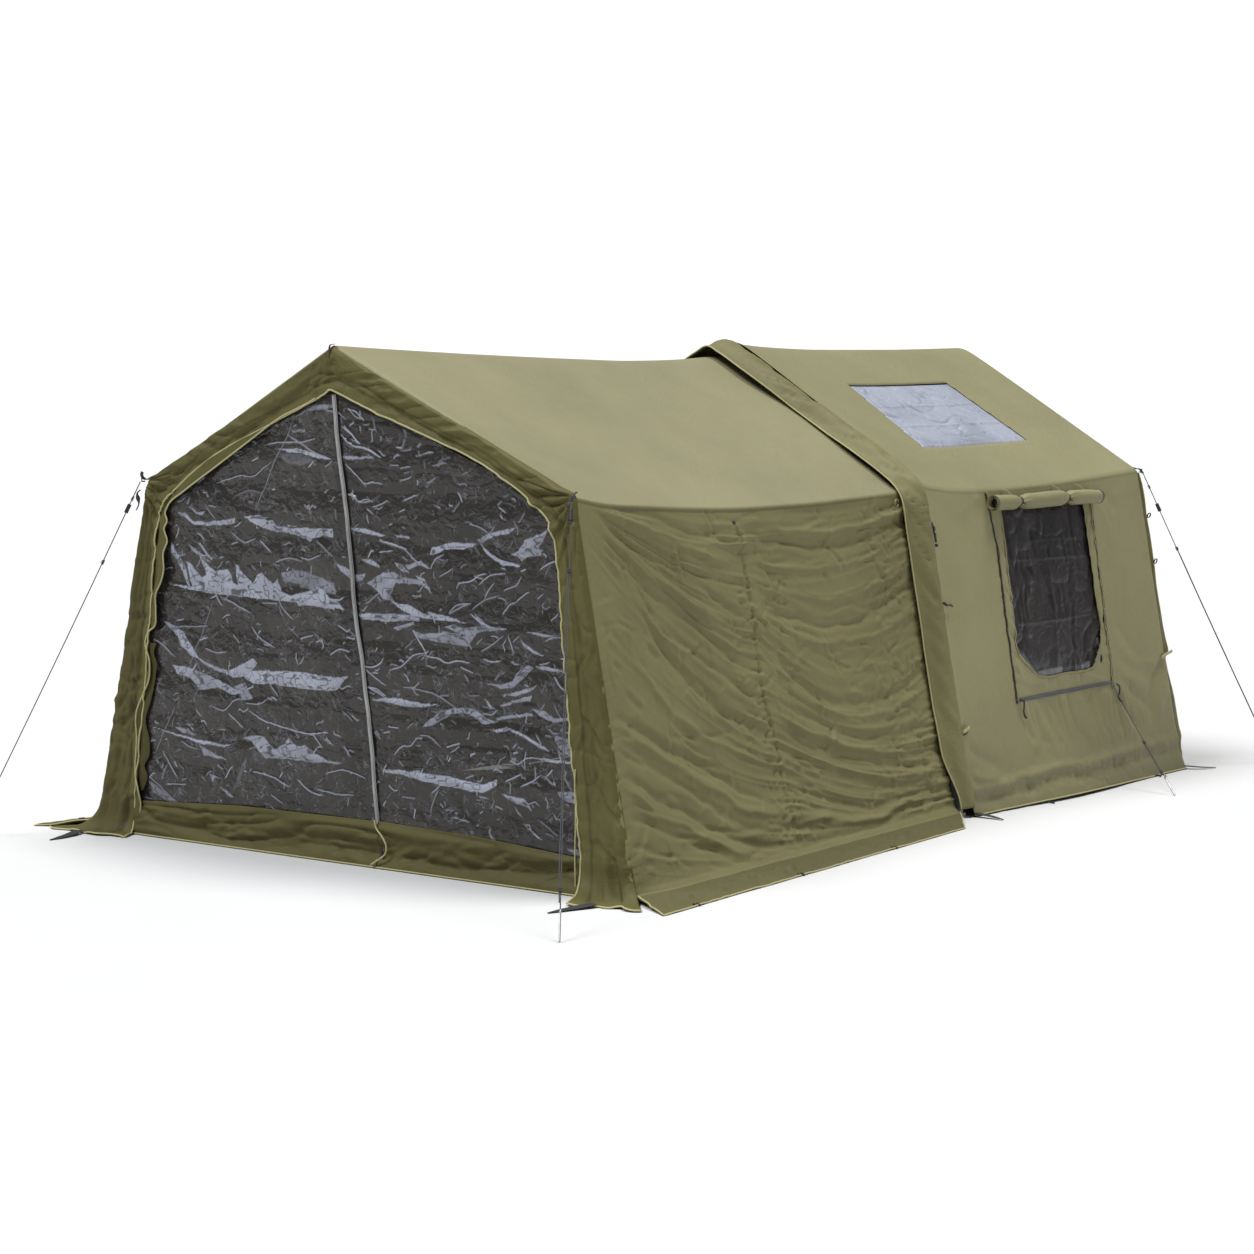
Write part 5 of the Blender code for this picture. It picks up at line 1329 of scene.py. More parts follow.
# feet of the border: the lowest hand's breadth kicks forward and trails on the ground, its inner corner furthest
foot_rows = []
for end in (0, -1):
    base = border_P[:, end]
    sgn = -1.0 if end == 0 else 1.0
    share = np.linspace(1.0, 0.0, NC)            # 1 at the outer edge, 0 at the jamb
    strip = []
    for j, t in enumerate(np.linspace(0, 1, 30)[1:]):
        z0 = base[:, 2]
        drop = z0 * (1 - smooth(min(1, t / 0.62)) ** 0.9) if t < 0.62 else 0 * z0
        go = smooth((t - 0.20) / 0.80)
        inner_by = (0.215, 0.105) if end else (0.125, -0.070)      # the left foot's inner corner lies nearer
        fwd = 0.015 * t + mix(inner_by[0], 0.150, smooth(share / 0.5)) * go
        side_ways = mix(inner_by[1], 0.155, share) * go + 0.034 * share * min(1.0, t / 0.5)
        wave = 0.016 * noise(base[:, 0] * 13.0, 0 * z0 + 0.9 * t, 121) * smooth(t / 0.5)
        bump = 0.022 * np.maximum(0, ridged(base[:, 0] * 15.0 + 0.8 * t, 0 * z0 + 1.2 * t, 123)) * smooth((t - 0.3) / 0.3) * (1 - 0.6 * t)
        strip.append(np.stack([base[:, 0] + sgn * (side_ways + 0.3 * wave), base[:, 1] - fwd - wave, np.maximum(drop, 0.004) + bump], -1))
    foot_rows.append(np.stack(strip, 1))
full = np.concatenate([foot_rows[0][:, ::-1], border_P, foot_rows[1]], 1)
b_tone = np.stack(b_tone)
b_tone = np.clip(np.concatenate([np.repeat(b_tone[:, :1], 29, 1), b_tone, np.repeat(b_tone[:, -1:], 29, 1)], 1), 0.0, 1.0)
gable_cloth = grid("gable_cloth", full, attrs={"tone": b_tone}, outward=(0, -1, 0.2), thickness=0.0016)
put(gable_cloth, CLOTH_FRONT, "tent", ["gable_border_left", "gable_border_right"])
pipe = tube("gable_piping", full[-1] + np.array([0, -0.002, 0]), 0.0048, 8)
put(pipe, PIPING, "tent")
for name, strip in (("left", full[:, 0]), ("right", full[:, -1])):
    put(tube(f"gable_hem_{name}", strip + np.array([0, -0.001, 0.002]), 0.0042, 8), PIPING, "tent")


# ================================================================ door leaves: film, sill and the halves of the middle zip
def zip_x(z):
    return ZIP_FOOT_X - ZIP_TAPER * z


def jamb_x(z):
    return JAMB_FOOT_X - JAMB_TAPER * z


def far_x(z):
    """The leaf's outer edge at height z."""
    zs = [0.0, 1.0, JAMB_TOP_Z, 1.644, 1.708, 1.842, 2.021, 2.182]
    xs = [jamb_x(0) - DOOR_GAP, jamb_x(1.0) - DOOR_GAP, jamb_x(JAMB_TOP_Z) - DOOR_GAP, 1.199, 1.119, 0.900, 0.447, 0.022]
    return np.interp(z, zs, xs)


def film_foot(x):
    """Height of the film's lower edge: it hangs higher in the middle."""
    return np.interp(x, [-1.42, -0.7, 0.24, 0.83, 1.44], [0.160, 0.200, 0.212, 0.198, 0.160])


# facets of the creased film, their reflection of the light painted into the film's colour as bright patches: region,
# outline, strength
FACETS = [
    (UL, [(210, 1293), (330, 1308), (316, 1240), (300, 1180), (330, 1200), (372, 1262), (400, 1250), (368, 1150), (400, 1190), (452, 1232),
          (520, 1222), (548, 1290), (565, 1300), (556, 1205), (592, 1238), (640, 1292), (668, 1250), (690, 1240), (742, 1292), (772, 1268),
          (792, 1330), (842, 1352), (925, 1330), (990, 1308), (1050, 1368), (1082, 1382), (1112, 1418), (1040, 1402), (900, 1385), (780, 1374),
          (640, 1360), (540, 1352), (450, 1342), (330, 1326)], 0.85),
    (UL, [(790, 1240), (860, 1225), (930, 1240), (1000, 1262), (1060, 1300), (1030, 1330), (940, 1300), (860, 1290), (800, 1280)], 0.50),
    (UL, [(600, 965), (690, 958), (722, 984), (748, 984), (772, 1010), (860, 1020), (960, 1018), (1064, 1022), (1062, 1064), (1010, 1055),
          (960, 1070), (920, 1060), (870, 1052), (840, 1045), (760, 1035), (690, 1015), (640, 992)], 0.88),
    (UL, [(880, 1056), (960, 1066), (950, 1088), (915, 1070)], 0.60),
    (UL, [(258, 945), (300, 950), (332, 984), (402, 990), (470, 985), (556, 970), (550, 996), (480, 1006), (400, 1008), (338, 998)], 0.80),
    (UL, [(310, 912), (350, 938), (398, 940), (385, 958), (345, 945)], 0.62),
    (UL, [(768, 628), (900, 630), (960, 648), (1058, 676), (1060, 684), (980, 672), (900, 650), (840, 645)], 0.90),
    (UL, [(790, 650), (900, 655), (990, 686), (900, 712), (840, 700), (800, 680)], 0.22),
    (UL, [(224, 1092), (272, 1160), (292, 1204), (322, 1312), (300, 1290), (262, 1200), (222, 1130)], 0.72),
    (UL, [(310, 1098), (352, 1120), (400, 1172), (438, 1186), (402, 1180), (350, 1140)], 0.66),
    (UL, [(356, 1088), (372, 1092), (440, 1172), (428, 1176)], 0.80),
    (UL, [(555, 1196), (568, 1200), (600, 1286), (588, 1290)], 0.78),
    (UL, [(1088, 1196), (1120, 1220), (1136, 1240), (1100, 1230)], 0.80),
    (UL, [(1140, 1018), (1200, 1021), (1262, 1040), (1300, 1062), (1256, 1054), (1180, 1036)], 0.85),
    (UL, [(180, 1470), (250, 1500), (300, 1568), (270, 1568), (230, 1520)], 0.60),
    (UL, [(870, 480), (940, 420), (1030, 412), (1060, 440), (980, 440), (930, 455)], 0.34),
    (UL, [(850, 540), (930, 536), (925, 548), (862, 552)], 0.62),
    (LL, [(330, 318), (382, 350), (440, 438), (470, 490), (430, 468), (382, 420), (360, 380)], 0.80),
    (LL, [(440, 470), (520, 510), (600, 540), (640, 575), (560, 545), (500, 515)], 0.75),
    (LL, [(610, 545), (680, 515), (738, 483), (760, 508), (730, 545), (880, 545), (960, 546), (1060, 560), (1180, 575), (1225, 565),
          (1160, 640), (1040, 635), (860, 612), (740, 605), (690, 570), (640, 575)], 0.85),
    (LL, [(330, 515), (420, 530), (540, 580), (640, 630), (702, 655), (640, 662), (560, 625), (480, 642), (420, 580), (360, 560)], 0.72),
    (LL, [(640, 620), (700, 600), (722, 650), (740, 680), (690, 682)], 0.62),
    (LL, [(220, 812), (300, 838), (460, 880), (600, 906), (640, 906), (600, 917), (480, 900), (350, 858)], 0.82),
    (LL, [(350, 815), (420, 830), (462, 862), (400, 850)], 0.60),
    (LL, [(470, 900), (520, 930), (600, 975), (612, 986), (540, 965), (500, 960)], 0.66),
    (LL, [(690, 875), (740, 860), (790, 865), (820, 900), (850, 930), (905, 900), (920, 870), (960, 910), (1000, 905), (1060, 950),
          (1120, 985), (1190, 990), (1182, 1000), (1040, 990), (900, 975), (800, 970), (770, 930), (740, 890)], 0.74),
    (LL, [(225, 1080), (290, 1130), (372, 1190), (330, 1186), (240, 1140)], 0.50),
    (LL, [(525, 1045), (600, 1080), (560, 1070), (540, 1090)], 0.62),
    (LL, [(580, 1110), (612, 1130), (650, 1165), (620, 1155)], 0.62),
    (LL, [(1240, 260), (1560, 270), (1560, 302), (1500, 296), (1400, 290), (1300, 280)], 0.72),
    (LL, [(1340, 680), (1440, 675), (1568, 700), (1568, 724), (1480, 715), (1430, 700)], 0.80),
    (LL, [(1380, 1030), (1568, 1035), (1568, 1062), (1440, 1046)], 0.82),
    (LL, [(640, 1140), (690, 990), (700, 985), (672, 1110)], 0.18),
    (UR, [(265, 1018), (330, 1020), (400, 1045), (440, 1062), (380, 1052), (300, 1034)], 0.80),
    (UR, [(472, 1056), (540, 1058), (540, 1071), (480, 1068)], 0.72),
    (UR, [(305, 1168), (360, 1172), (400, 1200), (406, 1216), (350, 1195)], 0.72),
    (UR, [(470, 1185), (512, 1200), (542, 1245), (500, 1226)], 0.74),
    (UR, [(525, 1205), (590, 1180), (620, 1200), (636, 1223), (590, 1200), (540, 1226)], 0.70),
    (UR, [(638, 1118), (700, 1100), (760, 1092), (852, 1100), (830, 1113), (780, 1125), (700, 1128), (650, 1150), (632, 1150)], 0.85),
    (UR, [(850, 1086), (900, 1050), (960, 1035), (1032, 1020), (1000, 1050), (930, 1060), (880, 1095)], 0.74),
    (UR, [(858, 1086), (880, 1108), (920, 1148), (1000, 1193), (1056, 1204), (1050, 1215), (980, 1205), (900, 1150)], 0.82),
    (UR, [(1008, 1152), (1050, 1130), (1080, 1080), (1130, 1060), (1182, 1028), (1160, 1090), (1140, 1112), (1150, 1156), (1090, 1165),
          (1060, 1186), (1040, 1160)], 0.66),
    (UR, [(190, 1190), (240, 1210), (270, 1250), (330, 1240), (322, 1276), (270, 1282), (230, 1240)], 0.70),
    (UR, [(340, 1290), (380, 1260), (410, 1235), (470, 1232), (500, 1260), (600, 1280), (592, 1300), (520, 1290), (470, 1290), (440, 1350),
          (460, 1380), (410, 1370), (380, 1320)], 0.66),
    (UR, [(568, 1252), (610, 1270), (644, 1342), (610, 1310)], 0.78),
    (UR, [(288, 1440), (400, 1437), (560, 1455), (572, 1470), (440, 1472), (330, 1470)], 0.82),
    (UR, [(440, 1380), (540, 1400), (600, 1440), (640, 1445), (720, 1460), (812, 1486), (760, 1480), (660, 1470), (600, 1462), (520, 1420)], 0.82),
    (UR, [(458, 1506), (552, 1480), (562, 1492), (490, 1513)], 0.66),
    (UR, [(550, 1520), (600, 1540), (700, 1530), (782, 1540), (760, 1566), (640, 1568), (580, 1560)], 0.62),
    (UR, [(840, 1440), (880, 1470), (900, 1500), (1000, 1515), (960, 1523), (880, 1506)], 0.74),
    (UR, [(0, 1375), (100, 1390), (190, 1405), (182, 1416), (60, 1400), (0, 1396)], 0.80),
    (UR, [(0, 1232), (60, 1260), (180, 1290), (190, 1340), (100, 1330), (0, 1310)], 0.42),
    (UR, [(205, 665), (370, 668), (372, 678), (260, 684)], 0.80),
    (UR, [(62, 428), (150, 412), (230, 420), (160, 436)], 0.55),
    (UR, [(335, 510), (362, 508), (360, 518), (322, 516)], 0.62),
    (UR, [(566, 662), (650, 645), (648, 654), (572, 668)], 0.75),
    (LR, [(15, 64), (150, 70), (256, 85), (250, 99), (150, 103), (20, 90)], 0.80),
    (LR, [(155, 5), (220, 30), (270, 60), (312, 86), (260, 76), (200, 50)], 0.80),
    (LR, [(320, 55), (400, 75), (502, 106), (420, 96), (340, 80)], 0.80),
    (LR, [(165, 140), (240, 112), (265, 108), (250, 126), (190, 146)], 0.60),
    (LR, [(275, 160), (330, 170), (400, 160), (430, 190), (500, 180), (560, 160), (540, 200), (510, 226), (440, 216), (370, 205), (300, 190)], 0.56),
    (LR, [(400, 130), (450, 120), (500, 140), (600, 130), (702, 149), (600, 153), (520, 180), (470, 160)], 0.62),
    (LR, [(758, 184), (790, 220), (872, 276), (830, 266), (790, 240)], 0.76),
    (LR, [(800, 160), (860, 165), (970, 190), (930, 191), (850, 178)], 0.70),
    (LR, [(600, 408), (680, 415), (730, 400), (760, 350), (800, 320), (830, 335), (790, 385), (740, 430), (680, 436)], 0.58),
    (LR, [(830, 325), (900, 330), (982, 349), (940, 353), (860, 343)], 0.78),
    (LR, [(675, 465), (740, 455), (830, 430), (860, 415), (820, 450), (750, 471)], 0.72),
    (LR, [(665, 521), (720, 500), (770, 485), (830, 470), (820, 500), (760, 501), (700, 523)], 0.62),
    (LR, [(65, 488), (120, 478), (220, 490), (280, 508), (372, 516), (300, 529), (200, 518), (130, 500)], 0.85),
    (LR, [(300, 625), (340, 580), (400, 540), (450, 530), (520, 535), (560, 540), (600, 580), (660, 600), (590, 611), (540, 570),
          (500, 555), (440, 560), (380, 600), (330, 621)], 0.64),
    (LR, [(585, 485), (600, 495), (652, 541), (620, 530)], 0.78),
    (LR, [(820, 535), (880, 545), (930, 580), (1030, 580), (1030, 591), (930, 601), (860, 570)], 0.64),
    (LR, [(650, 578), (730, 565), (820, 557), (830, 570), (740, 579), (660, 591)], 0.62),
    (LR, [(640, 640), (710, 625), (790, 660), (860, 705), (916, 746), (880, 736), (800, 680), (720, 640), (660, 651)], 0.82),
    (LR, [(940, 670), (1000, 680), (1045, 700), (1045, 781), (990, 760), (950, 720)], 0.52),
    (LR, [(830, 778), (920, 780), (1050, 800), (1040, 809), (920, 796)], 0.82),
    (LR, [(108, 827), (200, 834), (300, 845), (420, 864), (500, 889), (600, 904), (660, 880), (662, 911), (590, 946), (500, 930),
          (420, 913), (300, 886), (200, 856)], 0.92),
    (LR, [(690, 950), (740, 965), (800, 980), (832, 1036), (780, 1010), (720, 980)], 0.74),
    (LR, [(740, 1010), (790, 1076), (760, 1050)], 0.62),
    (LR, [(955, 940), (1048, 945), (1045, 1001), (1000, 990), (970, 965)], 0.55),
    (LR, [(785, 1100), (882, 1175), (860, 1166), (800, 1116)], 0.86),
    (LR, [(1003, 1220), (1060, 1225), (1106, 1266), (1060, 1250)], 0.55),
]
# single creases with a painted glint along them: region, points, strength
CREASES = [
    (UL, [(835, 565), (900, 600), (960, 640), (1060, 680)], 0.75),
    (UL, [(715, 610), (780, 600), (860, 600), (920, 596), (985, 578)], 0.65),
    (UL, [(455, 800), (520, 780), (590, 762), (640, 770), (700, 730), (745, 700)], 0.55),
    (UL, [(560, 860), (640, 835), (700, 850)], 0.3),
    (UL, [(450, 1340), (492, 1402)], 0.8),
    (UL, [(500, 1362), (570, 1402), (632, 1437)], 0.7),
    (UL, [(780, 1350), (790, 1390), (852, 1468)], 0.6),
    (UL, [(690, 1386), (780, 1388)], 0.55),
    (UL, [(532, 1042), (600, 1090), (660, 1070)], 0.6),
    (UL, [(684, 1080), (742, 1138)], 0.8),
    (UL, [(760, 1190), (830, 1165), (900, 1180)], 0.6),
    (UL, [(890, 1160), (940, 1172), (1000, 1150)], 0.6),
    (UL, [(1115, 515), (1170, 570), (1200, 605)], 0.8),
    (UL, [(1110, 560), (1160, 610), (1220, 625), (1290, 672)], 0.75),
    (UL, [(1130, 705), (1180, 755), (1222, 805), (1245, 795), (1290, 800)], 0.75),
    (UL, [(1130, 855), (1160, 860), (1190, 890), (1250, 885)], 0.65),
    (UL, [(1145, 435), (1190, 450), (1215, 490), (1195, 460)], 0.7),
    (UL, [(980, 1080), (1060, 1158)], 0.5),
    (UL, [(1270, 1078), (1350, 1100), (1410, 1125)], 0.75),
    (UL, [(880, 440), (835, 560), (760, 700), (700, 840), (660, 930)], 0.40),
    (LL, [(540, 200), (480, 370), (420, 520)], 0.30),
    (LL, [(350, 720), (310, 820), (255, 950)], 0.30),
    (LL, [(640, 365), (676, 408)], 0.6),
    (LL, [(735, 330), (780, 385), (850, 430)], 0.7),
    (LL, [(350, 328), (430, 328), (510, 326)], 0.5),
    (LL, [(500, 435), (560, 455), (610, 452)], 0.6),
    (LL, [(985, 385), (1045, 370)], 0.7),
    (LL, [(1140, 465), (1190, 435), (1235, 450)], 0.7),
    (LL, [(720, 738), (790, 785), (880, 815), (1025, 852), (1120, 845)], 0.85),
    (LL, [(620, 752), (690, 825)], 0.75),
    (LL, [(455, 735), (480, 768)], 0.7),
    (LL, [(700, 700), (780, 705), (815, 682)], 0.6),
    (LL, [(530, 715), (600, 736), (650, 690), (730, 680)], 0.6),
    (LL, [(1045, 850), (1090, 915)], 0.75),
    (LL, [(1110, 868), (1145, 908)], 0.75),
    (LL, [(1198, 908), (1232, 962)], 0.6),
    (LL, [(1200, 742), (1245, 790)], 0.45),
    (LL, [(740, 1035), (830, 1060), (925, 1115)], 0.8),
    (LL, [(960, 1075), (1050, 1145), (1100, 1155)], 0.8),
    (LL, [(1050, 1120), (1150, 1145), (1245, 1153)], 0.65),
    (LL, [(830, 1150), (890, 1195)], 0.6),
    (LL, [(290, 940), (340, 1020), (370, 1075)], 0.7),
    (LL, [(230, 1060), (290, 1120), (350, 1180)], 0.6),
    (LL, [(310, 1100), (420, 1100)], 0.7),
    (LL, [(1105, 1048), (1200, 1030), (1260, 1050), (1300, 1072)], 0.7),
    (LL, [(340, 300), (420, 440), (480, 560), (440, 700)], 0.22),
    (LL, [(820, 540), (830, 610), (870, 668)], 0.65),
    (LL, [(240, 390), (290, 420), (345, 475)], 0.7),
    (LL, [(1320, 620), (1400, 672)], 0.8),
    (UR, [(245, 515), (290, 570), (320, 605)], 0.8),
    (UR, [(232, 562), (280, 612), (340, 630), (410, 675)], 0.75),
    (UR, [(250, 705), (300, 758), (342, 805), (365, 795), (410, 802)], 0.78),
    (UR, [(250, 855), (280, 855), (305, 888), (345, 878), (370, 890)], 0.7),
    (UR, [(365, 915), (400, 905), (440, 885)], 0.7),
    (UR, [(510, 890), (545, 870), (578, 858)], 0.75),
    (UR, [(500, 788), (540, 775), (552, 765)], 0.7),
    (UR, [(492, 940), (520, 928)], 0.7),
    (UR, [(620, 800), (640, 790), (668, 770)], 0.65),
    (UR, [(455, 712), (500, 710)], 0.6),
    (UR, [(500, 728), (545, 718)], 0.6),
    (UR, [(650, 716), (690, 705), (720, 700)], 0.55),
    (UR, [(395, 1080), (450, 1100), (520, 1125), (560, 1172), (600, 1200)], 0.7),
    (UR, [(400, 1138), (465, 1132)], 0.65),
    (UR, [(820, 1000), (860, 1012), (910, 1045)], 0.6),
    (UR, [(640, 1222), (660, 1175), (700, 1150)], 0.65),
    (UR, [(680, 1258), (740, 1220)], 0.6),
    (UR, [(770, 1290), (830, 1280), (870, 1250), (905, 1245)], 0.75),
    (UR, [(860, 1300), (930, 1250), (990, 1245)], 0.65),
    (UR, [(885, 1370), (920, 1310), (940, 1290)], 0.6),
    (UR, [(980, 1330), (1050, 1290), (1062, 1262)], 0.6),
    (UR, [(1060, 1235), (1085, 1222)], 0.75),
    (UR, [(975, 1450), (1010, 1395), (1040, 1385)], 0.6),
    (UR, [(1040, 1380), (1080, 1350), (1105, 1335)], 0.65),
    (UR, [(830, 1420), (880, 1380), (955, 1352)], 0.5),
    (UR, [(720, 1440), (760, 1400), (822, 1392)], 0.6),
    (UR, [(330, 1392), (380, 1350), (400, 1330)], 0.5),
    (UR, [(1150, 1225), (1200, 1190), (1232, 1182)], 0.75),
    (UR, [(1205, 1480), (1240, 1440)], 0.6),
    (UR, [(1140, 1370), (1168, 1345)], 0.6),
    (UR, [(160, 440), (230, 462), (250, 482)], 0.6),
    (UR, [(270, 432), (300, 470), (322, 482), (320, 440)], 0.6),
    (LR, [(20, 322), (60, 328), (110, 310), (125, 282)], 0.85),
    (LR, [(40, 340), (100, 395), (130, 420)], 0.7),
    (LR, [(150, 345), (210, 322), (270, 268), (320, 262)], 0.75),
    (LR, [(262, 150), (290, 210), (318, 262)], 0.85),
    (LR, [(320, 275), (380, 290), (420, 310), (470, 300), (530, 312)], 0.85),
    (LR, [(480, 330), (540, 358)], 0.7),
    (LR, [(585, 290), (630, 305), (678, 300)], 0.8),
    (LR, [(530, 70), (580, 110), (640, 140)], 0.8),
    (LR, [(430, 70), (480, 40), (525, 20)], 0.55),
    (LR, [(575, 255), (640, 215), (690, 178)], 0.55),
    (LR, [(710, 180), (735, 265)], 0.65),
    (LR, [(930, 380), (960, 425), (995, 460)], 0.85),
    (LR, [(35, 425), (70, 430), (130, 470)], 0.75),
    (LR, [(200, 422), (290, 440), (390, 478), (460, 530)], 0.55),
    (LR, [(140, 618), (195, 630)], 0.8),
    (LR, [(520, 470), (570, 470)], 0.35),
    (LR, [(165, 760), (200, 720), (250, 710), (272, 682)], 0.7),
    (LR, [(285, 665), (330, 668), (390, 722)], 0.55),
    (LR, [(420, 720), (485, 705)], 0.75),
    (LR, [(725, 790), (760, 808), (800, 780), (850, 778)], 0.7),
    (LR, [(705, 892), (780, 856)], 0.8),
    (LR, [(780, 915), (830, 895), (872, 864)], 0.75),
    (LR, [(900, 868), (930, 835)], 0.75),
    (LR, [(890, 865), (910, 890), (940, 910)], 0.55),
    (LR, [(660, 1012), (690, 1028)], 0.8),
    (LR, [(860, 1080), (900, 1110), (960, 1160)], 0.35),
    (LR, [(340, 1045), (365, 960), (382, 930)], 0.5),
    (LR, [(140, 905), (170, 935), (185, 930)], 0.75),
    (LR, [(200, 965), (270, 975)], 0.45),
    (LR, [(590, 560), (640, 560), (660, 540)], 0.6),
    (LR, [(730, 210), (760, 180)], 0.5),
]


def squiggles(X, Z, seed, count, spans):
    """Short random creases of the film: their relief and their painted glints."""
    rng = RNG(seed)
    h, glint_and_haze = np.zeros(X.shape), np.zeros(X.shape)
    (x0, x1), (z0, z1) = spans
    for _ in range(count):
        x, z = rng.uniform(x0, x1), rng.uniform(z0, z1)
        length = rng.uniform(0.02, 0.085) * (1.7 if rng.random() < 0.12 else 1.0)
        kind = rng.random()
        ang = rng.normal(0.35, 0.25) if kind < 0.45 else (rng.normal(-0.40, 0.30) if kind < 0.8 else rng.uniform(0.9, 2.2))
        pts = [(x, z)]
        steps = rng.integers(2, 5)
        for k in range(steps):
            bend = ang + (rng.choice((-1, 1)) * rng.uniform(0.2, 0.75) if steps > 2 else rng.normal(0, 0.2))
            pts.append((pts[-1][0] + length / steps * math.cos(bend), pts[-1][1] + length / steps * math.sin(bend)))
        w = rng.uniform(0.0022, 0.0040)
        power = rng.uniform(0.12, 0.85) ** 1.3
        pts = np.array(pts)
        lo, hi = pts.min(0) - 6 * w, pts.max(0) + 6 * w
        m = (X > lo[0]) & (X < hi[0]) & (Z > lo[1]) & (Z < hi[1])
        if not m.any():
            continue
        d, side, u = to_line(X[m], Z[m], pts)
        ends = smooth(u / 0.25) * smooth((1 - u) / 0.25)
        h[m] += rng.choice((-1, 1)) * 0.0022 * np.exp(-(d / (1.8 * w)) ** 2) * ends
        glint_and_haze[m] = np.maximum(glint_and_haze[m], power * np.exp(-(d / (w * (0.5 + 0.5 * ends))) ** 4) * ends)
        # the painted glint is cut back on the far side of the crease, a painted shade
        dark = np.exp(-((d - 2.2 * w) / (1.0 * w)) ** 2) * (side > 0) * ends
        glint_and_haze[m] = glint_and_haze[m] * (1 - 0.7 * dark)
    return h, glint_and_haze


def leaf_grid(side, step=0.0044):
    """(x, z) grids over one leaf's film, from the zip's edge to the outer edge."""
    z_top = 2.176
    nz = int((z_top - 0.16) / step)
    nx = int(1.42 / step) if side > 0 else int(1.64 / step)
    v = np.linspace(0, 1, nz)
    u = np.linspace(0, 1, nx)
    # rows follow the sagging lower edge and gather to the apex
    X, Z = np.zeros((nz, nx)), np.zeros((nz, nx))
    for j in range(4):
        near = side * (zip_x(Z) * side + 0.003)
        far = side * far_x(np.clip(Z, 0, 2.182))
        X = mix(near, far, u[None])
        low = film_foot(X) - 0.012
        Z = mix(low, z_top, v[:, None])
    return X, Z


def film_shape(X, Z, seed):
    """Relief of the film towards the viewer, and its painted glints."""
    # the sheet was packed folded: it breaks at level lines into flat facets
    level = Z * 1.0 + 0.010 * noise(X * 1.6, 0 * X, 131) + 0.02 * X
    tri = np.abs(((level / 0.232) % 1.0) - 0.5) * 2
    h = 0.006 * (tri - 0.5) + 0.009 * fbm(X * 1.4, Z * 2.4, 133)
    h = h + 0.0032 * ridged(X * 5.0 + noise(X * 3, Z * 3, 7), Z * 9.0, 135) + 0.0016 * fbm(X * 22, Z * 22, 137)
    glint_and_haze = np.zeros(X.shape)
    wx = X + 0.0035 * noise(X * 55, Z * 55, 171) + 0.0060 * noise(X * 22, Z * 22, 172)
    wz = Z + 0.0020 * noise(X * 55, Z * 55, 173) + 0.0030 * noise(X * 22, Z * 22, 174)
    cracks = np.abs(noise(X * 30 + 1.8 * noise(X * 12, Z * 12, 175), Z * 42, 176))
    cuts = np.abs(noise(X * 17 + Z * 12 + 1.2 * noise(X * 9, Z * 9, 177), Z * 26 - X * 8, 178))
    broken = smooth((cracks - 0.05) / 0.10) * smooth((cuts - 0.03) / 0.07)
    tone = 0.84 + 0.16 * noise(X * 12, Z * 30, 179)
    for where, points, power in FACETS:
        out = on_gable(*where, points)
        lo, hi = out.min(0) - 0.02, out.max(0) + 0.02
        m = (X > lo[0]) & (X < hi[0]) & (Z > lo[1]) & (Z < hi[1])
        if not m.any():
            continue
        hit = inside(wx[m], wz[m], out)
        closed = np.concatenate([out, out[:1]])
        d, _, _ = to_line(wx[m], wz[m], closed)
        mask = np.where(hit, smooth(d / 0.0035 + 0.55), smooth(0.45 - d / 0.0040))
        inner = np.where(d > 0.006, broken[m], 0.5 + 0.5 * broken[m])
        glint_and_haze[m] = np.maximum(glint_and_haze[m], power * mask * (0.22 + 0.78 * inner) * tone[m])
        h[m] += 0.0035 * mask * smooth(d / 0.02)
    for where, points, power in CREASES:
        line = refine(on_gable(*where, points), 14)
        w = 0.0030
        lo, hi = line.min(0) - 5 * w, line.max(0) + 5 * w
        m = (wx > lo[0]) & (wx < hi[0]) & (wz > lo[1]) & (wz < hi[1])
        if not m.any():
            continue
        d, side, u = to_line(mix(X, wx, 0.5)[m], mix(Z, wz, 0.5)[m], line)
        ends = smooth(u / 0.15) * smooth((1 - u) / 0.15)
        glint_and_haze[m] = np.maximum(glint_and_haze[m], power * np.exp(-(d / (w * (0.45 + 0.55 * ends))) ** 4))
        h[m] += 0.0030 * np.exp(-(d / (1.6 * w)) ** 2) * ends
    return h, glint_and_haze


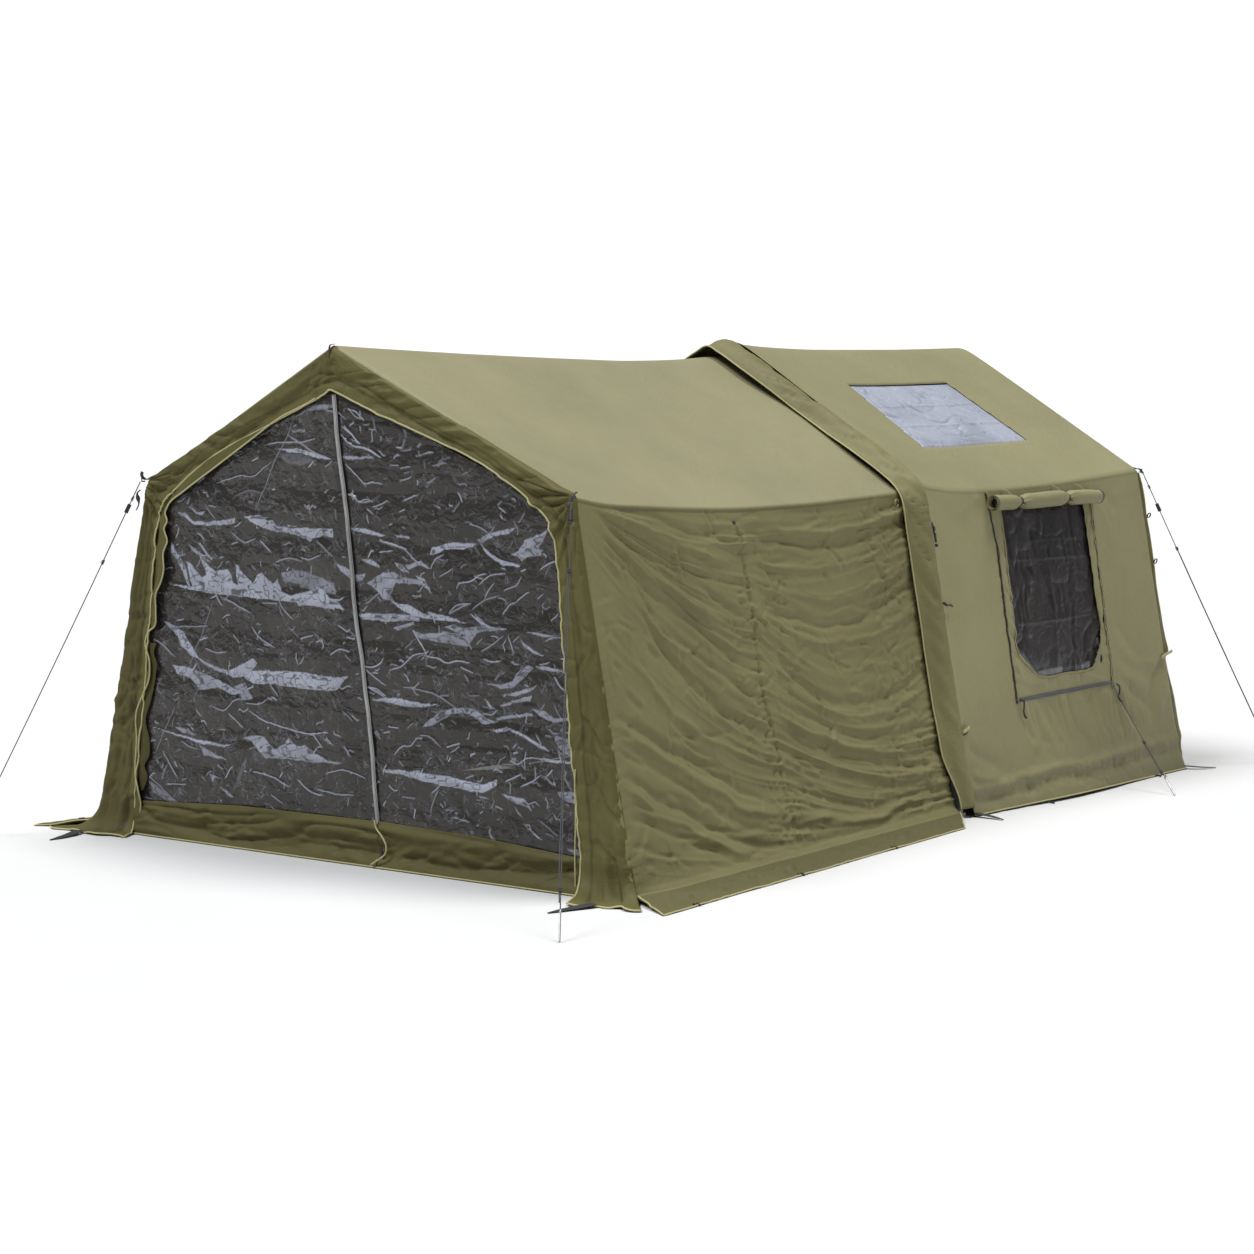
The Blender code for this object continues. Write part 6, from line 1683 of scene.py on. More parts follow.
for name, side in SIDES:
    X, Z = leaf_grid(side)
    sag, glint_and_haze = film_shape(X, Z, 5)
    spans = ((min(X.min(), X.max()), X.max()), (0.18, 2.15))
    h2, glint2 = squiggles(X, Z, 211 if side > 0 else 223, 430 if side > 0 else 380, spans)
    # the painted glints of facets, creases and squiggles, which the film's material turns into bluish-white colour
    glint_and_haze = np.clip(np.maximum(glint_and_haze, glint2), 0, 1)
    edge_u = np.abs(X - side * far_x(Z))
    calm = smooth(edge_u / 0.05) * smooth(np.abs(X - zip_x(Z)) / 0.03) * smooth((2.19 - Z) / 0.05)
    out = (sag + h2) * (0.25 + 0.75 * calm)
    d = front_lean(X, Z) + 0.006 - out
    film = grid(f"door_film_{name}", P3(X, d, Z), attrs={"glint_and_haze": glint_and_haze}, outward=(0, -1, 0))
    put(film, FILM, f"door_{name}", [f"door_leaf_{name}"])
    # cloth sill under the film
    u = np.linspace(0, 1, 150)
    v = np.linspace(0, 1, 34)
    near, far = zip_x(0.1) + side * 0.002, side * (jamb_x(0.1) - DOOR_GAP)
    x = mix(near, far, u)[None] + 0 * v[:, None]
    z = mix(0.005, film_foot(x) + 0.006, v[:, None])
    d = front_lean(x, z) - 0.004
    lay = 0.016 * ridged(x * 1.6, z * 17.0 + 0.9 * noise(x * 1.1, 0 * x, 151), 153) + 0.010 * noise(x * 2.3, z * 11, 155)
    lay = lay + strokes(x, z, 70, 181, (-1.40, 1.40, 0.02, 0.19), lambda a, b, turn: 0.5 * turn, (0.08, 0.30), (0.003, 0.007), (0.010, 0.016))
    lay = lay * smooth(np.minimum(v, 1 - v)[:, None] / 0.2)
    lay = lay + folds(x, z, [([(far * 0.985, 0.17), (far * 0.93, 0.10), (far * 0.80, 0.07), (far * 0.5, 0.075)], -0.016, 0.012, 0.02, (0.1, 0.4)),
                             ([(far * 0.99, 0.15), (far * 0.88, 0.135), (far * 0.7, 0.12)], 0.010, 0.012, 0.012, (0.1, 0.4))])
    d = d - lay - 0.028 * smooth((0.06 - z) / 0.06)
    sill = grid(f"door_sill_{name}", P3(x, d, z), outward=(0, -1, 0), thickness=0.0014)
    put(sill, CLOTH_DARK, f"door_{name}")
    hem = P3(x[0], d[0] - 0.001, z[0] + 0.002)
    put(tube(f"door_hem_{name}", hem, 0.0036, 8), PIPING, f"door_{name}")
    # this leaf's half of the middle zip: a clear tape with its coil
    z = np.linspace(0.205, 2.180, 150)
    sway = 0.013 * noise(z * 3.5, 0 * z, 161) + 0.002 * noise(z * 11.0, 0 * z, 162)
    centre = zip_x(z) + side * 0.0072 + sway
    tape = P3(centre, front_lean(centre, z) - 0.004 - 0.003 * noise(z * 7, 0 * z, 163), z)
    put(tube(f"zip_tape_{name}", tape, None, 10, wide=(1, 0, 0), flat=(0.0056, 0.0009)), ZIP_PALE, f"door_{name}")
    z = np.linspace(0.205, 2.176, 480)
    sway = 0.013 * noise(z * 3.5, 0 * z, 161) + 0.002 * noise(z * 11.0, 0 * z, 162)
    centre = zip_x(z) + side * 0.0030 + sway
    coil = P3(centre, front_lean(centre, z) - 0.0065 - 0.003 * noise(z * 7, 0 * z, 163), z)
    put(tube(f"zip_coil_{name}", coil, 0.0018 + 0.0007 * (np.arange(480) % 2), 6), COIL_PALE, f"door_{name}")

# bound edge of the overlapping sill, which the zip runs into
z = np.array([0.225, 0.190, 0.150, 0.110, 0.075, 0.045, 0.018])
x = np.array([0.215, 0.225, 0.262, 0.286, 0.280, 0.245, 0.205])
bound = curve_through(P3(x, front_lean(x, z) - 0.024 - 0.024 * smooth((0.08 - z) / 0.08), z), 44)
put(tube("sill_bound_edge", bound, 0.0042, 8), PIPING, "door_right")
# piping of the right leaf's own edge, hanging free below
edge = on_gable(*LR, [(1051, 830), (1049, 900), (1054, 1000), (1056, 1100), (1055, 1250), (1058, 1340), (1062, 1445)])
bound = curve_through(P3(edge[:, 0], front_lean(edge[:, 0], edge[:, 1]) - 0.012, np.maximum(edge[:, 1], 0.006)), 60)
put(tube("door_edge_right", bound, 0.0032, 8), PIPING, "door_right")

# ================================================================ loose storm strip along the left leaf
EDGE_A = np.concatenate([
    on_gable(*LL, [(196, 1262), (204, 1180), (194, 1110), (178, 1050), (177, 900), (186, 720), (202, 665), (232, 590), (236, 500),
                   (213, 395), (224, 360), (264, 318), (266, 250)]),
    on_gable(*UL, [(168, 1340), (190, 1290), (205, 1230), (198, 1140), (219, 1080), (206, 1020), (220, 985), (208, 945), (222, 910),
                   (300, 842), (440, 742), (560, 655), (750, 520), (900, 415), (985, 352)])])
EDGE_A = EDGE_A[np.concatenate([[True], np.linalg.norm(np.diff(EDGE_A, axis=0), axis=1) > 0.012])]
left_half = B_INNER[: NB // 2 + 1]
start = np.argmax(left_half[:, 1] >= 0.163)


def even(line, n):
    run = np.concatenate([[0], np.cumsum(np.hypot(*(line[1:] - line[:-1]).T))])
    return spline(run, line, np.linspace(0, run[-1], n))


NL = 420
outer_l = np.concatenate([[(-(JAMB_FOOT_X - JAMB_TAPER * 0.02), 0.02)], left_half[start:-16]])
outer_l = even(outer_l, NL)
EDGE_A = np.concatenate([[EDGE_A[0] + np.array([-0.012, -0.04])], EDGE_A])
inner_l = even(EDGE_A, NL)
inner_l = mix(inner_l, outer_l, 0.94 * smooth((np.linspace(0, 1, NL) - 0.84) / 0.15)[:, None])
rows = []
across = 16
for k in range(across):
    t = k / (across - 1)
    q = mix(outer_l, inner_l, t)
    x, z = q[:, 0], q[:, 1]
    low = smooth((1.62 - z) / 0.1)
    lift = 0.004 + 0.010 * t
    lift = lift + low * (0.010 * noise(z * 7.0, 0 * z + 1.3 * t, 181) * math.sin(math.pi * min(1.0, t * 0.9)) + 0.008 * t * noise(z * 8.5, 0 * z, 183))
    lift = lift + (1 - low) * 0.0035 * noise(x * 9.0 + 2.0 * t, 0 * x + t, 185)
    lift = np.maximum(lift, 0.002)
    rows.append(P3(x, front_lean(x, z) - lift, np.maximum(z, 0.006)))
strip_P = np.stack(rows)
strip = grid("storm_strip_left", strip_P, attrs={"tone": 0.12 + 0 * strip_P[..., 0]}, outward=(0, -1, 0), thickness=0.0014)
put(strip, CLOTH_FRONT, "door_left")
put(tube("storm_piping_left", strip_P[-1] + np.array([0, -0.002, 0]), 0.0042, 8), PIPING, "door_left")
EDGE_B = on_gable(*LL, [(262, 410), (250, 450), (266, 510), (262, 560), (240, 690), (215, 790), (235, 880), (236, 960), (214, 1010),
                        (229, 1060), (206, 1130)])
NL2 = 150
inner_b = even(EDGE_B, NL2)
z = inner_b[:, 1]
outer_b = np.stack([np.interp(z, EDGE_A[:, 1][:14], EDGE_A[:, 0][:14]) - 0.003, z], 1)
rows = []
for k in range(10):
    t = k / 9
    q = mix(outer_b, inner_b, t)
    lift = 0.0015 + 0.004 * t + 0.007 * noise(z * 9.0, 0 * z + t, 187) * math.sin(math.pi * t)
    rows.append(P3(q[:, 0], front_lean(q[:, 0], z) - np.maximum(lift, 0.0005), z))
second_P = np.stack(rows)
# this under strip is much darker than the strip over it: painted shade
put(grid("storm_under_left", second_P, attrs={"tone": 0.42 + 0 * second_P[..., 0]}, outward=(0, -1, 0), thickness=0.0012), CLOTH_FRONT, "door_left")


# ================================================================ windows
MAIN_N, MAIN_AT = (0.982, 0.0, 0.189), (1.195, 0.0, 1.689)
WR = (880, 460)


def on_main(where, points, scale=4.9):
    """Pixels of an enlarged region of the main side wall as (depth, z) on it."""
    return spot(crop(*where, scale, points), MAIN_N, MAIN_AT)[:, 1:3]


def W(d, z, lift=0.0, side=1):
    d, z = np.asarray(d, float), np.asarray(z, float)
    return main_wall(d, z, lift + 0 * d, side)


def on_wall_line(d0, z0, d1, z1, n, lift, side):
    t = np.linspace(0, 1, n)
    return W(mix(d0, d1, t), mix(z0, z1, t), lift, side)


# creases of the window mesh, with highlights painted along them: points, strength
NET_CREASES = [
    ([(630, 495), (740, 490), (860, 480), (1025, 470)], 0.20), ([(665, 810), (760, 800), (870, 785), (1050, 752)], 0.22),
    ([(700, 405), (830, 390), (1000, 378)], 0.12), ([(830, 480), (840, 600), (860, 760), (872, 900), (872, 1050)], 0.09),
    ([(872, 790), (940, 900), (1005, 1005)], 0.20), ([(700, 900), (740, 970), (790, 1040)], 0.18),
    ([(860, 395), (900, 430), (960, 440)], 0.07), ([(690, 560), (740, 620), (730, 700)], 0.06), ([(900, 520), (960, 600), (940, 680)], 0.06)]
NET_PATCHES = [
    ([(785, 1036), (850, 1024), (902, 1016), (908, 1034), (850, 1048), (800, 1062), (786, 1052)], 0.85),
    ([(996, 1008), (1026, 988), (1032, 1010), (1004, 1028)], 1.0),
    ([(684, 930), (700, 945), (740, 1000), (780, 1038), (770, 1042), (720, 1000), (690, 958)], 0.40),
    ([(1062, 872), (1084, 884), (1082, 912), (1064, 900)], 0.30),
    ([(905, 1020), (1000, 1004), (1000, 1020), (906, 1036)], 0.22),
    ([(738, 855), (750, 858), (748, 868), (738, 866)], 0.4)]
for name, side in SIDES:
    # mesh and film panel, set in behind the wall's cut edge
    v = np.linspace(0, 1, 150)
    zl = mix(0.605, 1.590, v)
    left_e = np.interp(zl, [0.605, 0.640, 0.700, 0.790, 1.590], [3.865, 3.845, 3.770, 3.675, 3.740])
    right_e = np.interp(zl, [0.605, 0.640, 0.700, 0.790, 1.590], [4.520, 4.535, 4.600, 4.674, 4.712])
    u = np.linspace(0, 1, 130)
    D = mix(left_e[:, None], right_e[:, None], u[None])
    Z = zl[:, None] + 0 * D
    h = 0.004 * fbm(D * 3.0, Z * 3.0, 191) + 0.0015 * fbm(D * 12, Z * 12, 193)
    h = h + 0.0050 * ridged(D * 5.5 + 1.6 * noise(D * 3, Z * 3, 194), Z * 6.5 + noise(D * 4, Z * 4, 196), 192)
    crush = ridged(D * 1.8 + 0.6 * Z, Z * 7.0 + 1.4 * noise(D * 2.4, Z * 2.0, 198), 200)
    h = h + 0.0055 * crush * smooth(noise(D * 2.2, Z * 2.6, 202) + 0.5)
    h = h + 0.009 * smooth(1 - (right_e[:, None] - D) / 0.10)
    glint_and_haze = 0.030 * smooth(noise(D * 4, Z * 5, 195))
    for points, power in NET_CREASES:
        d, _, uu = to_line(D, Z, refine(on_main(WR, points), 12))
        ends = smooth(uu / 0.1) * smooth((1 - uu) / 0.1)
        glint_and_haze = np.maximum(glint_and_haze, power * np.exp(-(d / 0.0045) ** 2) * ends * (0.8 + 0.2 * noise(D * 50, Z * 50, 197)))
        h = h + 0.0030 * np.exp(-(d / 0.018)) * ends
    for points, power in NET_PATCHES:
        out = on_main(WR, points)
        d, _, _ = to_line(D, Z, np.concatenate([out, out[:1]]))
        glint_and_haze = np.maximum(glint_and_haze, power * np.where(inside(D, Z, out), 1.0, np.exp(-(d / 0.004) ** 2)) * (0.8 + 0.2 * noise(D * 60, Z * 60, 199)))
    net = grid(f"window_net_{name}", W(D, Z, h - 0.013, side), attrs={"glint_and_haze": glint_and_haze}, outward=(side, 0, 0.2))
    put(net, NET, "tent", [f"window_{name}"])
    # rolled hem of the opening
    out = np.array([(3.779, 1.552), (3.760, 1.35), (3.740, 1.10), (3.718, 0.86), (3.715, 0.800), (3.735, 0.760), (3.830, 0.690),
                    (3.905, 0.645), (3.950, 0.636), (4.200, 0.636), (4.430, 0.636), (4.480, 0.644), (4.532, 0.700), (4.586, 0.765),
                    (4.600, 0.800), (4.614, 1.05), (4.630, 1.30), (4.644, 1.548)])
    path = even(out, 240)
    wob = 0.0016 * noise(np.arange(240) * 0.33, np.zeros(240), 201)
    ring = W(path[:, 0], path[:, 1], 0.0012 + wob, side)
    put(tube(f"window_hem_{name}", ring, None, 10, wide=np.gradient(ring, axis=0) @ np.array([[0, 0, 0], [0, 0, -1.0], [0, 1.0, 0]]) * side,
             flat=(0.0065, 0.0016)), TRIM)
    # zips: black tape with its coil, and the cloth lip beside it
    for key_, way, lip in (("front", [(3.634, 0.520), (3.644, 0.780), (3.650, 1.000), (3.668, 1.250), (3.672, 1.400), (3.650, 1.630)], 0.012),
                           ("rear", [(4.651, 0.522), (4.672, 0.800), (4.690, 1.050), (4.706, 1.300), (4.722, 1.560)], -0.009)):
        way = np.array(way)
        z_ = np.linspace(way[0, 1], way[-1, 1], 160)
        d_ = spline(way[:, 1], way[:, 0], z_)
        put(tube(f"window_zip_{key_}_{name}", W(d_, z_, 0.0026, side), None, 10, wide=(0, 1, 0), flat=(0.0055 if key_ == "front" else 0.0032, 0.0010)),
            ZIP)
        zc_ = np.linspace(way[0, 1], way[-1, 1], 420)
        put(tube(f"window_coil_{key_}_{name}", W(spline(way[:, 1], way[:, 0], zc_), zc_, 0.0038, side), 0.0014 + 0.0006 * (np.arange(420) % 2), 6),
            ZIP if key_ == "front" else TOOTH)
        t = np.linspace(0, 1, 160)
        lipline = W(d_ + lip + 0.0022 * noise(t * 30, 0 * t, 203), z_, 0.0045 + 0.003 * noise(t * 24, 0 * t, 205), side)
        put(tube(f"window_lip_{key_}_{name}", lipline, None, 10, wide=(0, 1, 0), flat=(0.0050, 0.0022)), TRIM)
    line_ = on_wall_line(3.628, 0.536, 4.655, 0.549, 160, 0.0034, side)
    put(tube(f"window_zip_low_{name}", line_, None, 10, wide=(0, 0, 1), flat=(0.0100, 0.0012)), ZIP_GREY)
    line_ = on_wall_line(3.628, 0.538, 4.655, 0.551, 420, 0.0052, side)
    put(tube(f"window_coil_low_{name}", line_, 0.0017 + 0.0006 * (np.arange(420) % 2), 6), TOOTH)
    for key_, points in (("front", [(3.640, 0.538, 0.014), (3.664, 0.528, 0.020), (3.668, 0.500, 0.014), (3.668, 0.470, 0.009), (3.674, 0.448, 0.010), (3.684, 0.440, 0.010)]),
                         ("rear", [(4.657, 0.538, 0.014), (4.672, 0.520, 0.020), (4.680, 0.492, 0.014), (4.690, 0.462, 0.009), (4.694, 0.442, 0.010), (4.702, 0.436, 0.010)])):
        pts = curve_through([W(a, b, c + 0.007, side) for a, b, c in points], 30)
        put(tube(f"zip_pull_{key_}_{name}", pts, 0.0042 + 0.0018 * smooth((np.arange(30) - 22) / 4), 8), WEB,
            f"window_slider_{key_}_{name}")
    # the rolled-up flap: cloth wound five times, with two ties
    a0, b0 = np.array([1.2690, 3.632, 1.577]), np.array([1.2640, 4.742, 1.574])
    turns, per = 4.6, 36
    th = np.linspace(0, turns * 2 * math.pi, int(turns * per))
    u = np.linspace(0, 1, 150)
    pinch = 0.46 * bell(u - 0.235, 0.034) + 0.44 * bell(u - 0.685, 0.034)
    R = ROLL_R * 1.06 * (1 - pinch) * (1 - 0.06 * bell(u - 1.0, 0.1)) * (1 + 0.05 * bell(u - 0.47, 0.16) + 0.03 * bell(u, 0.03))
    grow_ = mix(0.60, 1.0, (th / th[-1]) ** 0.8)
    centre = mix(a0, b0, u[:, None]) + np.array([0, 0, -1])[None] * (0.003 * np.sin(u * math.pi * 2.3))[:, None]
    lumps = 1 + 0.035 * noise(th[:, None] * 0.9, u[None] * 9.0, 207) + 0.13 * ridged(th[:, None] * 2.6, u[None] * 3.0, 209) * (bell(u - 0.235, 0.07) + bell(u - 0.685, 0.07))[None]
    rad = R[None] * grow_[:, None] * lumps
    ends = 0.006 * noise(th * 0.7, 0 * th, 211)
    P = np.stack([centre[None, :, 0] + rad * np.cos(th - 0.6)[:, None], centre[None, :, 1] - Y_MID + ends[:, None] * (1 - 2 * u)[None],
                  centre[None, :, 2] + rad * np.sin(th - 0.6)[:, None]], -1)
    roll = grid(f"window_roll_cloth_{name}", P * np.array([side, 1, 1]), thickness=0.0014)
    put(roll, TRIM, "tent", [f"window_roll_{name}"])
    # a dark core fills the roll's hollow: painted shade inside the roll
    core = mix(a0, b0, np.array([0.022, 0.10, 0.50, 0.90, 0.978])[:, None])
    put(tube(f"window_roll_painted_shade_core_{name}", (core - np.array([0, Y_MID, 0])) * np.array([side, 1, 1]), ROLL_R * np.array([0.60, 0.50, 0.45, 0.50, 0.60]), 16), WEB)
    an = np.linspace(0, 2 * math.pi, 40)
    rim = np.stack([b0[0] + ROLL_R * 1.00 * np.cos(an), b0[1] - Y_MID - 0.001 + 0 * an, b0[2] + ROLL_R * 1.00 * np.sin(an)], 1)
    put(tube(f"window_roll_rim_{name}", rim * np.array([side, 1, 1]), None, 8, wide=(0, 1, 0), flat=(0.0075, 0.0016)), ZIP_GREY)
    for k, uu in enumerate((0.235, 0.685)):
        c = mix(a0, b0, uu)
        r = ROLL_R * 1.06 * 0.62
        an = np.linspace(-0.3, 2 * math.pi - 0.1, 50)
        loop = np.stack([c[0] + r * np.cos(an), c[1] - Y_MID + 0.004 * np.sin(2 * an), c[2] + r * np.sin(an)], 1)
        put(tube(f"roll_tie_{k}_{name}", loop * np.array([side, 1, 1]), None, 8, wide=(0, 1, 0), flat=(0.0036, 0.0014)), WEB)
        knot = np.stack([c[0] + r + 0.002 + 0.006 * np.sin(np.linspace(0, 9, 30)), c[1] - Y_MID + np.linspace(-0.010, 0.012, 30),
                         c[2] + 0.004 * np.cos(np.linspace(0, 12, 30)) - np.linspace(0, 0.012, 30)], 1)
        put(tube(f"roll_knot_{k}_{name}", knot * np.array([side, 1, 1]), 0.0024, 8), WEB)
    for k, (dd, ww) in enumerate(((3.835, 0.012), (4.350, 0.010), (4.600, 0.009))):
        top = W(dd - 0.02, 1.645, 0.006, side)
        tip = np.array([side * 1.262, dd - Y_MID, 1.565 + ROLL_R * 0.98])
        pts = curve_through([top, mix(top, tip, 0.5) + np.array([side * 0.006, 0, 0.006]), tip], 16)
        put(tube(f"roll_tape_{k}_{name}", pts, None, 8, wide=(0, 1, 0), flat=(ww / 2, 0.0008)), TRIM)

# ================================================================ skylight
v, u = np.linspace(0, 1, 130)[:, None], np.linspace(0, 1, 150)[None]
c = grow(SKYLIGHT, 0.010)
corner = {k: c[np.argmin([abs(p[0] - q[0]) + abs(p[1] - q[1]) for p in c])] for k, q in zip("abcd", SKYLIGHT)}
D = (1 - v) * ((1 - u) * corner["a"][0] + u * corner["b"][0]) + v * ((1 - u) * corner["d"][0] + u * corner["c"][0])
X = (1 - v) * ((1 - u) * corner["a"][1] + u * corner["b"][1]) + v * ((1 - u) * corner["d"][1] + u * corner["c"][1])
run_ = D * 0.55 - X * 1.1 + 0.10 * noise(D * 3.0, X * 3.0, 221)
h = 0.0045 * ridged(run_ * 13.0, (D + X) * 1.6, 223) + 0.003 * fbm(D * 6, X * 6, 225)
lines_ = np.abs(noise(run_ * 24.0, (D + X) * 4.0, 227))
glint_and_haze = 0.62 + 0.30 * noise(D * 7, X * 7, 229) - 0.55 * np.exp(-(lines_ / 0.05) ** 2) + 0.25 * np.exp(-((lines_ - 0.16) / 0.05) ** 2)
for at in (0.36, 0.68):
    glint_and_haze = glint_and_haze - 0.30 * bell(v - at - 0.01 * noise(u * 6, 0 * u, 231), 0.008)
    h = h + 0.003 * bell(v - at, 0.02)
glint_and_haze = glint_and_haze - 0.25 * bell(u - 0.5, 0.006)
edge_ = np.minimum(np.minimum(u, 1 - u), np.minimum(v, 1 - v))
h = h * smooth(edge_ / 0.08) - 0.0045 * (1 - smooth(edge_ / 0.03)) + 0.004 * smooth(edge_ / 0.1)
sky = grid("skylight_film_panel", main_roof(D, X, h - 0.001), attrs={"glint_and_haze": np.clip(glint_and_haze, 0.05, 1)}, outward=(0, 0, 1))
put(sky, SKYFILM, "tent", ["skylight"])

# ================================================================ trim of the arches: buckle, toggle, straps, loops
def strap(name, points, half, thick, material, wide, body="tent", n=24):
    pts = curve_through(points, n)
    return put(tube(name, pts, None, 10, wide=wide, flat=(half, thick)), material, body)


def at_main(d, z, lift, side=1):
    return W(d, z, lift, side)


for name, side in SIDES:
    wall_turn = axes_of((side * MAIN_N[0], 0, MAIN_N[2]), (0, 1, 0))
    # buckle on the sleeve's rear edge
    parts = [block_parts(at_main(3.066, 1.462, 0.020, side), (0.016, 0.022, 0.007), wall_turn),
             block_parts(at_main(3.067, 1.418, 0.020, side), (0.014, 0.050, 0.006), wall_turn),
             block_parts(at_main(3.068, 1.378, 0.020, side), (0.018, 0.016, 0.008), wall_turn)]
    put(gathered(f"sleeve_buckle_{name}", parts), BLACK)
    strap(f"sleeve_buckle_web_{name}", [at_main(3.060, 1.50, 0.014, side), at_main(3.062, 1.47, 0.019, side), at_main(3.064, 1.44, 0.017, side)],
          0.009, 0.0010, WEB, (0, 1, 0))
    # toggle
    pts = curve_through([at_main(3.050, 1.085, 0.020, side), at_main(3.072, 1.070, 0.026, side), at_main(3.100, 1.070, 0.027, side),
                         at_main(3.128, 1.062, 0.020, side)], 26)
    fat = np.interp(np.linspace(0, 1, 26), [0, 0.25, 0.45, 0.8, 1], [0.0075, 0.0070, 0.0045, 0.0058, 0.0045])
    put(tube(f"sleeve_toggle_{name}", pts, fat, 12), BLACK)
    # strap end low on the sleeve, with a dark strap under it as its painted shadow
    strap(f"sleeve_strap_{name}", [at_main(3.040, 0.425, 0.026, side), at_main(3.075, 0.435, 0.030, side), at_main(3.125, 0.445, 0.016, side)],
          0.010, 0.0012, PIPING, (0, 0, 1))
    strap(f"sleeve_strap_shadow_{name}", [at_main(3.046, 0.414, 0.020, side), at_main(3.075, 0.420, 0.022, side), at_main(3.112, 0.430, 0.012, side)],
          0.009, 0.0010, WEB, (0, 0, 1))
    # loop of cloth tape on the annex wall beside the sleeve
    an = np.linspace(0.4, 2 * math.pi - 0.4, 26)
    ex_, ez_ = annex_eave(np.array([2.845]))
    c = P3(ex_[0] + 0.022, 2.845, ez_[0] - 0.052)
    loop = c + np.stack([0.004 + 0 * an, 0.015 * np.cos(an), 0.020 * np.sin(an)], 1)
    put(tube(f"annex_loop_{name}", loop * np.array([side, 1, 1]), None, 8, wide=(1, 0, 0), flat=(0.0045, 0.0012)), TRIM)
    # button on the annex wall
    d_, z_ = on_wall([(700, 168)])[0]
    t_ = d_ / 2.925
    x_ = mix(E0[0] + (F0[0] - E0[0]) * (1 - z_ / E0[2]), E1[0] + (1.47 - E1[0]) * max(0, 1 - z_ / E1[2]), t_)
    s_col = int(np.argmin(np.abs(ANNEX_RIGHT[A_EAVE + 6, :, 1] + Y_MID - d_)))
    s_row = A_EAVE + int(np.argmin(np.abs(ANNEX_RIGHT[A_EAVE:A_FOOT, s_col, 2] - z_)))
    c = ANNEX_RIGHT[s_row, s_col] + WALL_OUT * 0.003
    turn_ = axes_of(WALL_OUT, (0, 1, 0))
    an = np.linspace(0, 2 * math.pi, 17)[:-1]
    base = np.array([0.0, 0.0, 0.0])
    prof = [(0.0095, -0.002), (0.0100, 0.002), (0.0085, 0.0045), (0.0045, 0.0055)]
    V = np.concatenate([(turn_ @ np.stack([r * np.cos(an), r * np.sin(an), h_ + 0 * an])).T + c for r, h_ in prof] + [[c + WALL_OUT * 0.0055], [c - WALL_OUT * 0.002]])
    i = np.arange(3)[:, None] * 16
    j = np.arange(16)[None]
    Q = np.stack([i + j, i + (j + 1) % 16, i + 16 + (j + 1) % 16, i + 16 + j], -1).reshape(-1, 4)
    jj = np.arange(16)
    T = np.concatenate([np.stack([48 + jj, 48 + (jj + 1) % 16, np.full(16, 64)], -1), np.stack([(jj + 1) % 16, jj, np.full(16, 65)], -1)])
    put(mesh_of(f"wall_button_{name}", V * np.array([side, 1, 1]), [Q, T]), BLACK)
    # rear corner: flap of the wall cloth past the tube, loops and a strap
    zc = np.linspace(0.030, 1.685, 120)
    wide_ = np.interp(zc, [0.030, 0.10, 0.20, 0.40, 0.62, 0.72, 1.0, 1.50, 1.62, 1.685], [0.110, 0.125, 0.125, 0.100, 0.050, 0.038, 0.028, 0.016, 0.006, -0.008])
    root_ = W(5.286 + 0 * zc, zc, -0.004, 1)
    cols_ = []
    for t in np.linspace(0, 1, 16):
        dd = 5.286 + (wide_ + 0.044) * t + 0.006 * noise(zc * 6.0, 0 * zc + t, 241) * t
        xx = root_[:, 0] - 0.012 * t + 0.010 * noise(zc * 5.0, 0 * zc + 2 * t, 243) * t - 0.030 * t * smooth((0.7 - zc) / 0.6)
        xx = xx + 0.016 * np.sin(math.pi * t) * (0.2 + 0.8 * smooth((0.75 - zc) / 0.3)) * smooth((1.66 - zc) / 0.2)
        xx = xx - 0.030 * smooth(t / 0.22) * smooth((0.68 - zc) / 0.06)
        cols_.append(P3(xx * side, dd, zc))
    tail = grid(f"rear_corner_flap_{name}", np.stack(cols_), outward=(side, 0.3, 0.2), thickness=0.0014)
    # the flap of the wall cloth takes the dark gable cloth: painted shade of the rear corner
    put(tail, CLOTH_FRONT)
    put(tube(f"rear_corner_piping_{name}", cols_[-1], 0.0036, 8), PIPING)
    for k, zz_ in enumerate((1.44, 1.18)):
        an = np.linspace(0, 2 * math.pi, 26)
        c = W(5.325, zz_, 0.010, side)
        loop = c + np.stack([0.004 * np.cos(an) * side, 0.016 * np.sin(an) + 0.006, 0.014 * np.cos(an)], 1)
        put(tube(f"corner_loop_{k}_{name}", loop, None, 8, wide=(1, 0, 0), flat=(0.0042, 0.0014)), WEB)
    strap(f"corner_strap_{name}", [W(5.235, 0.640, 0.012, side), W(5.290, 0.655, 0.016, side), W(5.370, 0.668, 0.010, side)], 0.009, 0.0012, PIPING, (0, 0, 1))
    # webbing tabs on the ground at the feet
    for k, (x0, d0, x1, d1) in enumerate(((1.60, 3.045, 1.725, 3.020), (1.545, 5.330, 1.640, 5.470), (1.62, -0.245, 1.50, -0.335))):
        if k == 2:
            pts = [(side * 1.640, -0.180, 0.016), (side * 1.612, -0.255, 0.010), (side * 1.592, -0.340, 0.006), (side * 1.580, -0.418, 0.004)]
        else:
            pts = [(side * (x0 - 0.06), d0, 0.020), (side * mix(x0, x1, 0.4), mix(d0, d1, 0.4), 0.012), (side * x1, d1, 0.005)]
        pts = [P3(*q) for q in pts]
        way = pts[-1] - pts[0]
        taper = np.interp(np.linspace(0, 1, 24), [0, 0.3, 0.7, 1.0], [1.0, 1.15, 0.8, 0.12])
        put(tube(f"ground_tab_{k}_{name}", curve_through(pts, 24), taper, 10, wide=np.cross(way, (0, 0, 1)), flat=(0.026 if k == 2 else 0.018, 0.0022)),
            WEB)
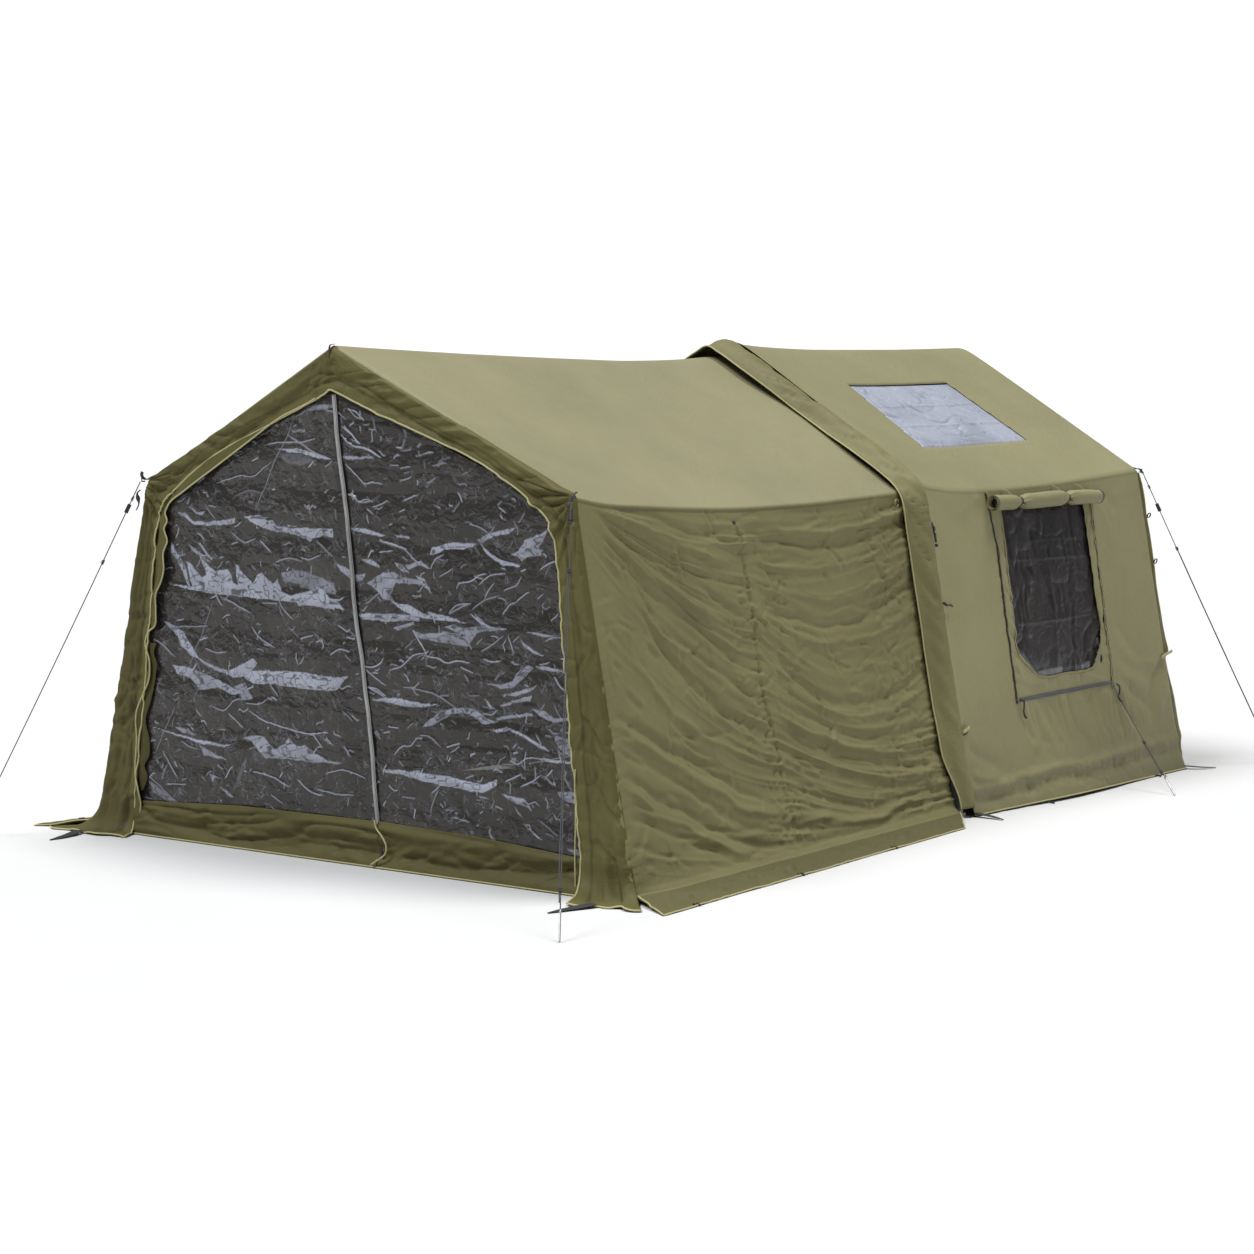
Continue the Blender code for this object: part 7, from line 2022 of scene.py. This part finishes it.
# dark tie at the hook over the ridge at the gable
apex = P3(0.0, front_lean(0.0, 2.38) - 0.006, 2.392)
strap("ridge_tie", [apex + np.array([0.004, 0.020, 0.016]), apex + np.array([0, -0.004, 0.012]), apex + np.array([-0.003, -0.008, -0.020]),
                    apex + np.array([-0.004, -0.006, -0.048])], 0.0050, 0.0016, WEB, (1, 0, 0))
# small pegging loops along the hems
k = 0
for x, d in ((1.578, 4.17), (1.620, 3.68), (1.560, 4.95)):
    for side in (-1, 1):
        pts = curve_through([P3(side * (x - 0.02), d - 0.012, 0.010), P3(side * (x + 0.014), d, 0.006), P3(side * (x - 0.02), d + 0.012, 0.010)], 18)
        put(tube(f"hem_loop_{k}", pts, None, 8, wide=(0, 0, 1), flat=(0.0040, 0.0012)), WEB)
        k += 1
for t in (0.10, 0.42, 0.74):
    x, d = mix(FLAP_FRONT[0], FLAP_REAR[0], t), mix(FLAP_FRONT[1], FLAP_REAR[1], t)
    for side in (-1, 1):
        pts = curve_through([P3(side * (x - 0.02), d - 0.014, 0.010), P3(side * (x + 0.012), d, 0.006), P3(side * (x - 0.02), d + 0.014, 0.010)], 18)
        put(tube(f"hem_loop_{k}", pts, None, 8, wide=(0, 0, 1), flat=(0.0040, 0.0012)), WEB)
        k += 1
# piping round the mud flaps and the main hem
for name, P_, side in (("left", ANNEX_LEFT, -1), ("right", ANNEX_RIGHT, 1)):
    rim = np.concatenate([P_[A_FOOT:, 1], P_[-1, 2:-1], P_[A_FOOT:, -1][::-1]]) * np.array([side, 1, 1])
    put(tube(f"flap_piping_{name}", even3(rim, 320) + np.array([0, 0, 0.0015]), 0.0036, 8), PIPING)
    hem = MAIN_RIGHT[-1] * np.array([side, 1, 1]) + np.array([side * 0.002, 0, 0.004])
    put(tube(f"main_hem_{name}", hem, 0.0040, 8), PIPING)

# webbing loops that tie the eave corners to their hooks
for key_, pts in (("front_left", [(-1.345, 0.075, 1.762), (-1.362, 0.042, 1.752), (-1.372, 0.032, 1.760), (-1.376, 0.028, 1.778), (-1.372, 0.030, 1.788)]),
                  ("front_right", [(1.350, 0.060, 1.764), (1.360, 0.026, 1.752), (1.361, 0.014, 1.740), (1.360, 0.004, 1.724), (1.356, -0.002, 1.714)]),
                  ("rear_right", [(1.165, 5.290, 1.716), (1.188, 5.312, 1.708), (1.200, 5.322, 1.706), (1.212, 5.326, 1.694), (1.222, 5.326, 1.682)])):
    pts = curve_through(P3(*np.array(pts).T), 26)
    strap(f"corner_tab_{key_}", pts, 0.0052 if key_ == "front_right" else 0.0085, 0.0022, WEB, (0.25, 1.0, 0.0) if key_ == "rear_right" else (1.0, 0.35, 0.0), n=26)
    if key_ == "front_right":
        strap("corner_tab_front_right_tip", [pts[-4], pts[-2] + np.array([0.0, -0.006, -0.010]), pts[-1] + np.array([-0.002, -0.008, -0.016])],
              0.0058, 0.0050, BLACK, (1.0, 0.35, 0.0), n=10)
# a dark hook and its tail under the front left corner
hook_ = curve_through(P3(*np.array([(-1.376, 0.018, 1.700), (-1.392, 0.012, 1.684), (-1.388, 0.012, 1.660), (-1.384, 0.014, 1.636), (-1.398, 0.010, 1.600)]).T), 26)
put(tube("corner_hook_front_left", hook_, 0.0030 + 0.0075 * bell(np.arange(26) - 11.0, 4.0), 10), BLACK)
# ================================================================ guy lines
for key_, (a, b) in GUYS.items():
    t = np.linspace(0, 1, 48)[:, None]
    up = P3(*a) - P3(*b)
    foot_ = P3(*b) + up / np.linalg.norm(up) * (PEG_OUT + PEG_R + GUY_R + 0.0006)
    path = mix(P3(*a), foot_, t) - np.array([0, 0, 4 * GUY_SAG[key_]]) * t * (1 - t)
    line_ = tube(f"guy_line_{key_}", path, GUY_R, 8)
    put(line_, ROPE, "tent", [f"guy_{key_}"])
    way = (path[-1] - path[0]) / np.linalg.norm(path[-1] - path[0])
    off = np.cross(way, (0, 0, 1))
    off /= np.linalg.norm(off)
    # the same cord doubled back, a finger's width beside it
    start = {"front_left": 0.240, "front_right": 0.175, "rear_right": 0.275, "side_right": 0.62}[key_]
    tt = np.linspace(start, 0.985, 60)[:, None]
    apart = 0.0052 + 0.0024 * smooth((tt - start) / 0.05) * smooth((0.985 - tt) / 0.05) * (1 + 0.4 * np.sin(tt * 23.0))
    second = mix(P3(*a), foot_, tt) - np.array([0, 0, 4 * GUY_SAG[key_]]) * tt * (1 - tt) + off * apart
    strand = put(tube(f"guy_strand_{key_}", second, GUY_R, 8), ROPE)
    for k, at_ in enumerate((start, 0.955) if key_ == "side_right" else (0.05, start, 0.955)):
        c = mix(P3(*a), foot_, at_) - np.array([0, 0, 4 * GUY_SAG[key_]]) * at_ * (1 - at_) + off * (0.0025 if at_ >= start else 0.0)
        an = np.linspace(0, 7 * math.pi, 56)
        wrap = c + way * np.linspace(-0.011, 0.011, 56)[:, None] + (0.0066 if at_ >= start else 0.0048) * (off * np.cos(an)[:, None] + np.cross(way, off) * np.sin(an)[:, None])
        put(tube(f"guy_knot_{k}_{key_}", wrap, 0.0021, 6), ROPE)

# ================================================================ floor, light
bm = bmesh.new()
bmesh.ops.create_grid(bm, x_segments=1, y_segments=1, size=60.0)
me = bpy.data.meshes.new("floor")
bm.to_mesh(me)
bm.free()
floor = bpy.data.objects.new("floor", me)
bpy.context.scene.collection.objects.link(floor)
s = Shade("floor")
s.set(Base_Color=s.ramp(s.noise(0.6, 3.0), (0.3, (0.600, 0.600, 0.602)), (0.7, (0.615, 0.615, 0.617))), Roughness=0.95)
s.shader.inputs["Specular IOR Level"].default_value = 0.0
floor.data.materials.append(s.m)

# a dim surround that looks white to the camera
world = bpy.data.worlds.new("studio")
bpy.context.scene.world = world
world.use_nodes = True
wt = world.node_tree
back = wt.nodes["Background"]
back.inputs["Color"].default_value = (0.96, 0.98, 1.0, 1.0)
sees = wt.nodes.new("ShaderNodeLightPath")
strength = wt.nodes.new("ShaderNodeMapRange")
strength.inputs["To Min"].default_value = 0.30
strength.inputs["To Max"].default_value = 1.15
wt.links.new(sees.outputs["Is Camera Ray"], strength.inputs["Value"])
wt.links.new(strength.outputs["Result"], back.inputs["Strength"])

sun = bpy.data.lights.new("key", "SUN")
sun.energy = 2.30
sun.angle = math.radians(22)
sun.color = (1.0, 0.99, 0.975)
obj = bpy.data.objects.new("key", sun)
bpy.context.scene.collection.objects.link(obj)
obj.rotation_euler = Vector((0.15, 0.22, 0.965)).to_track_quat("Z", "Y").to_euler()


fill = bpy.data.lights.new("front", "SUN")
fill.energy = 2.50
fill.angle = math.radians(22)
fill.color = (0.97, 0.985, 1.0)
obj = bpy.data.objects.new("front", fill)
bpy.context.scene.collection.objects.link(obj)
obj.rotation_euler = Vector((-0.22, -0.44, 0.87)).to_track_quat("Z", "Y").to_euler()
bpy.context.scene.view_settings.view_transform = "Standard"
